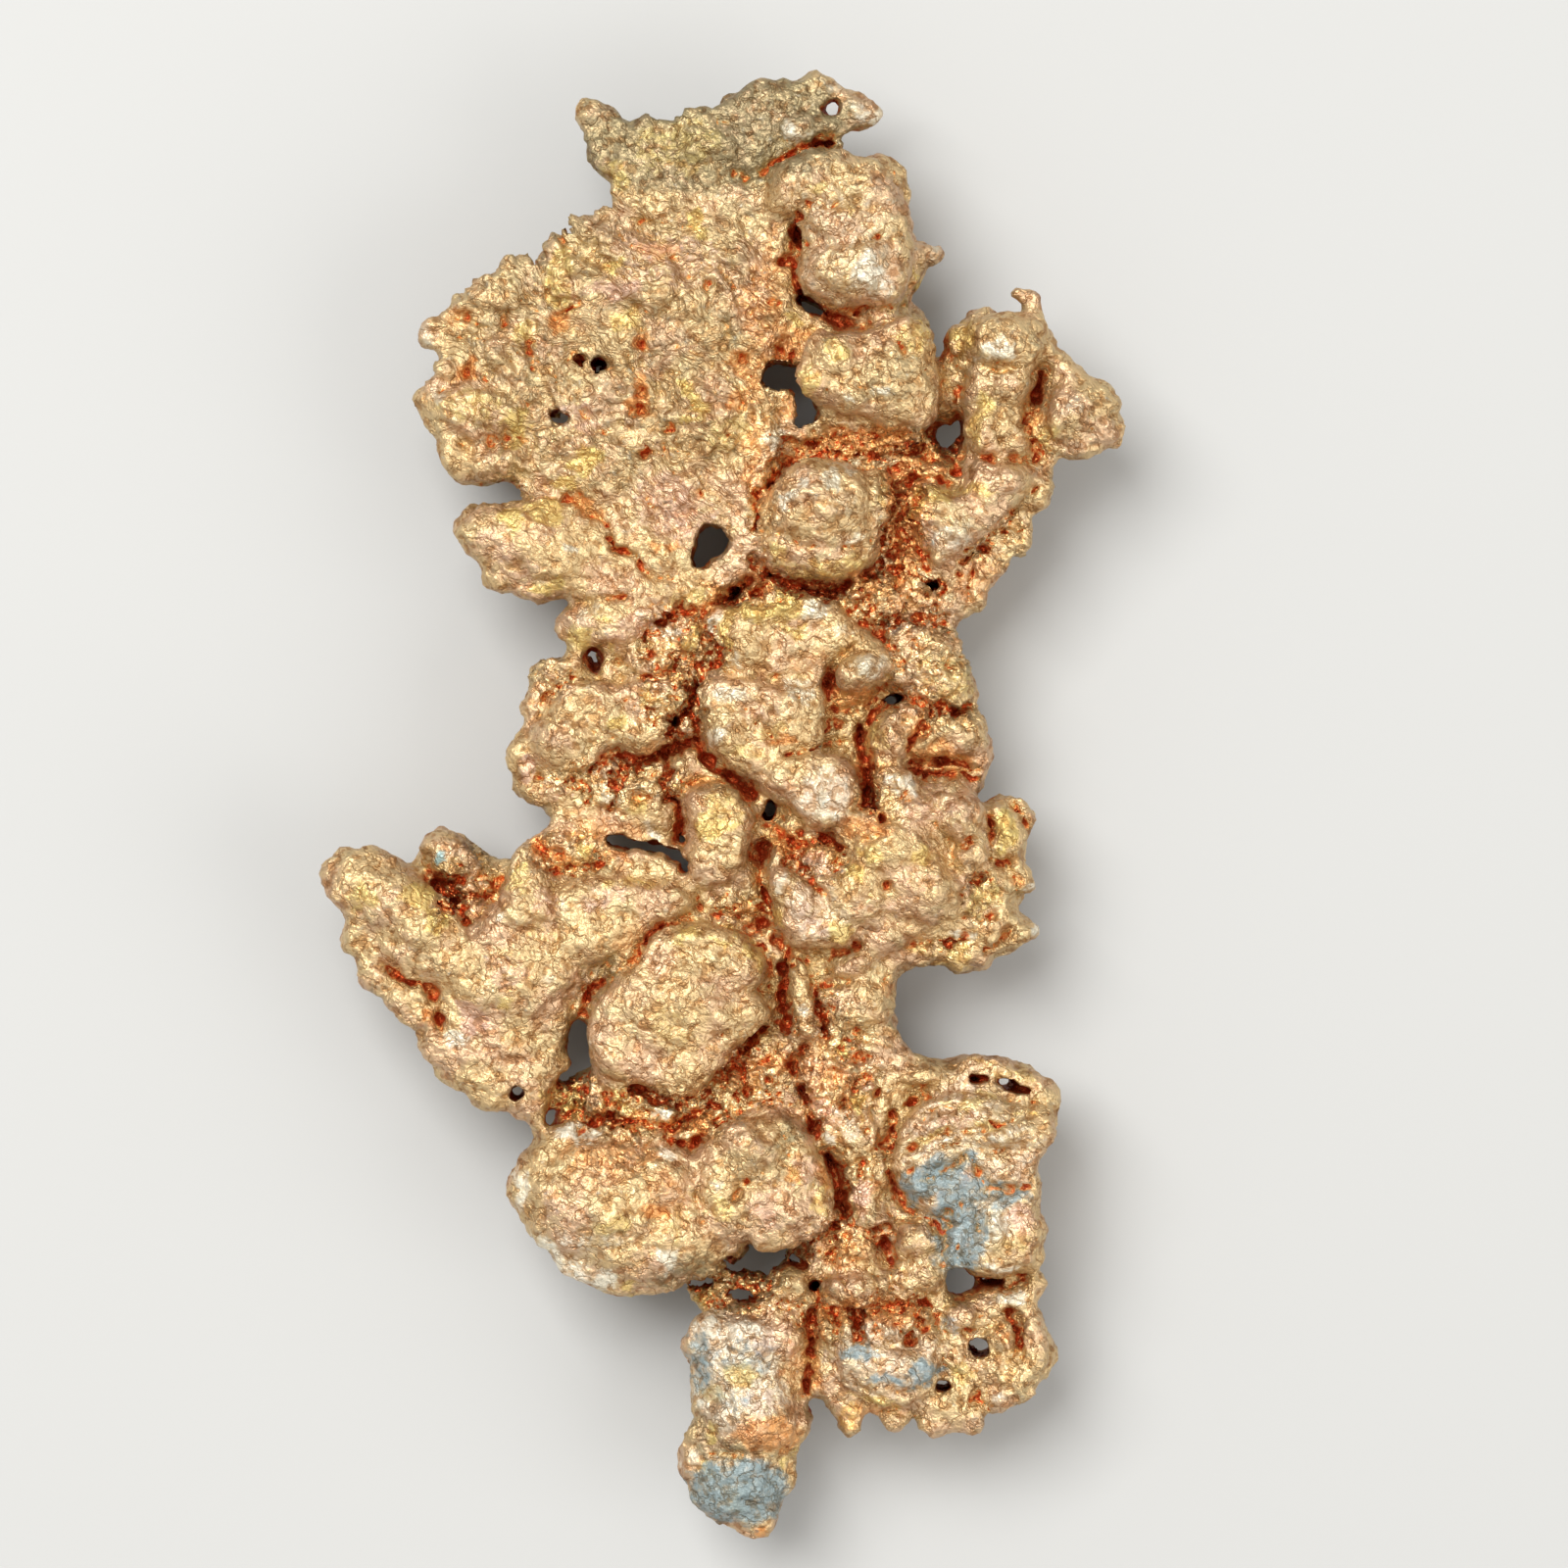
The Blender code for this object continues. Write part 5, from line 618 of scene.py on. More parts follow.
creases += [
    (1.7, 0.32, [(-17.7, -4.8), (-17.1, -5.7), (-16.4, -6.4), (-15.8, -7.1), (-15.2, -7.7)]),
    (0.8, 0.2, [(-16, -5.6), (-15.2, -5.6), (-14.2, -5.4)]),
    (0.6, 0.2, [(-16.6, -4.6), (-15.4, -4.3), (-14.4, -4.2)]),
    (0.9, 0.22, [(-13.5, -4.6), (-13.9, -5.6), (-14.6, -6.7), (-15.1, -7.4)]),
    (1.4, 0.25, [(-20.7, -9.9), (-20, -10.4), (-19.2, -10.8), (-18.2, -10.9), (-17.6, -11.2),
        (-17.5, -12), (-17.3, -12.8), (-17.4, -13.6)]),
    (1, 0.3, [(-11.5, -2.4), (-10.8, -3.4), (-10, -4.4), (-9.2, -4.2), (-8.4, -3.8), (-7.4, -3.7)]),
    (1.3, 0.2, [(-9.4, -4), (-8.8, -3.7), (-8, -3.8)]),
    (0.5, 0.22, [(-10.6, -4.8), (-9.9, -6), (-10.1, -7.2), (-10.4, -9)]),
    (0.4, 0.2, [(-7.4, -7.4), (-6.2, -6.6), (-5, -6.8)]),
    (1.2, 0.25, [(-2, -6.8), (-3.4, -7.1), (-4.6, -7.8), (-5.3, -8.7)]),
    (1.5, 0.28, [(-5.3, -8.7), (-5.9, -9.9), (-7.2, -10.9), (-8.1, -11.2), (-8.5, -12.2),
        (-8.9, -13.2)]), (0.6, 0.25, [(-6.6, -8.9), (-7.4, -10), (-8.8, -11.2), (-9.4, -12.4)]),
    (0.35, 0.18, [(-14.2, -9.9), (-13.6, -9.3), (-12.8, -9.4), (-12.3, -10.2), (-12.6, -11)]),
    (0.35, 0.18, [(-15, -10.8), (-15.1, -9.4), (-14.2, -8.5), (-12.8, -8.6)]),
    (0.4, 0.2, [(-15.6, -14.6), (-13.8, -15.6), (-12, -15.4), (-10.6, -14.6)]),
    (0.4, 0.2, [(-16.4, -15.6), (-14.8, -16.4), (-13.2, -16.4)]),
    (1, 0.28, [(-1.6, -5.2), (-1.4, -6.2), (-0.6, -6.6), (0.8, -6.8), (2, -6.6)])]
pits += [
    (-13.15, -10.3, 0.25, 1.1), (-14.6, -11.6, 0.3, 0.3), (-10.2, -3.2, 0.6, 0.8),
    (-12.9, -16.9, 0.2, 0.6), (-8.6, -11.8, 0.3, 0.8)]
gaps += [(-12.6, -17.55, 0.28, 0.38, 10), (-13.4, -4.5, 0.22, 0.22)]
patch("gold",
    (-18.5, -5.4, 1, 0.8, 1, -50), (-17.6, -7, 0.7, 1, 0.9, 20), (-22, -5.8, 0.9, 0.8, 0.8),
    (-12.2, -4.4, 0.7, 1.2, 0.8), (-8.2, -2.8, 0.7, 0.6, 0.9), (-11, -7.9, 1, 0.6, 0.5),
    (-6, -4.6, 1.6, 0.5, 0.7), (-10.8, -18.6, 0.5, 1.4, 0.7, -10), (-13.2, -11.9, 0.5, 0.6, 0.8))
patch("rose",
    (-15.4, -12.8, 1, 1.2, 1, -30), (-7.4, -5.6, 1.6, 0.8, 0.7, 20), (-13.2, -10.2, 1.4, 1.2, 0.6),
    (-10.8, -5.6, 0.7, 1.2, 0.7, -20), (-18, -13.4, 0.6, 0.6, 0.5))
patch("painted_highlight",
    (-16.1, -14.2, 0.6, 0.5, 0.9), (-13.6, -6.8, 0.5, 0.3, 0.9), (-9.8, -6, 0.3, 0.7, 0.6),
    (-10.4, -10.6, 0.8, 0.5, 0.5))
patch("teal", (-17.3, -3.3, 0.45, 0.35, 1), (-18.1, -3.7, 0.25, 0.3, 0.6))
patch("orange_and_hollow_shade",
    (-11.2, -2.4, 0.8, 0.5, 0.9, -40), (-9.8, -3.5, 1.2, 0.8, 0.9, -30),
    (-16.8, -6, 0.8, 0.5, 0.9, -50), (-15, -5.6, 1.2, 1.4, 0.5), (-17.6, -12.8, 0.5, 1, 0.8),
    (-6.4, -3.3, 1.4, 0.3, 0.8, -20), (-5.6, -7.9, 1.6, 0.6, 0.5, 30))
patch("dull", (-7.6, -10.4, 1.6, 1.2, 0.5, 40), (-21, -11.6, 1.6, 1.2, 0.4, -40))

# --- The coin-shaped plate -------------------------------------------------------------
# A round, nearly flat plate of copper, eleven millimetres across, that grew over the arm
# and the spine. Its rim stands free at the left, and its face is evenly pebbled.
leaf(8.4, 2.9, 1.4, 0.03, 0.05, [
    (-3, -7.2), (-0.6, -7.1), (1.4, -7.9), (2.5, -9.4), (2.4, -10.7), (1.4, -11.4), (2.8, -11.7),
    (3.2, -12.9), (1.7, -13.9), (0.5, -14.6), (-0.2, -16.1), (-1.6, -17.5), (-3.6, -17.7),
    (-5.4, -16.9), (-7.4, -16.6), (-8.2, -15.2), (-8.5, -13.6), (-8, -11.6), (-6.4, -10.6),
    (-5.4, -9.2), (-4.4, -7.9)])
lumps(
    (-3, -12, 9.2, 4.6, 4.2, 2.8), (-0.6, -9.4, 9.3, 2.4, 1.8, 2.4, -20),
    (-5.4, -13.6, 8.6, 2.6, 2.6, 2.4))
creases += [
    (0.5, 0.22, [(-1.4, -14.9), (0.4, -13.6), (1.8, -13.2)]),
    (0.5, 0.22, [(2.2, -10.9), (1, -11.5), (0, -11.4)]),
    (1.3, 0.28, [(2.4, -8.6), (2.9, -10), (2.8, -11.1)]),
    (1.5, 0.28, [(3.4, -12.9), (2, -14), (0.7, -14.8), (0, -16.4), (-1.4, -17.7), (-3.6, -18),
        (-5.4, -17.3)]), (0.4, 0.2, [(-2.2, -8.6), (-0.4, -8.4), (1.4, -9.4)])]
patch("gold",
    (-1.4, -7.9, 2.4, 0.4, 0.8), (1.8, -8.8, 0.5, 1.2, 0.8, 30), (-3.2, -13.6, 2.2, 1, 0.4, -20))
patch("painted_highlight", (-8.6, -14.4, 0.3, 0.5, 0.9), (-7.4, -13.5, 0.4, 0.3, 0.6))

# --- The lower middle ------------------------------------------------------------------
# Rough, hackly copper that ties the lower half together: the bed under the plate, the
# heel beside the arm's point, and the spine, a comb of thin blades down the middle.
leaf(6.2, 2.4, 1, 0, 0, [
    (-8, -15.5), (-8.5, -19.8), (-4, -21), (2, -22), (6, -25.5), (5.5, -27.3), (3.4, -28.2),
    (2.6, -29.3), (1.9, -31), (4, -33), (5, -36), (9, -36.5), (13, -35), (14, -30), (13.4, -28.2),
    (13.3, -25.8), (11, -24.2), (10.3, -22), (10.4, -20.5), (11.2, -18.6), (11.4, -17.6),
    (13.5, -16.8), (14.2, -16.4), (13.9, -15.9), (13, -15.6), (12.3, -15.7), (11.5, -15.3),
    (10.9, -14.4), (10.4, -13.5), (10.7, -12), (10.5, -10.9), (10.7, -10.2), (10.2, -9.8), (9, -8),
    (3, -7), (0, -9)])
leaf(5, 1.4, 0.7, 0, 0, [
    (-10.3, -16.9), (-9.6, -17.3), (-8.6, -17), (-7.6, -16.4), (-5, -18), (-6, -21), (-9, -20.5),
    (-10.4, -19.4), (-10.1, -18.4)])
leaf(5.2, 1, 0.5, 0, 0, [
    (-2.3, -29.6), (-0.9, -29.4), (0.4, -28.6), (2.2, -28.8), (2.4, -30.2), (1, -31.6),
    (-1.2, -31.1), (-1.8, -30.9)])
leaf(8.6, 1.8, 0.5, 0, 0, [
    (4.2, -9.2), (4.9, -9.4), (5.3, -10.6), (5.4, -12.2), (5.7, -13.4), (5.2, -14.1), (4.4, -13.6),
    (4.2, -12.2), (3.9, -11.4), (4, -10.2)])
leaf(8.2, 1.3, 0.25, 0, 0, [
    (5.8, -15.9), (6.3, -16), (6.8, -17.8), (7.6, -19.4), (8.8, -20.8), (8.4, -21.1), (7.2, -20),
    (6.3, -18.4), (5.8, -17)])
leaf(7.8, 1.4, 0.3, 0, 0, [
    (5.6, -21.8), (6.2, -22), (6.6, -23.2), (6.8, -24.8), (6.3, -25.2), (5.8, -24)])
leaf(8.2, 1.2, 0.3, 0, 0, [
    (-4.7, -18), (-4.1, -18), (-3.2, -18.8), (-3.3, -19.4), (-3.9, -19.3), (-4.4, -18.7)])
leaf(8.4, 1.2, 0.3, 0, 0, [
    (-4.3, -20.4), (-3.6, -20.6), (-2.6, -21.5), (-2.9, -21.9), (-3.7, -21.5)])
lumps(
    (5.8, -13.6, 7.2, 2.4, 3.4, 2.6), (6.8, -17.2, 7.2, 2.8, 3.4, 2.5, 12),
    (8.2, -20.6, 7.4, 2, 3.4, 2.4, 16), (8.5, -24.4, 7.4, 1.9, 3, 2.5),
    (4.9, -16.5, 8.2, 0.4, 0.8, 1.6, 30), (6, -19.2, 8, 0.5, 1.3, 1.7, 38),
    (6.2, -20.2, 8.6, 0.5, 0.4, 1.1), (7.2, -15, 8.4, 0.7, 0.35, 1.4, 10),
    (8.8, -17.2, 8.8, 0.5, 0.5, 1.2), (8, -18, 8.6, 0.35, 0.9, 1.5, 10),
    (9.4, -15.4, 7.2, 1.4, 2, 2), (9.6, -22.2, 8.2, 0.9, 1.3, 2.2), (8.4, -23.6, 8, 1, 1.6, 2.1),
    (9.2, -25.2, 8.4, 1.3, 0.8, 2.2, -20), (8.2, -27.4, 7.8, 1.6, 1.6, 2.3),
    (11.9, -26.6, 8.2, 1.5, 1.7, 2.5), (12.2, -28.6, 8, 1.4, 1.2, 2.3),
    (10.6, -29.2, 8, 1.2, 1.2, 2.2), (7.9, -29.4, 8.6, 1.9, 1.1, 2.3),
    (4.4, -29.4, 7.8, 1.6, 1.2, 2), (-6, -18.2, 6.9, 0.4, 1.7, 2, 40),
    (-1.8, -18.2, 7, 1.6, 1.1, 1.9, 20), (0.6, -17, 7, 1.6, 1.2, 2, 30),
    (2.8, -16.4, 7.4, 1.6, 1.4, 2.1), (2.6, -18.2, 7.8, 1.6, 0.5, 1.8, 10),
    (-9.4, -18.2, 5.8, 0.9, 1.1, 1.3), (-6.4, -20.2, 7.4, 1.6, 0.5, 1.8, -10),
    (-2, -19, 7.4, 1.2, 0.35, 1.7, 30))
creases += [
    (2.2, 0.28, [(4.2, -8.8), (4.1, -9.6), (3.7, -10.1), (3.8, -10.9), (3.6, -11.6), (3.8, -12.4)]),
    (2.6, 0.38, [(3.8, -12.4), (4, -12.9), (3.8, -13.6)]),
    (2, 0.26, [(5.5, -11.1), (5.8, -12), (6.1, -12.9), (6.2, -14.2)]),
    (2, 0.28, [(4.8, -14.7), (4.7, -15.3), (4.3, -16.1)]),
    (2.2, 0.28, [(4.6, -17.1), (4.9, -17.7), (5.1, -18.4)]),
    (1.8, 0.24, [(5.3, -19), (5.5, -19.6), (5.6, -20.2)]),
    (2.6, 0.36, [(6.2, -21.4), (6.7, -22.3), (7.1, -22.9), (7.2, -23.6), (7.1, -24.2),
        (7.4, -24.9)]), (1.2, 0.22, [(8.2, -16.7), (7.8, -17.2), (7.5, -17.8), (7.3, -18.5)]),
    (1, 0.2, [(8.4, -17.8), (8.3, -17.1), (8.8, -16.6), (9.3, -17), (9.3, -17.8)]),
    (1, 0.22, [(8.4, -22.6), (8.5, -21.6), (9.2, -21), (9.9, -20.7)]),
    (1.2, 0.24, [(9.9, -26.4), (10, -27.6), (10.2, -28.6), (10.4, -29.5)]),
    (0.9, 0.22, [(7.4, -25.2), (9, -25.6), (10.2, -25.8), (10.8, -26.4)]),
    (1.6, 0.28, [(5.6, -29.4), (5.9, -30.2), (5.7, -31)]),
    (1.7, 0.34, [(-8.6, -19.9), (-7, -19.2), (-5.4, -19.5), (-3.8, -19.8), (-2.8, -19.5),
        (-1.6, -18.7), (-0.8, -18.4)]),
    (1.6, 0.34, [(-3.6, -20.2), (-2.6, -20.3), (-1.8, -20.9), (-1.2, -20.3)]),
    (1.2, 0.26, [(-0.6, -19.4), (0.4, -18.7), (1.6, -18.3), (3.2, -18.4), (4.6, -18.7)]),
    (1, 0.24, [(-7.8, -17), (-7, -18), (-6.4, -19)]),
    (1, 0.24, [(0.2, -15.6), (1.2, -16.4), (2.4, -15.6), (3.6, -14.6)])]
pits += [
    (1.3, -14.9, 0.5, 1.8), (1.5, -17.4, 0.4, 1.9), (8.2, -15.2, 0.4, 1.5), (7.4, -15.5, 0.25, 1.2),
    (9.3, -18.9, 0.2, 1), (8.6, -19.7, 0.4, 1.3), (9.9, -20.8, 0.2, 0.8), (3.4, -18.2, 0.25, 0.9),
    (-8.6, -17.7, 0.4, 1.2), (-8.1, -19.7, 0.25, 1.2), (-5, -18.2, 0.25, 0.9),
    (9.9, -10.4, 0.4, 0.8)]
gaps += [(5.65, -29.45, 0.26, 0.26), (-0.7, -29.2, 0.5, 0.24, 10)]
patch("orange_and_hollow_shade",
    (-2, -19.4, 1.8, 0.9, 1, 20), (-5.6, -19.2, 2.8, 0.8, 0.7), (3.4, -15.8, 1.6, 0.8, 0.7, -20),
    (3.4, -12, 0.5, 0.9, 0.8), (6.2, -22.6, 0.5, 1.2, 0.8, 10), (7.6, -26.8, 2.2, 1.4, 0.6),
    (9.8, -23, 0.8, 0.8, 0.6), (1.2, -16.4, 1.6, 1.4, 0.6), (10, -11.2, 0.4, 0.5, 0.8))
patch("gold",
    (7.3, -15, 0.6, 0.4, 1, 10), (8, -18.3, 0.4, 0.8, 1), (-6.2, -18.2, 1.2, 0.5, 0.7, -50),
    (-9.4, -18.2, 0.9, 1.2, 0.8), (1.2, -30.4, 1.6, 0.8, 0.5), (-1.4, -30.2, 0.9, 0.7, 0.7))
patch("chalk",
    (4.8, -12.4, 0.5, 0.8, 0.8), (-3.9, -18.7, 0.6, 0.5, 1, -40), (-3.3, -21.4, 0.7, 0.4, 0.9, -40),
    (6.3, -20.2, 0.5, 0.4, 0.9), (7.4, -19.4, 0.6, 1.4, 0.6, 38))
patch("rose",
    (8.6, -23.6, 0.7, 1.3, 0.9), (8.8, -17.1, 0.5, 0.4, 0.9), (6, -18.6, 0.6, 1.4, 0.6, 35),
    (5.2, -22, 0.9, 0.8, 0.7), (11, -28, 2.4, 2.2, 0.4))

# --- The fused lumps at the lower left -------------------------------------------------
# The largest swelling of the nugget, a fat lobe with a smaller one grown onto its right
# side. Both are solid copper, and the lobe's outer rim has a chalky white crust.
leaf(7.4, 2.6, 1.4, 0, 0, [
    (-8.2, -19.6), (-9.5, -19.5), (-10.8, -19.8), (-12, -20.8), (-12.8, -22), (-13.2, -23),
    (-13.3, -23.8), (-12.8, -24.5), (-12.1, -25.2), (-11.7, -26.2), (-11.3, -26.9), (-10.4, -27.2),
    (-10.2, -28), (-9.9, -28.5), (-9, -29.1), (-7.8, -29.7), (-6.4, -30.2), (-5, -30),
    (-3.2, -29.8), (-2.2, -29.2), (-1, -28.9), (0, -28.2), (1, -27.5), (1.6, -26.7), (2.4, -27.4),
    (3.5, -27.2), (4.3, -26.7), (5.5, -26), (6.5, -25.5), (6.9, -24.5), (6.7, -23.2), (6.2, -21.8),
    (5.4, -20.3), (4.6, -19.2), (2.5, -18.3), (0, -18.7)])
leaf(8.6, 3, 1.5, 0, 0, [
    (-1.7, -21.4), (-0.7, -19.9), (0.9, -19), (2.8, -18.8), (4.6, -19.2), (5.4, -20.4),
    (5.9, -21.6), (6.6, -23.4), (6.7, -24.9), (5.6, -26.1), (4.2, -26.9), (2.6, -27.3),
    (1.6, -26.6), (0, -26.4), (-1.4, -25), (-2, -23)])
lumps(
    (-7.4, -24.2, 8.4, 5, 4.2, 4, -8), (-5.4, -26.4, 8.2, 4.6, 3.2, 3.7),
    (-9.6, -23.4, 7.9, 3.2, 3.2, 3.2), (-2.4, -25.8, 8.2, 3.6, 3, 3.5, 20),
    (-3.6, -23.2, 8.4, 3, 2.6, 3.4), (-6.8, -24.9, 9.8, 1.9, 1.6, 2.9),
    (1.7, -20.9, 10.2, 2, 1.5, 2.3, -10), (-0.2, -24.5, 9.4, 1, 1.1, 2.4),
    (-0.6, -22.9, 9.4, 1, 1.2, 2.4), (4, -24.8, 9.4, 2.2, 1.7, 2.6, 20),
    (5, -22.4, 9.2, 1.2, 1, 2.3), (2.6, -24, 9.6, 1, 0.8, 2.3))
creases += [
    (0.8, 0.25, [(3.8, -21.7), (2.8, -22.2), (1.9, -22.6), (1, -23.3), (0.8, -24.2), (1.3, -25),
        (1, -26), (1.2, -26.8)]), (0.5, 0.22, [(3.8, -20), (4, -20.9), (3.8, -21.7)]),
    (0.6, 0.22, [(2, -23.1), (3, -23), (3.6, -22.5), (4.2, -22.9)]),
    (0.6, 0.22, [(6.4, -24.9), (5.5, -25.2), (5, -25.8), (4.6, -26.6)]),
    (0.6, 0.22, [(5, -21.4), (5.6, -22.4), (5.6, -23.6), (5.8, -24.8)]),
    (0.5, 0.22, [(-1.8, -21.6), (-1.5, -22.6), (-1.5, -24), (-1, -25.2), (0, -25.7)]),
    (0.5, 0.2, [(-5.9, -23.4), (-5.9, -24.4), (-5.5, -25.2)]),
    (0.4, 0.2, [(-8.6, -24), (-7.4, -23.4), (-6.2, -23.2)]),
    (0.4, 0.2, [(-8, -26.4), (-6.4, -27), (-4.8, -26.6)])]
pits += [
    (4.4, -22.3, 0.5, 1.3), (-3.9, -24.8, 0.9, 0.5), (1.4, -26.2, 0.3, 1.4),
    (-5.2, -24.2, 0.5, 0.35)]
gaps += [
    (0.2, -27.75, 0.75, 0.16, 32), (1.7, -27.2, 0.55, 0.18, -45), (2.8, -27.6, 1.1, 0.08, 12),
    (4.7, -28.05, 0.75, 0.18, -25), (1.15, -30.15, 1.05, 0.32, -5), (-1.3, -29.3, 0.8, 0.15, 5)]
patch("chalk",
    (-9, -20, 1.4, 0.5, 1, 5), (-12.4, -23.6, 0.6, 1.6, 0.7), (-10.8, -27.2, 1, 1.4, 0.9, 40),
    (-9.2, -28.6, 1.2, 0.7, 0.9, -40), (-7.2, -29, 0.9, 0.7, 1, -10), (-9, -26.2, 0.6, 0.8, 0.6))
patch("painted_highlight",
    (-3.4, -27.6, 0.6, 0.6, 1, 15), (-3, -26.8, 0.8, 0.4, 0.7, 30), (-0.4, -23.1, 0.5, 0.4, 0.8),
    (-6.8, -26.4, 1.4, 0.6, 0.4, 10))
patch("orange_and_hollow_shade",
    (-3.9, -24.8, 1.1, 0.6, 1), (-6.6, -21.2, 3.6, 1, 0.6), (-3.4, -23.4, 1.2, 1.4, 0.5),
    (4.3, -22.4, 0.5, 0.5, 0.9), (-8.4, -22.6, 1.8, 0.9, 0.4))
patch("gold",
    (-6.8, -25.5, 1.3, 0.8, 0.7, 10), (-5.6, -29.3, 0.6, 0.6, 0.9), (-0.2, -24.6, 0.8, 0.9, 0.6),
    (-2.6, -24.8, 0.8, 1.8, 0.4, -20), (6.1, -24, 0.4, 1.2, 0.7), (4.4, -22.2, 0.3, 0.3, 0.8))
patch("rose",
    (1.8, -20.6, 1.2, 0.8, 0.5), (2.6, -24.6, 1.4, 1.2, 0.5), (-9.6, -24.2, 1.6, 1.2, 0.4),
    (4.8, -21.8, 0.8, 0.8, 0.7), (-4.6, -27.4, 1, 0.6, 0.5))
patch("dull",
    (2.2, -21.4, 2.6, 2, 0.4), (-2, -28.2, 3, 1, 0.6, 12), (4.2, -19.6, 1.4, 0.8, 0.7, -20))

# --- The curled lump -------------------------------------------------------------------
# A lump at the right whose top is folded into arcs, like cloth pushed together, with a
# free loop of copper over it. Blue-grey oxide fills the flat between its folds.
leaf(6.9, 2.3, 1.1, 0, 0, [
    (10.4, -20.6), (10.7, -19), (12, -17.9), (13.8, -17.1), (14.1, -16.4), (14.5, -15.3),
    (15, -15.5), (16.4, -15.6), (17.4, -15.4), (18, -15.8), (18.8, -15.9), (19.5, -16.7),
    (20.3, -17.4), (20.4, -18.5), (20.5, -19.7), (20.2, -20.6), (19.3, -20.8), (19.5, -21.8),
    (19.2, -22.7), (19.6, -23.2), (19.2, -23.9), (19.2, -24.6), (19.5, -25.2), (19.3, -26.3),
    (19.1, -27.4), (18.9, -28.1), (17.8, -28.6), (16.4, -29), (15.5, -28.8), (14.8, -28.2),
    (13.5, -28.2), (12, -27), (10.4, -24), (10.2, -22.2)])
leaf(8.4, 2.6, 1, 0, 0, [
    (11, -19.4), (12.2, -18.1), (13.8, -17.5), (15.4, -17.6), (17, -18.1), (18.8, -18.4),
    (20.1, -18.4), (20.4, -19.6), (19.8, -20.8), (19.2, -21.4), (19.2, -22.8), (19.5, -23.6),
    (19.2, -24.6), (19.5, -26), (19.1, -27.8), (17.6, -28.2), (15.8, -28.7), (14.2, -28.1),
    (13.4, -28.2), (13.4, -25), (12, -24.6), (10.8, -23.2), (10.4, -21.4)])
leaf(8, 0.9, 0.35, 0, 0, [
    (14.2, -16.5), (14.5, -15.4), (16, -15.4), (17.6, -15.6), (18.8, -16.1), (19.8, -16.9),
    (20.4, -18), (20.4, -19.2), (19.8, -19.2), (19.6, -18), (18.6, -17.3), (17.2, -16.8),
    (15.6, -16.5), (14.8, -16.9)])
lumps(
    (12.8, -21.2, 9.4, 1.9, 0.8, 2.5, 28), (16.8, -20, 9.3, 2.8, 0.9, 2.6, 8),
    (13.4, -19.3, 9.3, 2.2, 0.7, 2.5, 20), (15.6, -18.9, 9.4, 2.2, 0.6, 2.3, -15),
    (18.6, -19.4, 8.8, 1.5, 1, 2.3), (16.8, -21.8, 9.2, 1.9, 1, 2.3),
    (11.6, -22.2, 9, 0.9, 1.2, 2.2), (16.5, -25.6, 9.8, 0.8, 1.7, 1.9, 5),
    (18, -25.4, 9, 1.2, 1.4, 2.3), (14.65, -22.8, 10.2, 0.4, 0.8, 1.3, -5),
    (12.7, -23.8, 9.6, 0.6, 0.7, 1.5), (17.8, -22.6, 9, 1, 0.8, 2.2),
    (18.7, -27.4, 7.9, 0.8, 1, 1.7), (12.6, -16.6, 8, 1.4, 0.7, 1.6),
    (19, -23.9, 7.9, 0.6, 0.5, 1.4), (13.4, -26, 9, 0.5, 0.7, 1.7))
creases += [
    (0.7, 0.24, [(11.2, -18.6), (12.4, -17.9), (13.8, -17.5), (15.2, -17.6), (16.8, -18),
        (18.4, -18.2), (20.1, -18.2)]),
    (0.9, 0.24, [(10.9, -20.2), (11.6, -19.1), (13, -18.5), (14.6, -18.3), (15.8, -18.9),
        (17, -19.4), (18.6, -18.9), (20.2, -18.8)]),
    (0.7, 0.24, [(11.1, -21.2), (12, -20.3), (13.2, -19.9), (14.8, -19.8), (15.9, -19.6)]),
    (0.8, 0.24, [(11.4, -22.3), (12.1, -21.4), (13.4, -20.8), (14.8, -20.6), (15.4, -21),
        (16.6, -21), (18.6, -20.8)]),
    (1, 0.28, [(12, -22.5), (13.2, -22.1), (14.2, -22), (15, -21.4), (15.6, -22.4), (16.2, -23.4),
        (17.4, -23.6), (18.8, -23.2)]),
    (0.7, 0.3, [(14.6, -23.8), (14.6, -25.4), (14.4, -27), (14.6, -28.2)]),
    (0.5, 0.22, [(15.7, -24.2), (15.6, -25.6), (15.9, -27), (16.8, -27.6)]),
    (0.5, 0.22, [(17.2, -24.2), (17.4, -25.6), (17, -27)]),
    (1.4, 0.26, [(10.6, -18.6), (10.4, -19.8), (10.5, -20.8), (10.2, -21.6), (10.2, -22.4),
        (10.5, -23.2), (10.8, -24), (11.4, -24.7), (12.6, -25), (13.3, -26.2)]),
    (1, 0.22, [(13.6, -24.6), (13.5, -26.2), (13.6, -28)])]
pits += [(10.3, -21.3, 0.3, 2.4), (10.8, -23.7, 0.3, 2)]
gaps += [
    (15.75, -16.75, 0.8, 0.18), (17.3, -17, 0.9, 0.16, -20), (18.8, -17.6, 0.9, 0.12, -20),
    (11.35, -18.15, 0.36, 0.2, 20)]
patch("blue",
    (13.1, -22.5, 1.6, 0.8, 1, 20), (14.8, -21.2, 0.4, 0.6, 1), (14.4, -25.8, 1.3, 2.9, 1, 4),
    (17.4, -23.6, 1.5, 0.5, 0.9), (11.3, -23.5, 0.8, 1, 1, 30), (15.7, -22.9, 0.5, 0.9, 0.9, -20),
    (10, -27.4, 0.35, 1.4, 0.7, 5))
patch("chalk",
    (14.6, -27.8, 0.7, 0.7, 0.9), (13.4, -22.2, 0.9, 0.4, 0.7), (17.2, -28.2, 1.2, 0.3, 0.8),
    (14.4, -25.2, 0.6, 1.2, 0.6), (12, -22.6, 0.5, 0.4, 0.5), (18.3, -23.2, 0.7, 0.4, 0.6))
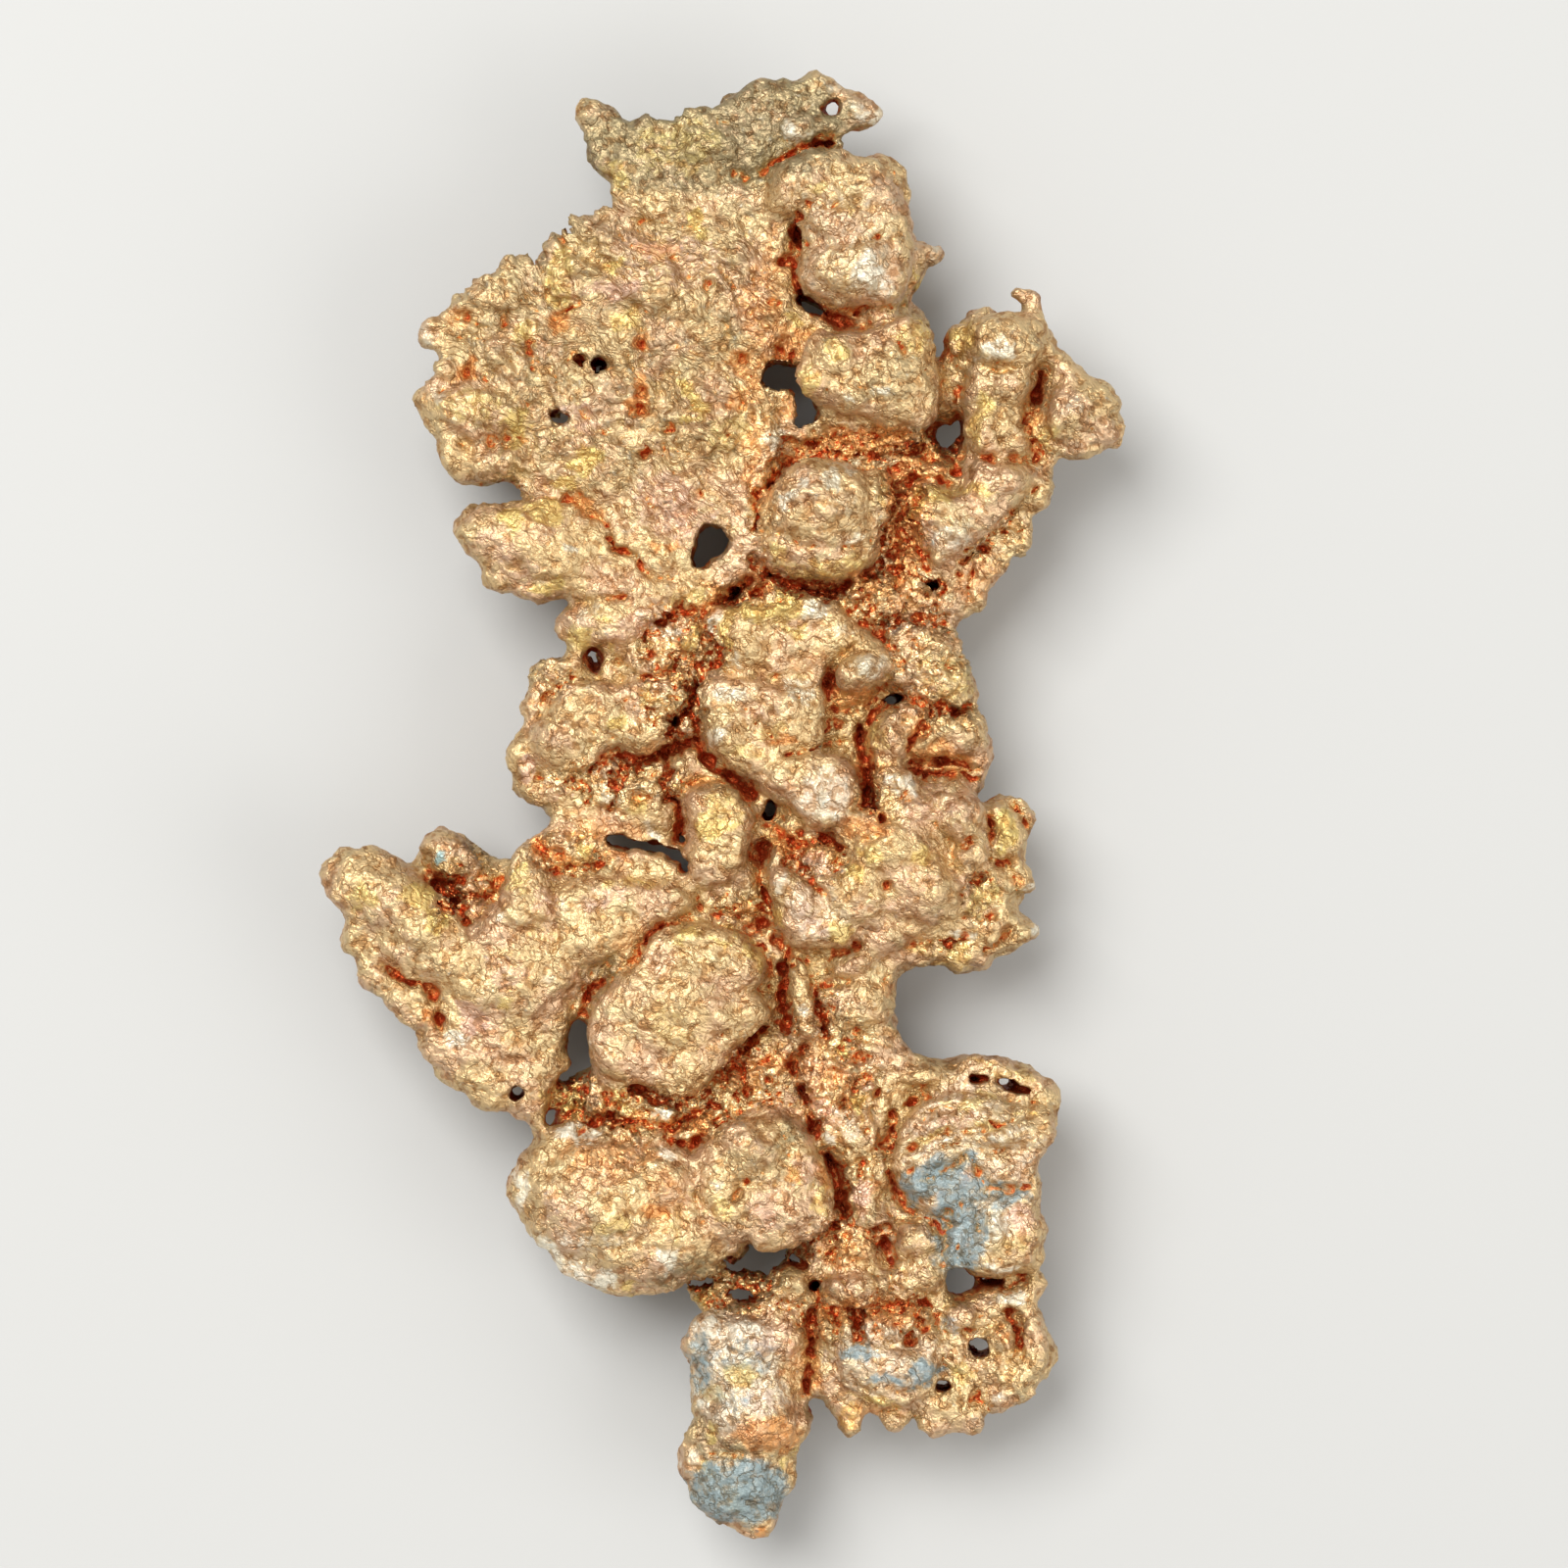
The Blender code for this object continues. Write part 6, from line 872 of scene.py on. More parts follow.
patch("painted_highlight",
    (16.6, -25.5, 0.9, 1.6, 0.8), (13.2, -20.4, 1.6, 0.6, 0.5, 20), (17, -20.2, 2.4, 0.6, 0.4, 5))
patch("gold",
    (12.8, -19.9, 1.8, 0.3, 0.9, 22), (16.2, -19.4, 1.2, 0.3, 0.8, -20),
    (18.8, -18.7, 1.2, 0.3, 0.8), (15.2, -18, 2.4, 0.3, 0.7), (13.2, -26.2, 0.4, 0.7, 0.8),
    (17, -16.2, 2.6, 0.5, 0.6, -14), (18, -26.6, 0.9, 0.8, 0.5))
patch("rose",
    (18.2, -25.2, 0.9, 1, 0.8), (14.7, -22.8, 0.5, 0.9, 0.7), (12.7, -23.8, 0.6, 0.7, 0.6),
    (14.4, -18.9, 1.6, 0.5, 0.6, 10))
patch("orange_and_hollow_shade",
    (14.7, -22.7, 0.4, 0.8, 0.8), (15.4, -29.7, 1.6, 0.5, 0.8), (14, -18.9, 1.4, 0.3, 0.4))

# --- The tongue and the foot -----------------------------------------------------------
# The nugget's lower end: a long tongue with a blue-grey tip, and beside it a foot, a fan
# of short ridges and stubby spikes, eaten through in three places.
leaf(6.7, 2.1, 1.2, 0, 0.04, [
    (2.5, -30.5), (0.2, -30.9), (-1.2, -31), (-1.9, -31.8), (-1.9, -32.6), (-2.4, -32.5),
    (-2.8, -33.1), (-2.5, -33.7), (-1.9, -33.4), (-2, -34.6), (-2, -36), (-2, -37), (-1.5, -37.5),
    (-2.3, -38.3), (-2.7, -39.5), (-2.6, -41), (-2.2, -42.2), (-1.8, -43), (-1, -43.5), (0, -43.9),
    (1.1, -44.6), (2.2, -45), (3, -44.8), (3.4, -44.2), (3.7, -43), (4, -42.2), (4.4, -41.2),
    (4.4, -40), (4.7, -39), (5.3, -38.2), (5.6, -37.6), (5.2, -37), (5.1, -36.1), (5.8, -34),
    (5.5, -31.5)])
leaf(6.9, 1.7, 0.8, 0, 0, [
    (5.4, -36.1), (6.3, -36.9), (7.1, -38.2), (7.7, -39.1), (8.3, -38.1), (8.6, -36.9),
    (9.9, -37.1), (9.7, -37.9), (10.3, -38.3), (11.3, -37.7), (11.6, -37.1), (12.1, -37),
    (11.8, -38.2), (12.8, -38.4), (14, -38), (15.2, -38.4), (16.1, -38.2), (15.8, -37.3),
    (16.3, -37), (16.9, -37.4), (17.1, -36.6), (18.6, -36.5), (19.1, -36), (19.4, -35.2),
    (20, -34.5), (20.3, -33.8), (20.3, -32.8), (19.9, -32.3), (19.7, -31.2), (19.3, -30.8),
    (18.6, -30.6), (19.3, -30.2), (19.6, -29.5), (19.6, -28.8), (19.2, -28.6), (18.8, -29),
    (18.5, -29.5), (16.8, -29.3), (15.2, -29.9), (13.9, -30), (12, -30), (7, -31), (5.5, -33)])
leaf(8.2, 2.2, 1, 0, 0, [
    (7.1, -33.2), (8.4, -32.6), (10.2, -33), (12, -33), (13, -34), (12.7, -35.4), (11.2, -36.7),
    (9.4, -36.6), (7.9, -35.8), (7, -34.6)])
leaf(6.9, 1.2, 0.5, 0, 0, [
    (6.4, -35.9), (7.6, -36), (8.5, -36.7), (8.4, -38), (7.8, -39.1), (7.2, -38.1), (6.6, -37)])
leaf(7.4, 1.2, 0.5, 0, 0, [
    (11.9, -38.3), (12.3, -37.2), (13.4, -36.4), (14.8, -36.4), (15.7, -37), (16.1, -38.2),
    (15.2, -38.5), (13.8, -38.3)])
lumps(
    (1.4, -34.2, 8.2, 3, 3.2, 2.4), (1.8, -37.4, 8.2, 2.8, 3, 2.4),
    (0.8, -41.2, 7.4, 2.8, 3, 2.3, -10), (2.2, -43.2, 7.2, 1.4, 1.5, 1.6),
    (-0.8, -31.9, 7.8, 1.2, 1, 1.7), (-2.3, -33.1, 7.2, 0.55, 0.6, 0.8),
    (3.6, -32.6, 8, 1.6, 1.8, 2.1), (9.8, -34.5, 8.4, 2.4, 1.4, 2.5, -8),
    (6.4, -32.2, 8.4, 0.4, 1.5, 2.1, 8), (7.5, -32, 8.6, 0.4, 1.4, 2.2, -4),
    (8.9, -31.8, 8.6, 0.35, 1.3, 2.2, -14), (9.8, -31.9, 8.6, 0.35, 1.3, 2.2, -22),
    (10.9, -31.8, 8.4, 0.4, 1.3, 2.2, -30), (12.2, -31.4, 8.2, 0.8, 1, 2.1, -14),
    (10.5, -37.4, 7.4, 0.8, 0.8, 1.3), (16.8, -36.4, 7.6, 1, 0.8, 1.5),
    (17.8, -35.2, 7.7, 1.5, 1.1, 1.8), (19, -33.4, 7.8, 1, 1.6, 1.9),
    (17.2, -32.4, 8.2, 0.6, 1.2, 1.9, 10), (18.9, -31.6, 7.8, 0.8, 0.9, 1.7),
    (16.6, -34.4, 7.8, 0.9, 0.9, 1.7), (17.6, -30.3, 7.8, 1.5, 0.7, 1.4),
    (19.3, -29.5, 7.4, 0.5, 0.7, 0.8), (14.6, -31.2, 7.8, 1.2, 1, 1.8),
    (14.4, -33.4, 7.8, 0.7, 1.2, 1.7), (15.2, -35, 7.6, 0.7, 0.8, 1.5),
    (12.6, -33.2, 8, 1.1, 1.1, 2.1))
creases += [
    (1.9, 0.26, [(5.7, -31), (5.4, -32), (5.3, -33.4), (5.5, -34.8), (5.2, -36)]),
    (0.8, 0.2, [(6.9, -30.8), (6.9, -31.8), (6.6, -33)]),
    (0.8, 0.2, [(8.3, -30.8), (8.4, -31.8), (8.5, -32.8)]),
    (0.8, 0.2, [(9.2, -31), (9.5, -31.8), (10, -32.8)]),
    (0.8, 0.2, [(10.3, -30.9), (10.7, -31.6), (11.2, -32.6)]),
    (1.2, 0.22, [(11.6, -30.8), (12, -31.4), (12.4, -32), (13, -31.2)]),
    (0.8, 0.22, [(6.3, -30.6), (7.8, -30.6), (9.4, -30.7), (11.2, -30.4), (12.6, -30.6)]),
    (1.5, 0.24, [(17.7, -30.9), (17.8, -31.8), (18.2, -33)]),
    (1.1, 0.22, [(15.2, -34.6), (15.4, -35.8), (15.8, -36.8), (16.6, -37.4)]),
    (0.6, 0.26, [(-2, -39.3), (0.6, -39.9), (2.8, -39.4), (4.4, -39.6)]),
    (0.7, 0.24, [(7.2, -34.8), (8.4, -35.6), (10.2, -35.9), (12.2, -35.4), (12.9, -34.6)]),
    (0.8, 0.24, [(12.9, -31.4), (13.4, -32.4), (13.2, -34.2)]),
    (0.8, 0.24, [(9.4, -37.1), (10.8, -37), (11.8, -37.2)]),
    (0.7, 0.22, [(14.8, -32.4), (16.2, -32.2), (16.6, -31.6)]),
    (0.9, 0.24, [(-2, -32.6), (-1.6, -33), (-1.8, -33.8)]),
    (0.5, 0.22, [(2.2, -34), (3.6, -34), (4.8, -34.8)])]
pits += [
    (15.8, -31.2, 0.4, 1), (5.4, -35.2, 0.4, 1.4), (2.3, -34.1, 0.2, 0.5), (5.1, -33, 0.3, 1.2),
    (16.4, -32.2, 0.3, 0.8)]
gaps += [
    (14.35, -29.1, 0.78, 0.72, -10), (16.1, -29.15, 1.1, 0.17, 3), (15.75, -33.15, 0.65, 0.5, -20),
    (13.4, -35.55, 0.62, 0.48, -20)]
patch("blue",
    (0.8, -42, 3.6, 2.3, 1), (-1.4, -34, 0.9, 1.8, 0.8), (8.2, -33.4, 1.4, 0.6, 0.9, 20),
    (12.2, -34.4, 1.2, 0.7, 1, 10), (9.8, -35, 1.8, 0.4, 0.9, -5), (1.4, -33.4, 2.2, 1.2, 0.5),
    (12, -35.4, 0.9, 0.4, 0.9, 20), (0.6, -36.2, 1.6, 0.8, 0.5), (13.6, -31.8, 0.5, 0.6, 0.7))
patch("chalk",
    (-0.9, -31.8, 0.9, 0.8, 1), (1.6, -31.8, 1.4, 0.5, 0.6), (-1.9, -39.6, 0.6, 1, 0.6),
    (17.4, -30.2, 1.2, 0.5, 0.9), (-1.6, -35.6, 0.5, 1.2, 0.6), (16.6, -36.2, 0.5, 0.4, 0.6))
patch("gold",
    (1.2, -34.6, 0.8, 0.9, 0.9), (-0.6, -38.2, 0.6, 0.9, 0.9), (4, -40.4, 0.3, 1.2, 0.8, -10),
    (-0.6, -35.8, 0.9, 0.6, 0.7), (9.4, -36.2, 1.6, 0.4, 0.8, -8), (7.6, -37.4, 0.5, 1, 0.5),
    (14.6, -34.8, 1, 0.6, 0.7, -40), (0.6, -42.2, 0.7, 1.2, 0.9, 20),
    (-0.9, -40.4, 0.8, 0.5, 0.9, -20))
patch("orange_and_hollow_shade",
    (2.6, -38.4, 2.4, 1.3, 0.8), (2.4, -44.4, 0.8, 0.6, 0.8), (4.2, -34, 0.8, 2, 0.5),
    (8, -37.6, 1, 0.8, 0.6), (17.1, -32.2, 0.6, 0.8, 0.7), (5.4, -35, 0.5, 1.2, 0.8),
    (9.6, -36.9, 1.6, 0.3, 0.6))
patch("rose", (3.4, -32.6, 1.6, 1.2, 0.6), (2.2, -36.4, 1.4, 1, 0.5), (6.8, -33.6, 0.6, 1.2, 0.4))

# --- The back --------------------------------------------------------------------------
# The side that lies underneath. It grew against the rock, in rounded swellings of every
# size, and the lowest of them are worn to small flats in one plane, which carry the nugget.
lumps(
    (7.2, 35, 4.5, 4, 4.6, 4.8), (-2.4, 40.2, 5.8, 4.2, 1.8, 2.2, 12),
    (-9.4, 27.6, 4.8, 5.6, 4.2, 3.6, -20), (-2.8, 21.4, 4.6, 4.6, 4.4, 3.6),
    (-14.6, 22.4, 6.2, 2.8, 2.8, 2.6), (9.6, 23.4, 4.2, 4, 4.4, 3.9),
    (17.6, 24.4, 4.9, 3, 4.6, 3.6), (13.2, 15.6, 4.2, 2.8, 4.2, 3.6, -20),
    (5.4, 14.6, 4, 4.2, 4.2, 3.4), (-10.6, 15.4, 6.4, 4.4, 2.2, 2.4, -12),
    (1.6, 5.6, 4.1, 5.2, 4.6, 4.3, 15), (-8.4, 5.2, 4.6, 3.8, 3.8, 3.3),
    (11.6, 7.2, 4.2, 3.6, 4, 3.4), (11, -3.6, 4.2, 5.6, 4.8, 4.5),
    (-12.4, -8.4, 4.6, 5.6, 4.6, 4.9, -10), (-20.6, -5.8, 6.2, 3.2, 2.6, 3, -30),
    (-13.4, -14.4, 5.6, 3.2, 3.6, 2.4), (-2.2, -11.8, 4.2, 5, 4.8, 3.8),
    (5.2, -17.6, 4, 4.2, 5.6, 3.6, 10), (-5.8, -24.8, 4.6, 5.4, 4.2, 3.9),
    (15, -22.6, 4.4, 4.2, 4.8, 4.7), (7.4, -26.8, 4.2, 3.8, 4, 3.6),
    (12.4, -33.8, 4.6, 5.4, 3.2, 3.7, -10), (1.4, -37.6, 4.8, 2.9, 5.2, 3.3, -4))
lumps(
    (-13.2, 29.6, 6.4, 2.8, 1.8, 2.4, 20), (0.4, 28.4, 5.2, 2.6, 3.2, 2.8, -30),
    (2.2, 38.2, 5.6, 2.2, 1.6, 2.6), (10.6, 29.2, 4.4, 1.9, 2.4, 3, 15),
    (14.2, 20.6, 4.6, 2.4, 1.7, 2.8, 35), (21.4, 24.2, 6.4, 2.2, 1.9, 2.3),
    (-7, 16.6, 5.6, 2.4, 1.8, 2.6, -30), (-5.8, 11.2, 5.4, 2.6, 1.6, 2.9, 10),
    (0.4, 10.6, 4.4, 1.9, 2.6, 3.1), (8.4, 10.4, 3.9, 1.8, 2.2, 2.9, -20),
    (-3.6, 2.2, 4.6, 2.4, 1.8, 3.2), (6.6, 1.2, 3.6, 1.9, 2.6, 3, 40),
    (14.4, 2.4, 4.8, 1.9, 2.4, 3.1), (16.6, -4.2, 5.2, 1.9, 3.2, 2.9, 10),
    (3.4, -5.8, 4.2, 2.6, 2.2, 3.3, -35), (-5.4, -4.8, 4.6, 3.1, 1.7, 3, 12),
    (-16.8, -11.8, 5.2, 2.4, 1.9, 2.7, -40), (7.6, -11.6, 4.4, 2.2, 2.8, 3),
    (-7.4, -17.8, 4.8, 2.3, 1.7, 2.6), (-1, -19.4, 4.2, 2.2, 2.6, 3, 20),
    (0.2, -25.6, 4, 2.2, 2.6, 2.9), (10.8, -18.8, 4.6, 1.9, 2.2, 3.1),
    (17.4, -29.8, 5.2, 1.9, 1.8, 2.6), (6, -31.8, 4.4, 2, 2.4, 2.9),
    (17.4, -34.4, 5.2, 2.2, 1.9, 2.5, -30), (1.2, -43, 5.6, 1.7, 1.6, 2.1))

# --- Where the surface changes ---------------------------------------------------------
# Most of the copper is pebbled and satin. The beds between the nodules stayed hackly, as
# the metal left the rock, and the leaf and the lobes are drawn into fine wrinkles.
patch("hackle",
    (11, 17, 1.8, 5, 1), (9.5, 22, 5.2, 1.2, 1), (10.8, 12.6, 3.4, 2.2, 1),
    (17.2, 15.6, 1.8, 2.6, 0.6), (12.8, 9, 3, 3, 0.8), (13, 5.6, 3, 1.6, 0.8),
    (9.6, 0.6, 2.2, 2, 0.7), (-6.6, 1.4, 4.6, 1.6, 1), (-10.6, 7.8, 1.6, 1.4, 0.8),
    (-2.4, 9.8, 3, 3, 1), (-3.2, 6.2, 2.4, 2.4, 1), (-15.6, -4.6, 1.8, 2.2, 0.8),
    (-9.4, -3, 2.8, 1.6, 0.9), (1.2, -6.2, 2, 1.2, 0.9), (5.4, -3.2, 2.6, 1.6, 0.8, -20),
    (15.8, -5.6, 1.4, 2.2, 0.8), (6.6, -15.6, 2.8, 5, 0.8, 12), (7.2, -26.4, 2.6, 1.8, 0.9),
    (8.4, -21.8, 1.6, 2.6, 0.6), (-3.8, -18.8, 5.4, 1.8, 1), (2, -16.4, 2.6, 2.2, 1),
    (-9.2, -18, 1.4, 1.6, 0.9), (-6, -21.4, 3.6, 1.2, 0.6), (8.6, -30.8, 5, 2.2, 0.7),
    (1, -29.6, 3.6, 1.6, 1), (16.6, -34.4, 3.6, 4, 0.5), (2.6, 22, 1.4, 12, 0.6),
    (3.2, 13, 6, 1, 0.8), (20, 22, 1.2, 1, 0.5), (14, -8.6, 2, 0.7, 0.7),
    (-16.8, -6, 0.8, 1.6, 1, -40))
patch("wrinkle",
    (-6, 27, 12.5, 11.5, 1), (-8, 15, 8.5, 5, 0.5, -15), (0, 40.5, 9.5, 3.6, 0.4, 8),
    (-13.5, -10, 9, 8, 0.3), (12, -4, 6, 5, 0.5))
patch("blue",
    (14.4, -25.4, 1.9, 3.8, 0.9, 4), (12.4, -22.8, 2.2, 1.3, 0.9, 20), (16.6, -23.6, 2.4, 0.8, 0.8))
patch("pale",
    (15, -22, 4.6, 6, 0.55), (1, -34.6, 3.4, 4.2, 0.8), (10, -33.6, 4, 2.6, 0.6),
    (5.8, -6.6, 2.6, 1.6, 0.6, -40), (-9.4, -27.4, 4, 1.8, 0.4, 30), (7, 34, 4, 4.4, 0.35))
# The orange patches lie in the beds, clefts and pits: the metal's own orange tone there, deepened
# by painted shade and painted copper reflection.
patch("orange_and_hollow_shade",
    (8.2, 22.3, 4.4, 1, 0.9), (11.2, 17.4, 1.3, 4.4, 0.9), (12.4, 21.2, 1.8, 1, 0.8, -20),
    (7, 13.5, 3.4, 0.6, 0.8), (0.6, 13, 3.2, 0.8, 0.8, 28), (2.4, 29.6, 1.4, 6, 0.55, -4),
    (2.2, 20.8, 1.2, 3.2, 0.6), (-2.4, 9.8, 1.8, 2.6, 0.5), (-2.6, 3.4, 3.2, 0.7, 0.6, 10),
    (9, 1.4, 0.7, 2.6, 0.7), (13.2, 2.9, 2.4, 0.8, 0.8, -10), (6.4, -17.2, 2, 3.6, 0.5, 14),
    (8.8, -30.9, 3.6, 0.8, 0.7), (5.4, -33.6, 0.6, 2.8, 0.8), (4.4, -2.4, 2.2, 0.9, 0.8, -20),
    (7.4, 6.4, 1.6, 0.8, 0.6), (10.8, 12.6, 3, 1.2, 0.5), (15.4, 14, 1.4, 1.6, 0.5),
    (18.9, 23.6, 0.5, 1.8, 0.8), (-7.6, -1.8, 3.4, 1, 0.5))
patch("dull",
    (-6.5, 28.5, 11.5, 10.5, 0.45), (-0.5, 41, 10, 4, 0.9, 6), (1, -38, 3.6, 6, 0.6),
    (0.8, -34, 2.8, 3, 0.5), (1, 32, 3, 6, 0.5, 10), (-3, 16.5, 4, 2, 0.3, -30))
creases += [
    (1.2, 0.85, [(5.6, 22.5), (8.2, 22.6), (10.6, 22), (12.6, 21.3)]),
    (1.2, 0.7, [(10.8, 20.6), (11.3, 18.8), (11.1, 16.2), (10.4, 14.4)])]

# --- The skin --------------------------------------------------------------------------
# Where its swellings have grown together the nugget has one unbroken skin of bare metal.
# The gaps are opened first, then the folds, dimples, wrinkles and hackles are worn into it,
# and last the fine grain that acid left, bumps half a millimetre to one and a half across.
FIRST_GRID, GAP_GRID, FINE_GRID = 0.3, 0.12, 0.2
EVEN_PASSES = 3
CLOSES_BY = 0.12  # what a gap loses on each side when the grain is worn in
ASKEW = Matrix.Rotation(math.radians(35), 4, (0.8, 0.5, 0.3))
DRAWN_DOWN = 0.7  # how much slower unevenness changes downwards than across
WRINKLES_LIE = math.radians(-38)
WRINKLE_LENGTH = 2.2  # how many times longer than wide
FIRST_SINK, THEN_SINK, MOST_SUNK = 0.35, 0.5, 1.0
SWELL, PEBBLE, BIG_HACKLE, BIG_WRINKLE = 0.3, 0.3, 0.58, 0.6
GRAIN, DIMPLE, HACKLE, WRINKLE, FINEST = 0.18, 0.4, 0.5, 0.95, 0.07
FACES_DOWN = -0.2  # normals below this belong to the underside
BACK_LEFT_OUT = 0.7  # the share of the underside's faces that it can do without
TRIANGLES = 196000
noise.seed_set(1)  # left unseeded, the way points are stirred would follow the clock


def in_order(bm):
    """Sort what a bmesh holds by place.

    Bevels and booleans hand it over in another order each time. The skin follows that
    order in its last details, so without this no two runs would give the same nugget."""
    placed = sorted(bm.verts, key=lambda vert: tuple(vert.co))
    rank = {vert: place for place, vert in enumerate(placed)}
    bm.verts.sort(key=rank.get)
    bm.verts.index_update()
    for items in (bm.edges, bm.faces):
        placed = sorted(items, key=lambda item: sorted(vert.index for vert in item.verts))
        rank = {item: place for place, item in enumerate(placed)}
        items.sort(key=rank.get)


def melt(mesh, grid, cutter=None):
    """Melt all that a mesh holds into one skin, and open the gaps that a cutter fills.

    It is done askew, because the grid would otherwise show as rings on level places."""
    mesh.transform(ASKEW)
    form = bpy.data.objects.new("form", mesh)
    bpy.context.scene.collection.objects.link(form)
    skin = form.modifiers.new("skin", "REMESH")
    skin.mode = "VOXEL"
    skin.voxel_size = grid
    even = form.modifiers.new("even", "SMOOTH")
    even.factor = 0.5
    even.iterations = EVEN_PASSES
    if cutter:
        opened = form.modifiers.new("gaps", "BOOLEAN")
        opened.operation = "DIFFERENCE"
        opened.object = cutter
        cutter.matrix_world = ASKEW
    bpy.context.view_layer.update()
    graph = bpy.context.evaluated_depsgraph_get()
    melted = bpy.data.meshes.new_from_object(form.evaluated_get(graph))
    bpy.data.objects.remove(form)
    if cutter:
        pierced = bmesh.new()
        pierced.from_mesh(melted)
        in_order(pierced)
        pierced.to_mesh(melted)
        pierced.free()
    melted.transform(ASKEW.inverted())
    return melted


def as_mesh(bm, name):
    """Close a bmesh and return it as a mesh."""
    in_order(bm)
    mesh = bpy.data.meshes.new(name)
    bm.to_mesh(mesh)
    bm.free()
    return mesh


def points_of(mesh):
    """The places of a mesh's vertices."""
    flat = np.empty(len(mesh.vertices) * 3, np.float32)
    mesh.vertices.foreach_get("co", flat)
    return flat.reshape(-1, 3).astype(float)


def normals_of(mesh):
    """The way each vertex of a mesh faces."""
    flat = np.empty(len(mesh.vertices) * 3, np.float32)
    mesh.vertex_normals.foreach_get("vector", flat)
    return flat.reshape(-1, 3).astype(float)


def smoothstep(low, high, value):
    """Rise evenly from 0 at low to 1 at high."""
    t = np.clip((value - low) / (high - low), 0, 1)
    return t * t * (3 - 2 * t)


def distance_to_path(points, path):
    """How far each point is from a path, seen from above."""
    nearest = np.full(len(points), 1e9)
    for (x1, y1), (x2, y2) in zip(path[:-1], path[1:]):
        start, run = np.array((x1, y1)), np.array((x2 - x1, y2 - y1))
        along = np.clip((points[:, :2] - start) @ run / (run @ run), 0, 1)
        gap = points[:, :2] - start - along[:, None] * run
        nearest = np.minimum(nearest, np.hypot(gap[:, 0], gap[:, 1]))
    return nearest


def share(points, ellipses):
    """How strongly each point lies in a set of soft-edged ellipses, seen from above."""
    most = np.zeros(len(points))
    for x, y, half_x, half_y, strength, *turn in ellipses:
        c, s = math.cos(math.radians(sum(turn))), math.sin(math.radians(sum(turn)))
        right, up = points[:, 0] - x, points[:, 1] - y
        radius = np.hypot((c * right + s * up) / half_x, (c * up - s * right) / half_y)
        most = np.maximum(most, strength * smoothstep(1.2, 0.7, radius))
    return most


def waves(points, span):
    """Where noise is read for each point. It is drawn out downwards, so flanks aren't ringed."""
    return map(Vector, points / span * (1, 1, DRAWN_DOWN))


def fractal(points, span, octaves):
    """Cloudy unevenness between about -1 and 1, its largest bumps span across."""
    return np.array([noise.fractal(p, 0.9, 2.1, octaves) for p in waves(points, span)])


def ridged(points, span, octaves):
    """Sharp-crested unevenness from 0 to about 2."""
    return np.array([noise.ridged_multi_fractal(p, 0.9, 2.1, octaves, 1.0, 2.0)
                     for p in waves(points, span)])


def billowed(points, span, octaves):
    """Rounded swellings from 0 to about 1, with sharp seams between them."""
    total = np.zeros(len(points))
    for step in range(octaves):
        swell = np.array([noise.noise(p) for p in waves(points, span / 2.1 ** step)])
        total += np.abs(swell) * 0.5 ** step
    return total


def cells(points, span):
    """Rounded grains, 0 at their middles and about 1 where they meet."""
    return np.array([noise.voronoi(p)[0][0] for p in waves(points, span)])


cutter_mesh = bmesh.new()
for x, y, half_x, half_y, *turn in gaps:
    place = Matrix.Translation((x, y, 8)) @ Matrix.Rotation(math.radians(sum(turn)), 4, "Z")
    size = Matrix.Diagonal((half_x + CLOSES_BY, half_y + CLOSES_BY, 1, 1))
    bmesh.ops.create_cone(cutter_mesh, cap_ends=True, segments=20, radius1=1, radius2=1, depth=30,
                          matrix=place @ size)
cutter = bpy.data.objects.new("gaps", melt(as_mesh(cutter_mesh, "gaps"), GAP_GRID))
bpy.context.scene.collection.objects.link(cutter)
body = melt(as_mesh(copper, "copper"), FIRST_GRID, cutter)
bpy.data.objects.remove(cutter)


def stir(points, span, much):
    """Push points about, so that whatever follows them comes out uneven."""
    return points + much * np.array([noise.noise_vector(p) for p in waves(points, span)])


def sunken(points, wider, least):
    """How deep the folds and dimples lie at each point, seen from above.

    The folds are wider than listed by a factor, and never narrower than the least."""
    flat = points * (1, 1, 0)
    wander = stir(stir(flat, 1.9, 0.4), 0.6, 0.2)
    uneven = np.clip(0.9 + 0.6 * fractal(flat, 1.8, 2), 0.3, 1.5)
    sunk = np.zeros(len(points))
    for depth, half_width, path in creases:
        half_width = max(least, wider * half_width)
        line, reach = np.array(path), 3 * half_width
        near = ((wander[:, :2] > line.min(axis=0) - reach)
                & (wander[:, :2] < line.max(axis=0) + reach)).all(axis=1)
        away = distance_to_path(wander[near], path) / half_width
        sunk[near] = np.maximum(sunk[near], depth * uneven[near] * np.exp(-away ** 1.6))
    for x, y, radius, depth in pits:
        away = np.hypot(wander[:, 0] - x, wander[:, 1] - y) / radius
        sunk = np.maximum(sunk, 0.7 * depth * smoothstep(1.2, 0.2, away))
    return sunk


spots, ways = points_of(body), normals_of(body)
front = smoothstep(-0.1, 0.4, ways[:, 2])
sunk = sunken(spots, 1.2, 0.3)
spots[:, 2] -= FIRST_SINK * front * sunk
wander = stir(stir(spots, 1.9, 0.5), 0.6, 0.22)
hackly = np.maximum(share(wander, patches["hackle"]), 0.5 * np.clip(sunk, 0, 1))
hackly *= 0.35 + 0.65 * front
wrinkled = share(wander, patches["wrinkle"]) * front
c, s = math.cos(WRINKLES_LIE), math.sin(WRINKLES_LIE)
lie = np.array(((c, -s, 0), (s, c, 0), (0, 0, 1)))
across = (stir(wander, 5.0, 2.0) @ lie) * (1 / WRINKLE_LENGTH, 1, 1)
rise = SWELL * fractal(spots, 2.4, 3)
rise += (1 - hackly) * PEBBLE * (0.45 - cells(wander, 1.5))
rise += hackly * BIG_HACKLE * (ridged(spots, 1.5, 4) - 1.0)
rise += wrinkled * BIG_WRINKLE * (billowed(across, 1.5, 3) - 0.3)
spots += ways * rise[:, None]
body.vertices.foreach_set("co", spots.astype(np.float32).ravel())
body.update()

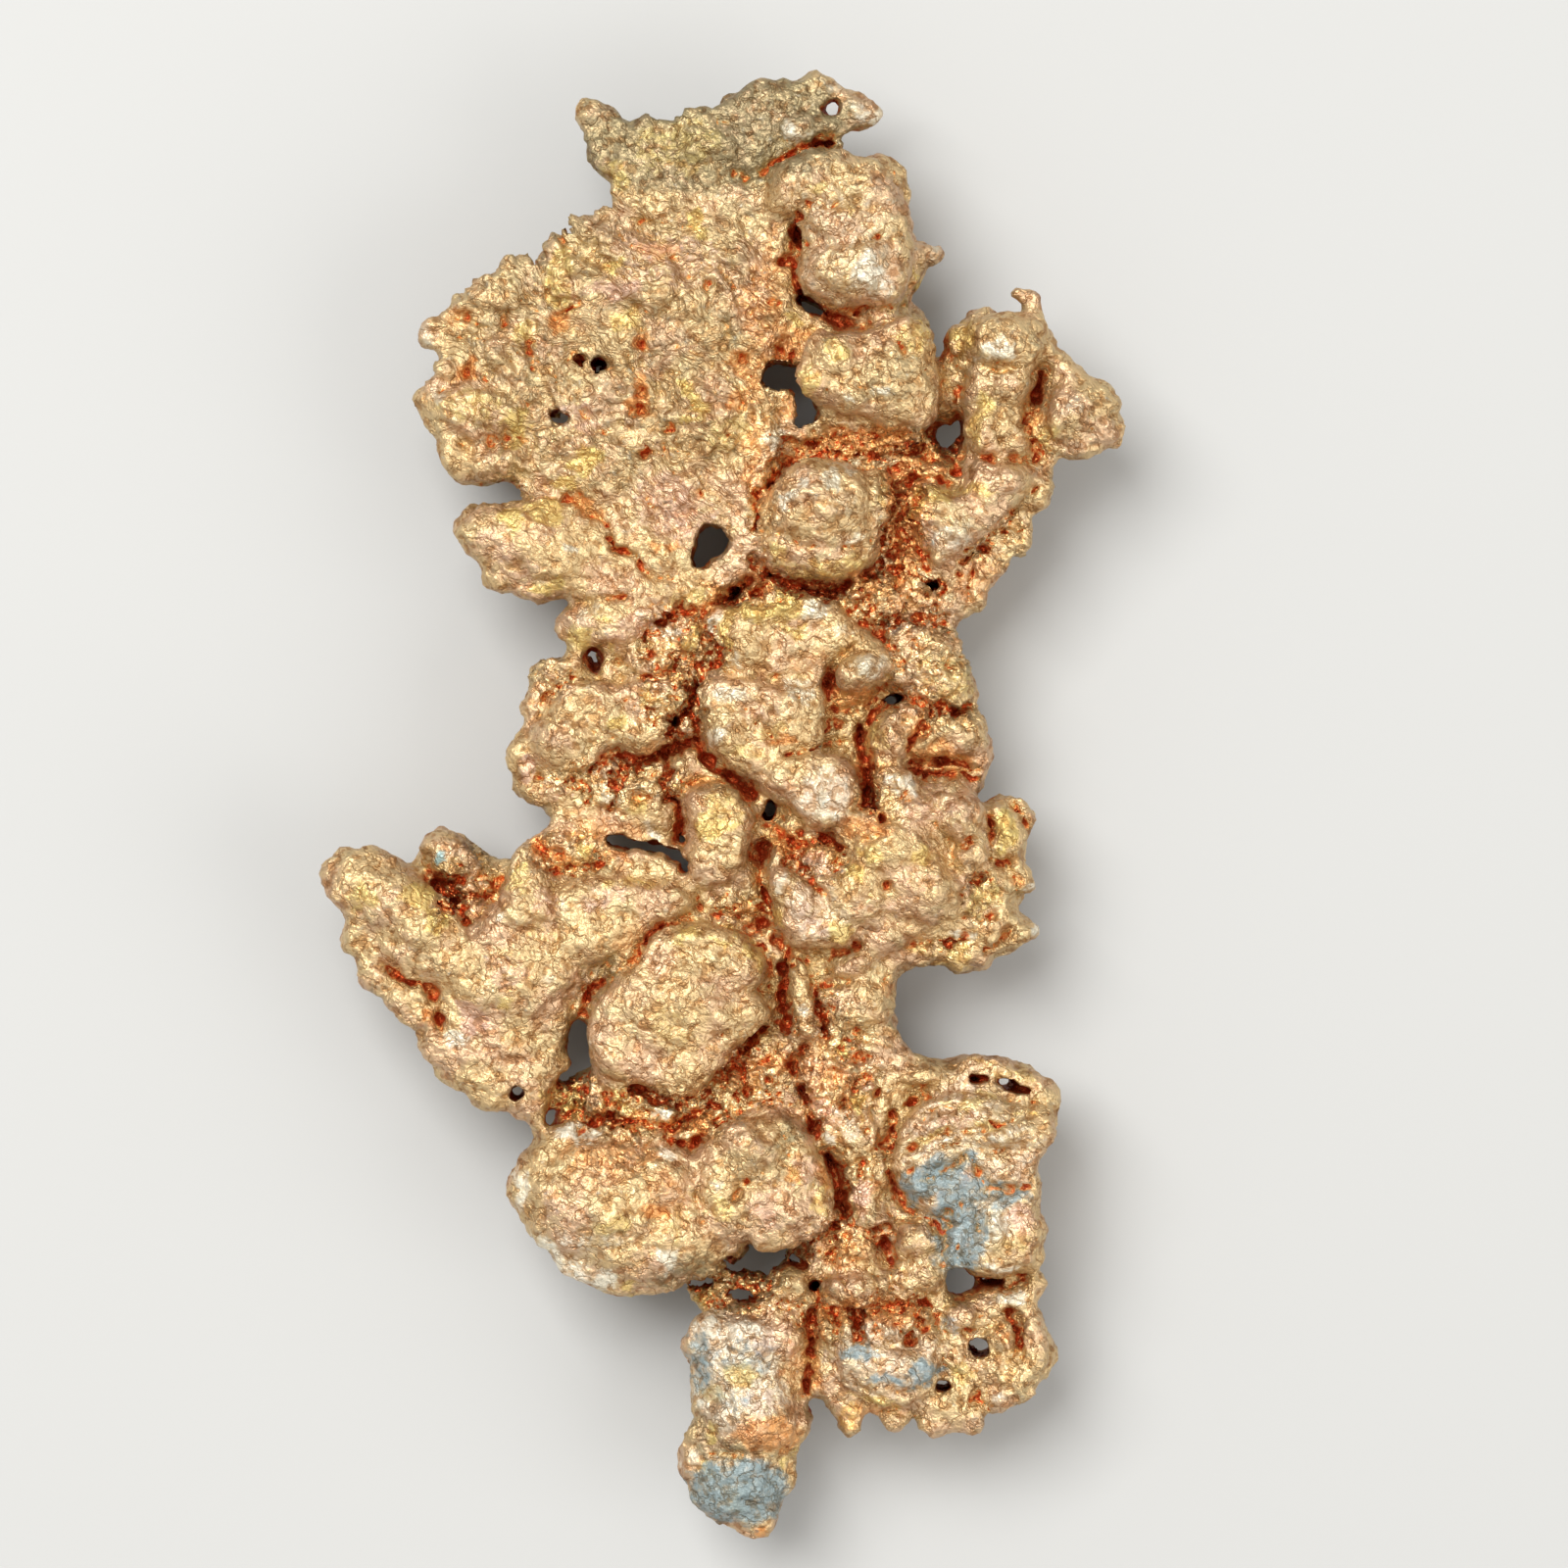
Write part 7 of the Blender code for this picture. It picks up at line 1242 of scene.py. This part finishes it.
skin = melt(body, FINE_GRID)
spots, ways = points_of(skin), normals_of(skin)
top = np.flatnonzero(ways[:, 2] > 0.1)
sunk = np.zeros(len(spots))
sunk[top] = smoothstep(0.1, 0.5, ways[top, 2]) * sunken(spots[top], 0.75, 0.18)
stirred = stir(spots, 0.5, 0.14)
hackly = np.maximum(share(spots, patches["hackle"]), 0.9 * np.clip(sunk / 0.7, 0, 1))
wrinkled = (1 - hackly) * share(spots, patches["wrinkle"])
across = (stir(stirred, 4.0, 1.8) @ lie) * (1 / WRINKLE_LENGTH, 1, 1)
grain = (1 - np.maximum(0.7 * hackly, wrinkled)) * GRAIN * (0.5 - cells(stirred, 0.62))
grain += (1 - np.maximum(hackly, wrinkled)) * DIMPLE * (billowed(stirred, 1.5, 2) - 0.3)
grain[top] += hackly[top] * HACKLE * (ridged(spots[top], 0.8, 3) - 1.0)
grain[top] += wrinkled[top] * WRINKLE * (billowed(across[top], 0.95, 2) - 0.3)
grain += FINEST * fractal(spots, 0.55, 2)
grain *= 0.35 + 0.65 * smoothstep(-0.3, 0.3, ways[:, 2])
spots += ways * grain[:, None]
spots[:, 2] -= np.minimum(THEN_SINK * sunk, MOST_SUNK)
spots[:, 2] = np.maximum(spots[:, 2], 0.0)
skin.vertices.foreach_set("co", spots.astype(np.float32).ravel())
skin.update()
nugget = bpy.data.objects.new("nugget", skin)
bpy.context.scene.collection.objects.link(nugget)
under = nugget.vertex_groups.new(name="underside")
lying = ways[:, 2] < FACES_DOWN
under.add([int(i) for i in np.flatnonzero(lying)], 1.0, "REPLACE")
whole = sum(len(face.vertices) - 2 for face in skin.polygons)
plainer = whole * (1 - BACK_LEFT_OUT * lying.mean())
for name, group, most in (("plainer back", under.name, plainer), ("fewer faces", "", TRIANGLES)):
    thin = nugget.modifiers.new(name, "DECIMATE")
    thin.ratio = min(1.0, most / sum(len(face.vertices) - 2 for face in skin.polygons))
    thin.vertex_group = group
    bpy.context.view_layer.update()
    graph = bpy.context.evaluated_depsgraph_get()
    skin = bpy.data.meshes.new_from_object(nugget.evaluated_get(graph))
    nugget.modifiers.clear()
    nugget.data = skin
nugget.vertex_groups.clear()

# Where faces folded onto each other both are taken out, and so are loose flakes.
sound = bmesh.new()
sound.from_mesh(skin)
bmesh.ops.triangulate(sound, faces=sound.faces)
folded = {}
for face in sound.faces:
    folded.setdefault(frozenset(face.verts), []).append(face)
folded = [face for pair in folded.values() if len(pair) > 1 for face in pair]
bmesh.ops.delete(sound, geom=folded, context="FACES")
reached = set()
ahead = [max(sound.verts, key=lambda vert: vert.co.y)]
while ahead:
    vert = ahead.pop()
    if vert not in reached:
        reached.add(vert)
        ahead += [edge.other_vert(vert) for edge in vert.link_edges]
flakes = [vert for vert in sound.verts if vert not in reached]
bmesh.ops.delete(sound, geom=flakes, context="VERTS")
sound.to_mesh(skin)
sound.free()
skin.transform(Matrix.Diagonal((MM, MM, MM, 1)))
skin.shade_smooth()
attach(nugget, "root")
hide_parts("copper_nugget")

# The surface is laid flat as two views: the front on the left half of a square, and the
# back on its right half.
ROOM = 1.02  # how much more of the square a view is given than it fills
flat = skin.uv_layers.new(name="OFBake")
corners = np.empty(len(skin.loops), np.int32)
skin.loops.foreach_get("vertex_index", corners)
facing = np.repeat([face.normal.z >= 0 for face in skin.polygons],
                   [face.loop_total for face in skin.polygons])
laid = points_of(skin)[corners, :2]
laid = (laid - laid.min(axis=0)) / (2 * ROOM * np.ptp(laid[:, 0]), ROOM * np.ptp(laid[:, 1]))
laid += (0.005, 0.01)
laid[:, 0] = np.where(facing, laid[:, 0], 0.99 - laid[:, 0])
flat.data.foreach_set("uv", laid.astype(np.float32).ravel())

# --- The colours of the copper ---------------------------------------------------------
# Bare copper, tan to gold on top and rose where it is thinnest. The clefts get painted shade
# and painted copper reflection, olive, orange-red, red and near black, where light only comes
# off other copper, and the hollows of folds and cracks are shaded brown in paint. Blue-grey
# and chalky films lie on it in patches; the silver patches are painted highlights. How deep
# each point lies, and so how much painted shade it gets, is measured by how much sky it sees.
SKY_RAYS = 40
NEAR = 0.9 * MM
FAR = 4.5 * MM


def sky_seen(mesh):
    """How much of the half-space before each vertex is open: close by, and further off."""
    spots, ways = points_of(mesh), normals_of(mesh)
    faces = [tuple(face.vertices) for face in mesh.polygons]
    tree = BVHTree.FromPolygons([tuple(spot) for spot in spots], faces)
    golden = math.pi * (3 - math.sqrt(5))
    fan = []
    for i in range(SKY_RAYS):
        up = math.sqrt((i + 0.5) / SKY_RAYS)
        flat = math.sqrt(1 - up * up)
        fan.append(Vector((flat * math.cos(golden * i), flat * math.sin(golden * i), up)))
    near, far = np.ones(len(spots)), np.ones(len(spots))
    for i, (spot, way) in enumerate(zip(spots, ways)):
        facing = Vector(way)
        turned = Vector((0, 0, 1)).rotation_difference(facing).to_matrix()
        start = Vector(spot) + facing * 0.02 * MM
        hits = [tree.ray_cast(start, turned @ ray, FAR)[3] for ray in fan]
        hits = [hit for hit in hits if hit is not None]
        near[i] -= sum(hit < NEAR for hit in hits) / SKY_RAYS
        far[i] -= sum(1 - 0.5 * hit / FAR for hit in hits) / SKY_RAYS
    return near, far


def store(mesh, name, values):
    """Keep one value for each vertex of a mesh."""
    layer = mesh.attributes.new(name, "FLOAT", "POINT")
    layer.data.foreach_set("value", values.astype(np.float32))


# near and far set where the colours below paint shade into the clefts.
near, far = sky_seen(skin)
store(skin, "near", near)
store(skin, "far", far)
spots = points_of(skin) / MM
store(skin, "level", np.abs(normals_of(skin)[:, 2]))
stirred = stir(stir(spots, 1.4, 0.7), 0.5, 0.3)
for kind in patches:
    store(skin, kind, share(stirred, patches[kind]))

copper_metal = bpy.data.materials.new("native copper")
copper_metal.use_nodes = True
nodes, links = copper_metal.node_tree.nodes, copper_metal.node_tree.links
shader = nodes["Principled BSDF"]
drawn = nodes.new("ShaderNodeMapping")
drawn.inputs["Scale"].default_value = (1, 1, DRAWN_DOWN)
links.new(nodes.new("ShaderNodeTexCoord").outputs["Object"], drawn.inputs["Vector"])
where = drawn.outputs["Vector"]


def number(value, socket):
    """Feed a socket from a value or from another socket."""
    if isinstance(value, bpy.types.NodeSocket):
        links.new(value, socket)
    else:
        socket.default_value = value


def cloud(per_mm, detail=3.0, roughness=0.55, place=None):
    """Cloudy noise whose bumps lie per_mm to the millimetre."""
    made = nodes.new("ShaderNodeTexNoise")
    links.new(place or where, made.inputs["Vector"])
    made.inputs["Scale"].default_value = per_mm / MM
    made.inputs["Detail"].default_value = detail
    made.inputs["Roughness"].default_value = roughness
    return made.outputs["Fac"]


def apart(first, second, kind="SUBTRACT"):
    """Combine two vectors."""
    made = nodes.new("ShaderNodeVectorMath")
    made.operation = kind
    for socket, entry in zip(made.inputs, (first, second)):
        number(entry, socket)
    return made.outputs["Value" if kind == "DOT_PRODUCT" else "Vector"]


def grains(per_mm, output="Distance"):
    """Cells like the grains of the metal."""
    made = nodes.new("ShaderNodeTexVoronoi")
    links.new(uneven_place, made.inputs["Vector"])
    made.inputs["Scale"].default_value = per_mm / MM
    return made.outputs[output]


def facets(per_mm):
    """Small flat faces, each tilted its own way, like the faces of crystals."""
    away = apart(uneven_place, grains(per_mm, "Position"))
    return apart(away, apart(grains(per_mm, "Color"), (0.5, 0.5, 0.5)), "DOT_PRODUCT")


def stored(name):
    """The values kept in the mesh under a name."""
    made = nodes.new("ShaderNodeAttribute")
    made.attribute_name = name
    return made.outputs["Fac"]


def spread(value, low, high, to_low=0.0, to_high=1.0):
    """Stretch a value so that low and high come out as to_low and to_high."""
    made = nodes.new("ShaderNodeMapRange")
    made.interpolation_type = "SMOOTHSTEP"
    for name, entry in (("Value", value), ("From Min", low), ("From Max", high),
                        ("To Min", to_low), ("To Max", to_high)):
        number(entry, made.inputs[name])
    return made.outputs["Result"]


def lines(value, width):
    """Thin winding lines, where a noise passes through its middle."""
    return spread(sum_of(sum_of(value, -0.5), 0.0, "ABSOLUTE"), 0.0, width, 1.0, 0.0)


def sum_of(first, second, kind="ADD"):
    """Add two values, or combine them in another way."""
    made = nodes.new("ShaderNodeMath")
    made.operation = kind
    number(first, made.inputs[0])
    number(second, made.inputs[1])
    return made.outputs[0]


def times(first, second):
    """Multiply two values."""
    return sum_of(first, second, "MULTIPLY")


def over(share_of, under, colour, blend="MIX"):
    """Lay a colour over another one, as strongly as a share says."""
    made = nodes.new("ShaderNodeMix")
    made.data_type = "RGBA"
    made.blend_type = blend
    number(share_of, made.inputs[0])
    number(under, made.inputs[6])
    number(colour, made.inputs[7])
    return made.outputs[2]


TAN = (0.555, 0.395, 0.2, 1)
BUFF = (0.56, 0.43, 0.23, 1)
ROSE = (0.54, 0.345, 0.225, 1)
YELLOW = (0.64, 0.48, 0.13, 1)
LILAC = (0.56, 0.35, 0.27, 1)
DULL = (0.24, 0.195, 0.105, 1)
PALE = (0.6, 0.51, 0.39, 1)
PAINTED_HIGHLIGHT_TINT = (0.66, 0.64, 0.52, 1)
BLUE = (0.165, 0.225, 0.24, 1)
TEAL = (0.25, 0.4, 0.4, 1)
CHALK = (0.62, 0.59, 0.48, 1)
ORANGE_AND_HOLLOW_SHADE = (0.68, 0.29, 0.08, 1)
# The next five colours are painted shade: olive, orange-red, red and near black in the clefts,
# where light only comes off other copper, and brown in the hollows of folds and cracks.
CLEFT_SHADE_ORANGE = (0.6, 0.22, 0.055, 1)
CLEFT_SHADE_RED = (0.34, 0.05, 0.01, 1)
CLEFT_SHADE_OLIVE = (0.42, 0.29, 0.1, 1)
FOLD_SHADE_BROWN = (0.56, 0.37, 0.2, 1)
DEEPEST_SHADE = (0.05, 0.006, 0.002, 1)

near, far = stored("near"), stored("far")
bend = nodes.new("ShaderNodeTexNoise")
links.new(where, bend.inputs["Vector"])
bend.inputs["Scale"].default_value = 1.3 / MM
bent = apart(apart(bend.outputs["Color"], (0.5, 0.5, 0.5)), (0.9 * MM,) * 3, "MULTIPLY")
uneven_place = apart(where, bent, "ADD")
along = nodes.new("ShaderNodeMapping")
along.vector_type = "TEXTURE"
along.inputs["Rotation"].default_value = (0, 0, WRINKLES_LIE)
along.inputs["Scale"].default_value = (WRINKLE_LENGTH, 1, 1)
sway = nodes.new("ShaderNodeTexNoise")
links.new(where, sway.inputs["Vector"])
sway.inputs["Scale"].default_value = 0.25 / MM
swayed = apart(apart(sway.outputs["Color"], (0.5, 0.5, 0.5)), (7 * MM,) * 3, "MULTIPLY")
links.new(apart(uneven_place, swayed, "ADD"), along.inputs["Vector"])
drawn_out = along.outputs["Vector"]
fine = cloud(1.9, 4.0, 0.6)
broad = cloud(0.3, 4.0)
middle = cloud(0.7, 3.0)
grain = grains(2.9)
hackly = stored("hackle")
tilted = sum_of(times(facets(3.6), times(hackly, 0.8)), times(facets(1.5), 0.8))
folds = cloud(1.4, 3.0, 0.48)
creased = cloud(1.6, 3.0, 0.52, drawn_out)
wrinkled = spread(stored("wrinkle"), 0.2, 0.9)
folds = sum_of(times(folds, times(wrinkled, -0.6)), folds)
folds = sum_of(folds, times(times(creased, wrinkled), 0.6))
plain = sum_of(1.0, wrinkled, "SUBTRACT")
cracked = times(lines(cloud(0.8, 3.0, 0.5), 0.035), plain)
cracked = sum_of(cracked, times(lines(cloud(1.0, 2.0, 0.5, drawn_out), 0.06), wrinkled))
height = sum_of(times(folds, 0.4), times(grain, -0.07))
height = sum_of(height, times(cracked, -0.06))
height = times(height, spread(stored("level"), 0.0, 0.75, 0.5, 1.0))
# speck breaks the painted shade of the clefts into grains, more strongly in the hackly beds.
speck = times(sum_of(cloud(2.6, 3.0, 0.6), -0.5), spread(hackly, 0.1, 0.8, 0.9, 2.2))
deep = sum_of(far, speck)
close = sum_of(near, speck)
colour = over(spread(broad, 0.42, 0.62, 0.0, 0.7), TAN, ROSE)
colour = over(spread(middle, 0.52, 0.68, 0.0, 0.7), colour, BUFF)
# The orange patches are partly painted shade and copper reflection in the hollows, partly the
# metal's own orange tone.
# The silver patches are painted highlights on the tops of the swellings.
for kind, tint, most in (("dull", DULL, 0.9), ("pale", PALE, 0.8), ("orange_and_hollow_shade", ORANGE_AND_HOLLOW_SHADE, 0.75),
                         ("rose", LILAC, 0.7), ("gold", YELLOW, 0.6), ("painted_highlight", PAINTED_HIGHLIGHT_TINT, 0.7),
                         ("chalk", CHALK, 0.8), ("blue", BLUE, 0.9), ("teal", TEAL, 0.9)):
    held = sum_of(stored(kind), times(sum_of(fine, -0.5), 1.6))
    colour = over(spread(held, 0.15, 1.05, 0.0, most), colour, tint)
# Painted shade: the hollows of the folds and the cracks are darkened brown.
colour = over(spread(folds, 0.47, 0.38, 0.0, 0.7), colour, FOLD_SHADE_BROWN, "MULTIPLY")
colour = over(times(cracked, 0.55), colour, FOLD_SHADE_BROWN, "MULTIPLY")
# Painted shade and painted copper reflection: the less sky a point sees, the more olive,
# orange-red, red and at last near black it is painted.
colour = over(spread(deep, 0.72, 0.42, 0.0, 0.55), colour, CLEFT_SHADE_OLIVE)
colour = over(spread(deep, 0.48, 0.32, 0.0, 0.75), colour, CLEFT_SHADE_ORANGE)
colour = over(spread(close, 0.56, 0.38, 0.0, 0.6), colour, CLEFT_SHADE_ORANGE)
colour = over(spread(deep, 0.42, 0.2, 0.0, 0.95), colour, CLEFT_SHADE_RED)
colour = over(spread(close, 0.34, 0.16, 0.0, 0.8), colour, CLEFT_SHADE_RED)
colour = over(spread(far, 0.12, 0.03, 0.0, 0.9), colour, DEEPEST_SHADE)
# Each grain's colour is scaled at random; in the hackly beds the spread is wide, so the grains
# carry painted glints and painted shade over their own tone.
grain_tone_and_glints = spread(grains(3.6, "Color"), 0.0, 1.0, spread(hackly, 0.2, 0.9, 0.9, 0.68),
                spread(hackly, 0.2, 0.9, 1.12, 1.5))
colour = over(1.0, colour, grain_tone_and_glints, "MULTIPLY")
links.new(colour, shader.inputs["Base Color"])
film = sum_of(sum_of(stored("blue"), stored("chalk"), "MAXIMUM"), stored("teal"), "MAXIMUM")
links.new(spread(film, 0.2, 0.9, 0.82, 0.35), shader.inputs["Metallic"])
rough = sum_of(spread(fine, 0.3, 0.7, 0.46, 0.58), times(hackly, -0.12))
links.new(rough, shader.inputs["Roughness"])
bump = nodes.new("ShaderNodeBump")
bump.inputs["Strength"].default_value = 1.0
bump.inputs["Distance"].default_value = MM
links.new(height, bump.inputs["Height"])
facet = nodes.new("ShaderNodeBump")
facet.inputs["Strength"].default_value = 0.6
facet.inputs["Distance"].default_value = 1.0
links.new(times(tilted, spread(hackly, 0.1, 0.9, 0.22, 1.0)), facet.inputs["Height"])
links.new(bump.outputs["Normal"], facet.inputs["Normal"])
links.new(facet.outputs["Normal"], shader.inputs["Normal"])
skin.materials.clear()
skin.materials.append(copper_metal)

# --- The floor and the studio ----------------------------------------------------------
# A plain pale floor, a large soft light from the upper left, a weaker one from the right,
# and the camera straight above the nugget, which lies on its back.
CAMERA_AIM = (3.72, 1.32)
FRAME_WIDTH = 96.0
LENS = 150.0
LEAF_HEIGHT = 8.0

floor_mesh = bmesh.new()
bmesh.ops.create_grid(floor_mesh, x_segments=1, y_segments=1, size=1.5)
floor = bpy.data.objects.new("floor", as_mesh(floor_mesh, "floor"))
bpy.context.scene.collection.objects.link(floor)
pale = bpy.data.materials.new("pale floor")
pale.use_nodes = True
pale.node_tree.nodes["Principled BSDF"].inputs["Base Color"].default_value = (0.39, 0.39, 0.38, 1)
pale.node_tree.nodes["Principled BSDF"].inputs["Roughness"].default_value = 0.9
floor.data.materials.append(pale)


def light(name, place, size, power):
    """Hang a soft square light that faces the nugget."""
    lamp = bpy.data.lights.new(name, "AREA")
    lamp.size = size
    lamp.energy = power
    hung = bpy.data.objects.new(name, lamp)
    hung.location = place
    hung.rotation_euler = (-Vector(place)).to_track_quat("-Z", "Y").to_euler()
    bpy.context.scene.collection.objects.link(hung)


light("key", (-0.22, 0.24, 0.62), 0.42, 6.6)
light("fill", (0.55, -0.25, 0.45), 0.5, 2.5)
studio = bpy.data.worlds.new("studio")
studio.use_nodes = True
studio.node_tree.nodes["Background"].inputs["Color"].default_value = (1.0, 0.98, 0.95, 1)
studio.node_tree.nodes["Background"].inputs["Strength"].default_value = 0.8
bpy.context.scene.world = studio
bpy.context.scene.view_settings.view_transform = "Standard"

lens = bpy.data.cameras.new("camera")
lens.lens = LENS
lens.sensor_width = 36.0
lens.clip_start = 0.01
camera = bpy.data.objects.new("camera", lens)
height = LEAF_HEIGHT + FRAME_WIDTH * LENS / lens.sensor_width
camera.location = (CAMERA_AIM[0] * MM, CAMERA_AIM[1] * MM, height * MM)
bpy.context.scene.collection.objects.link(camera)
bpy.context.scene.camera = camera
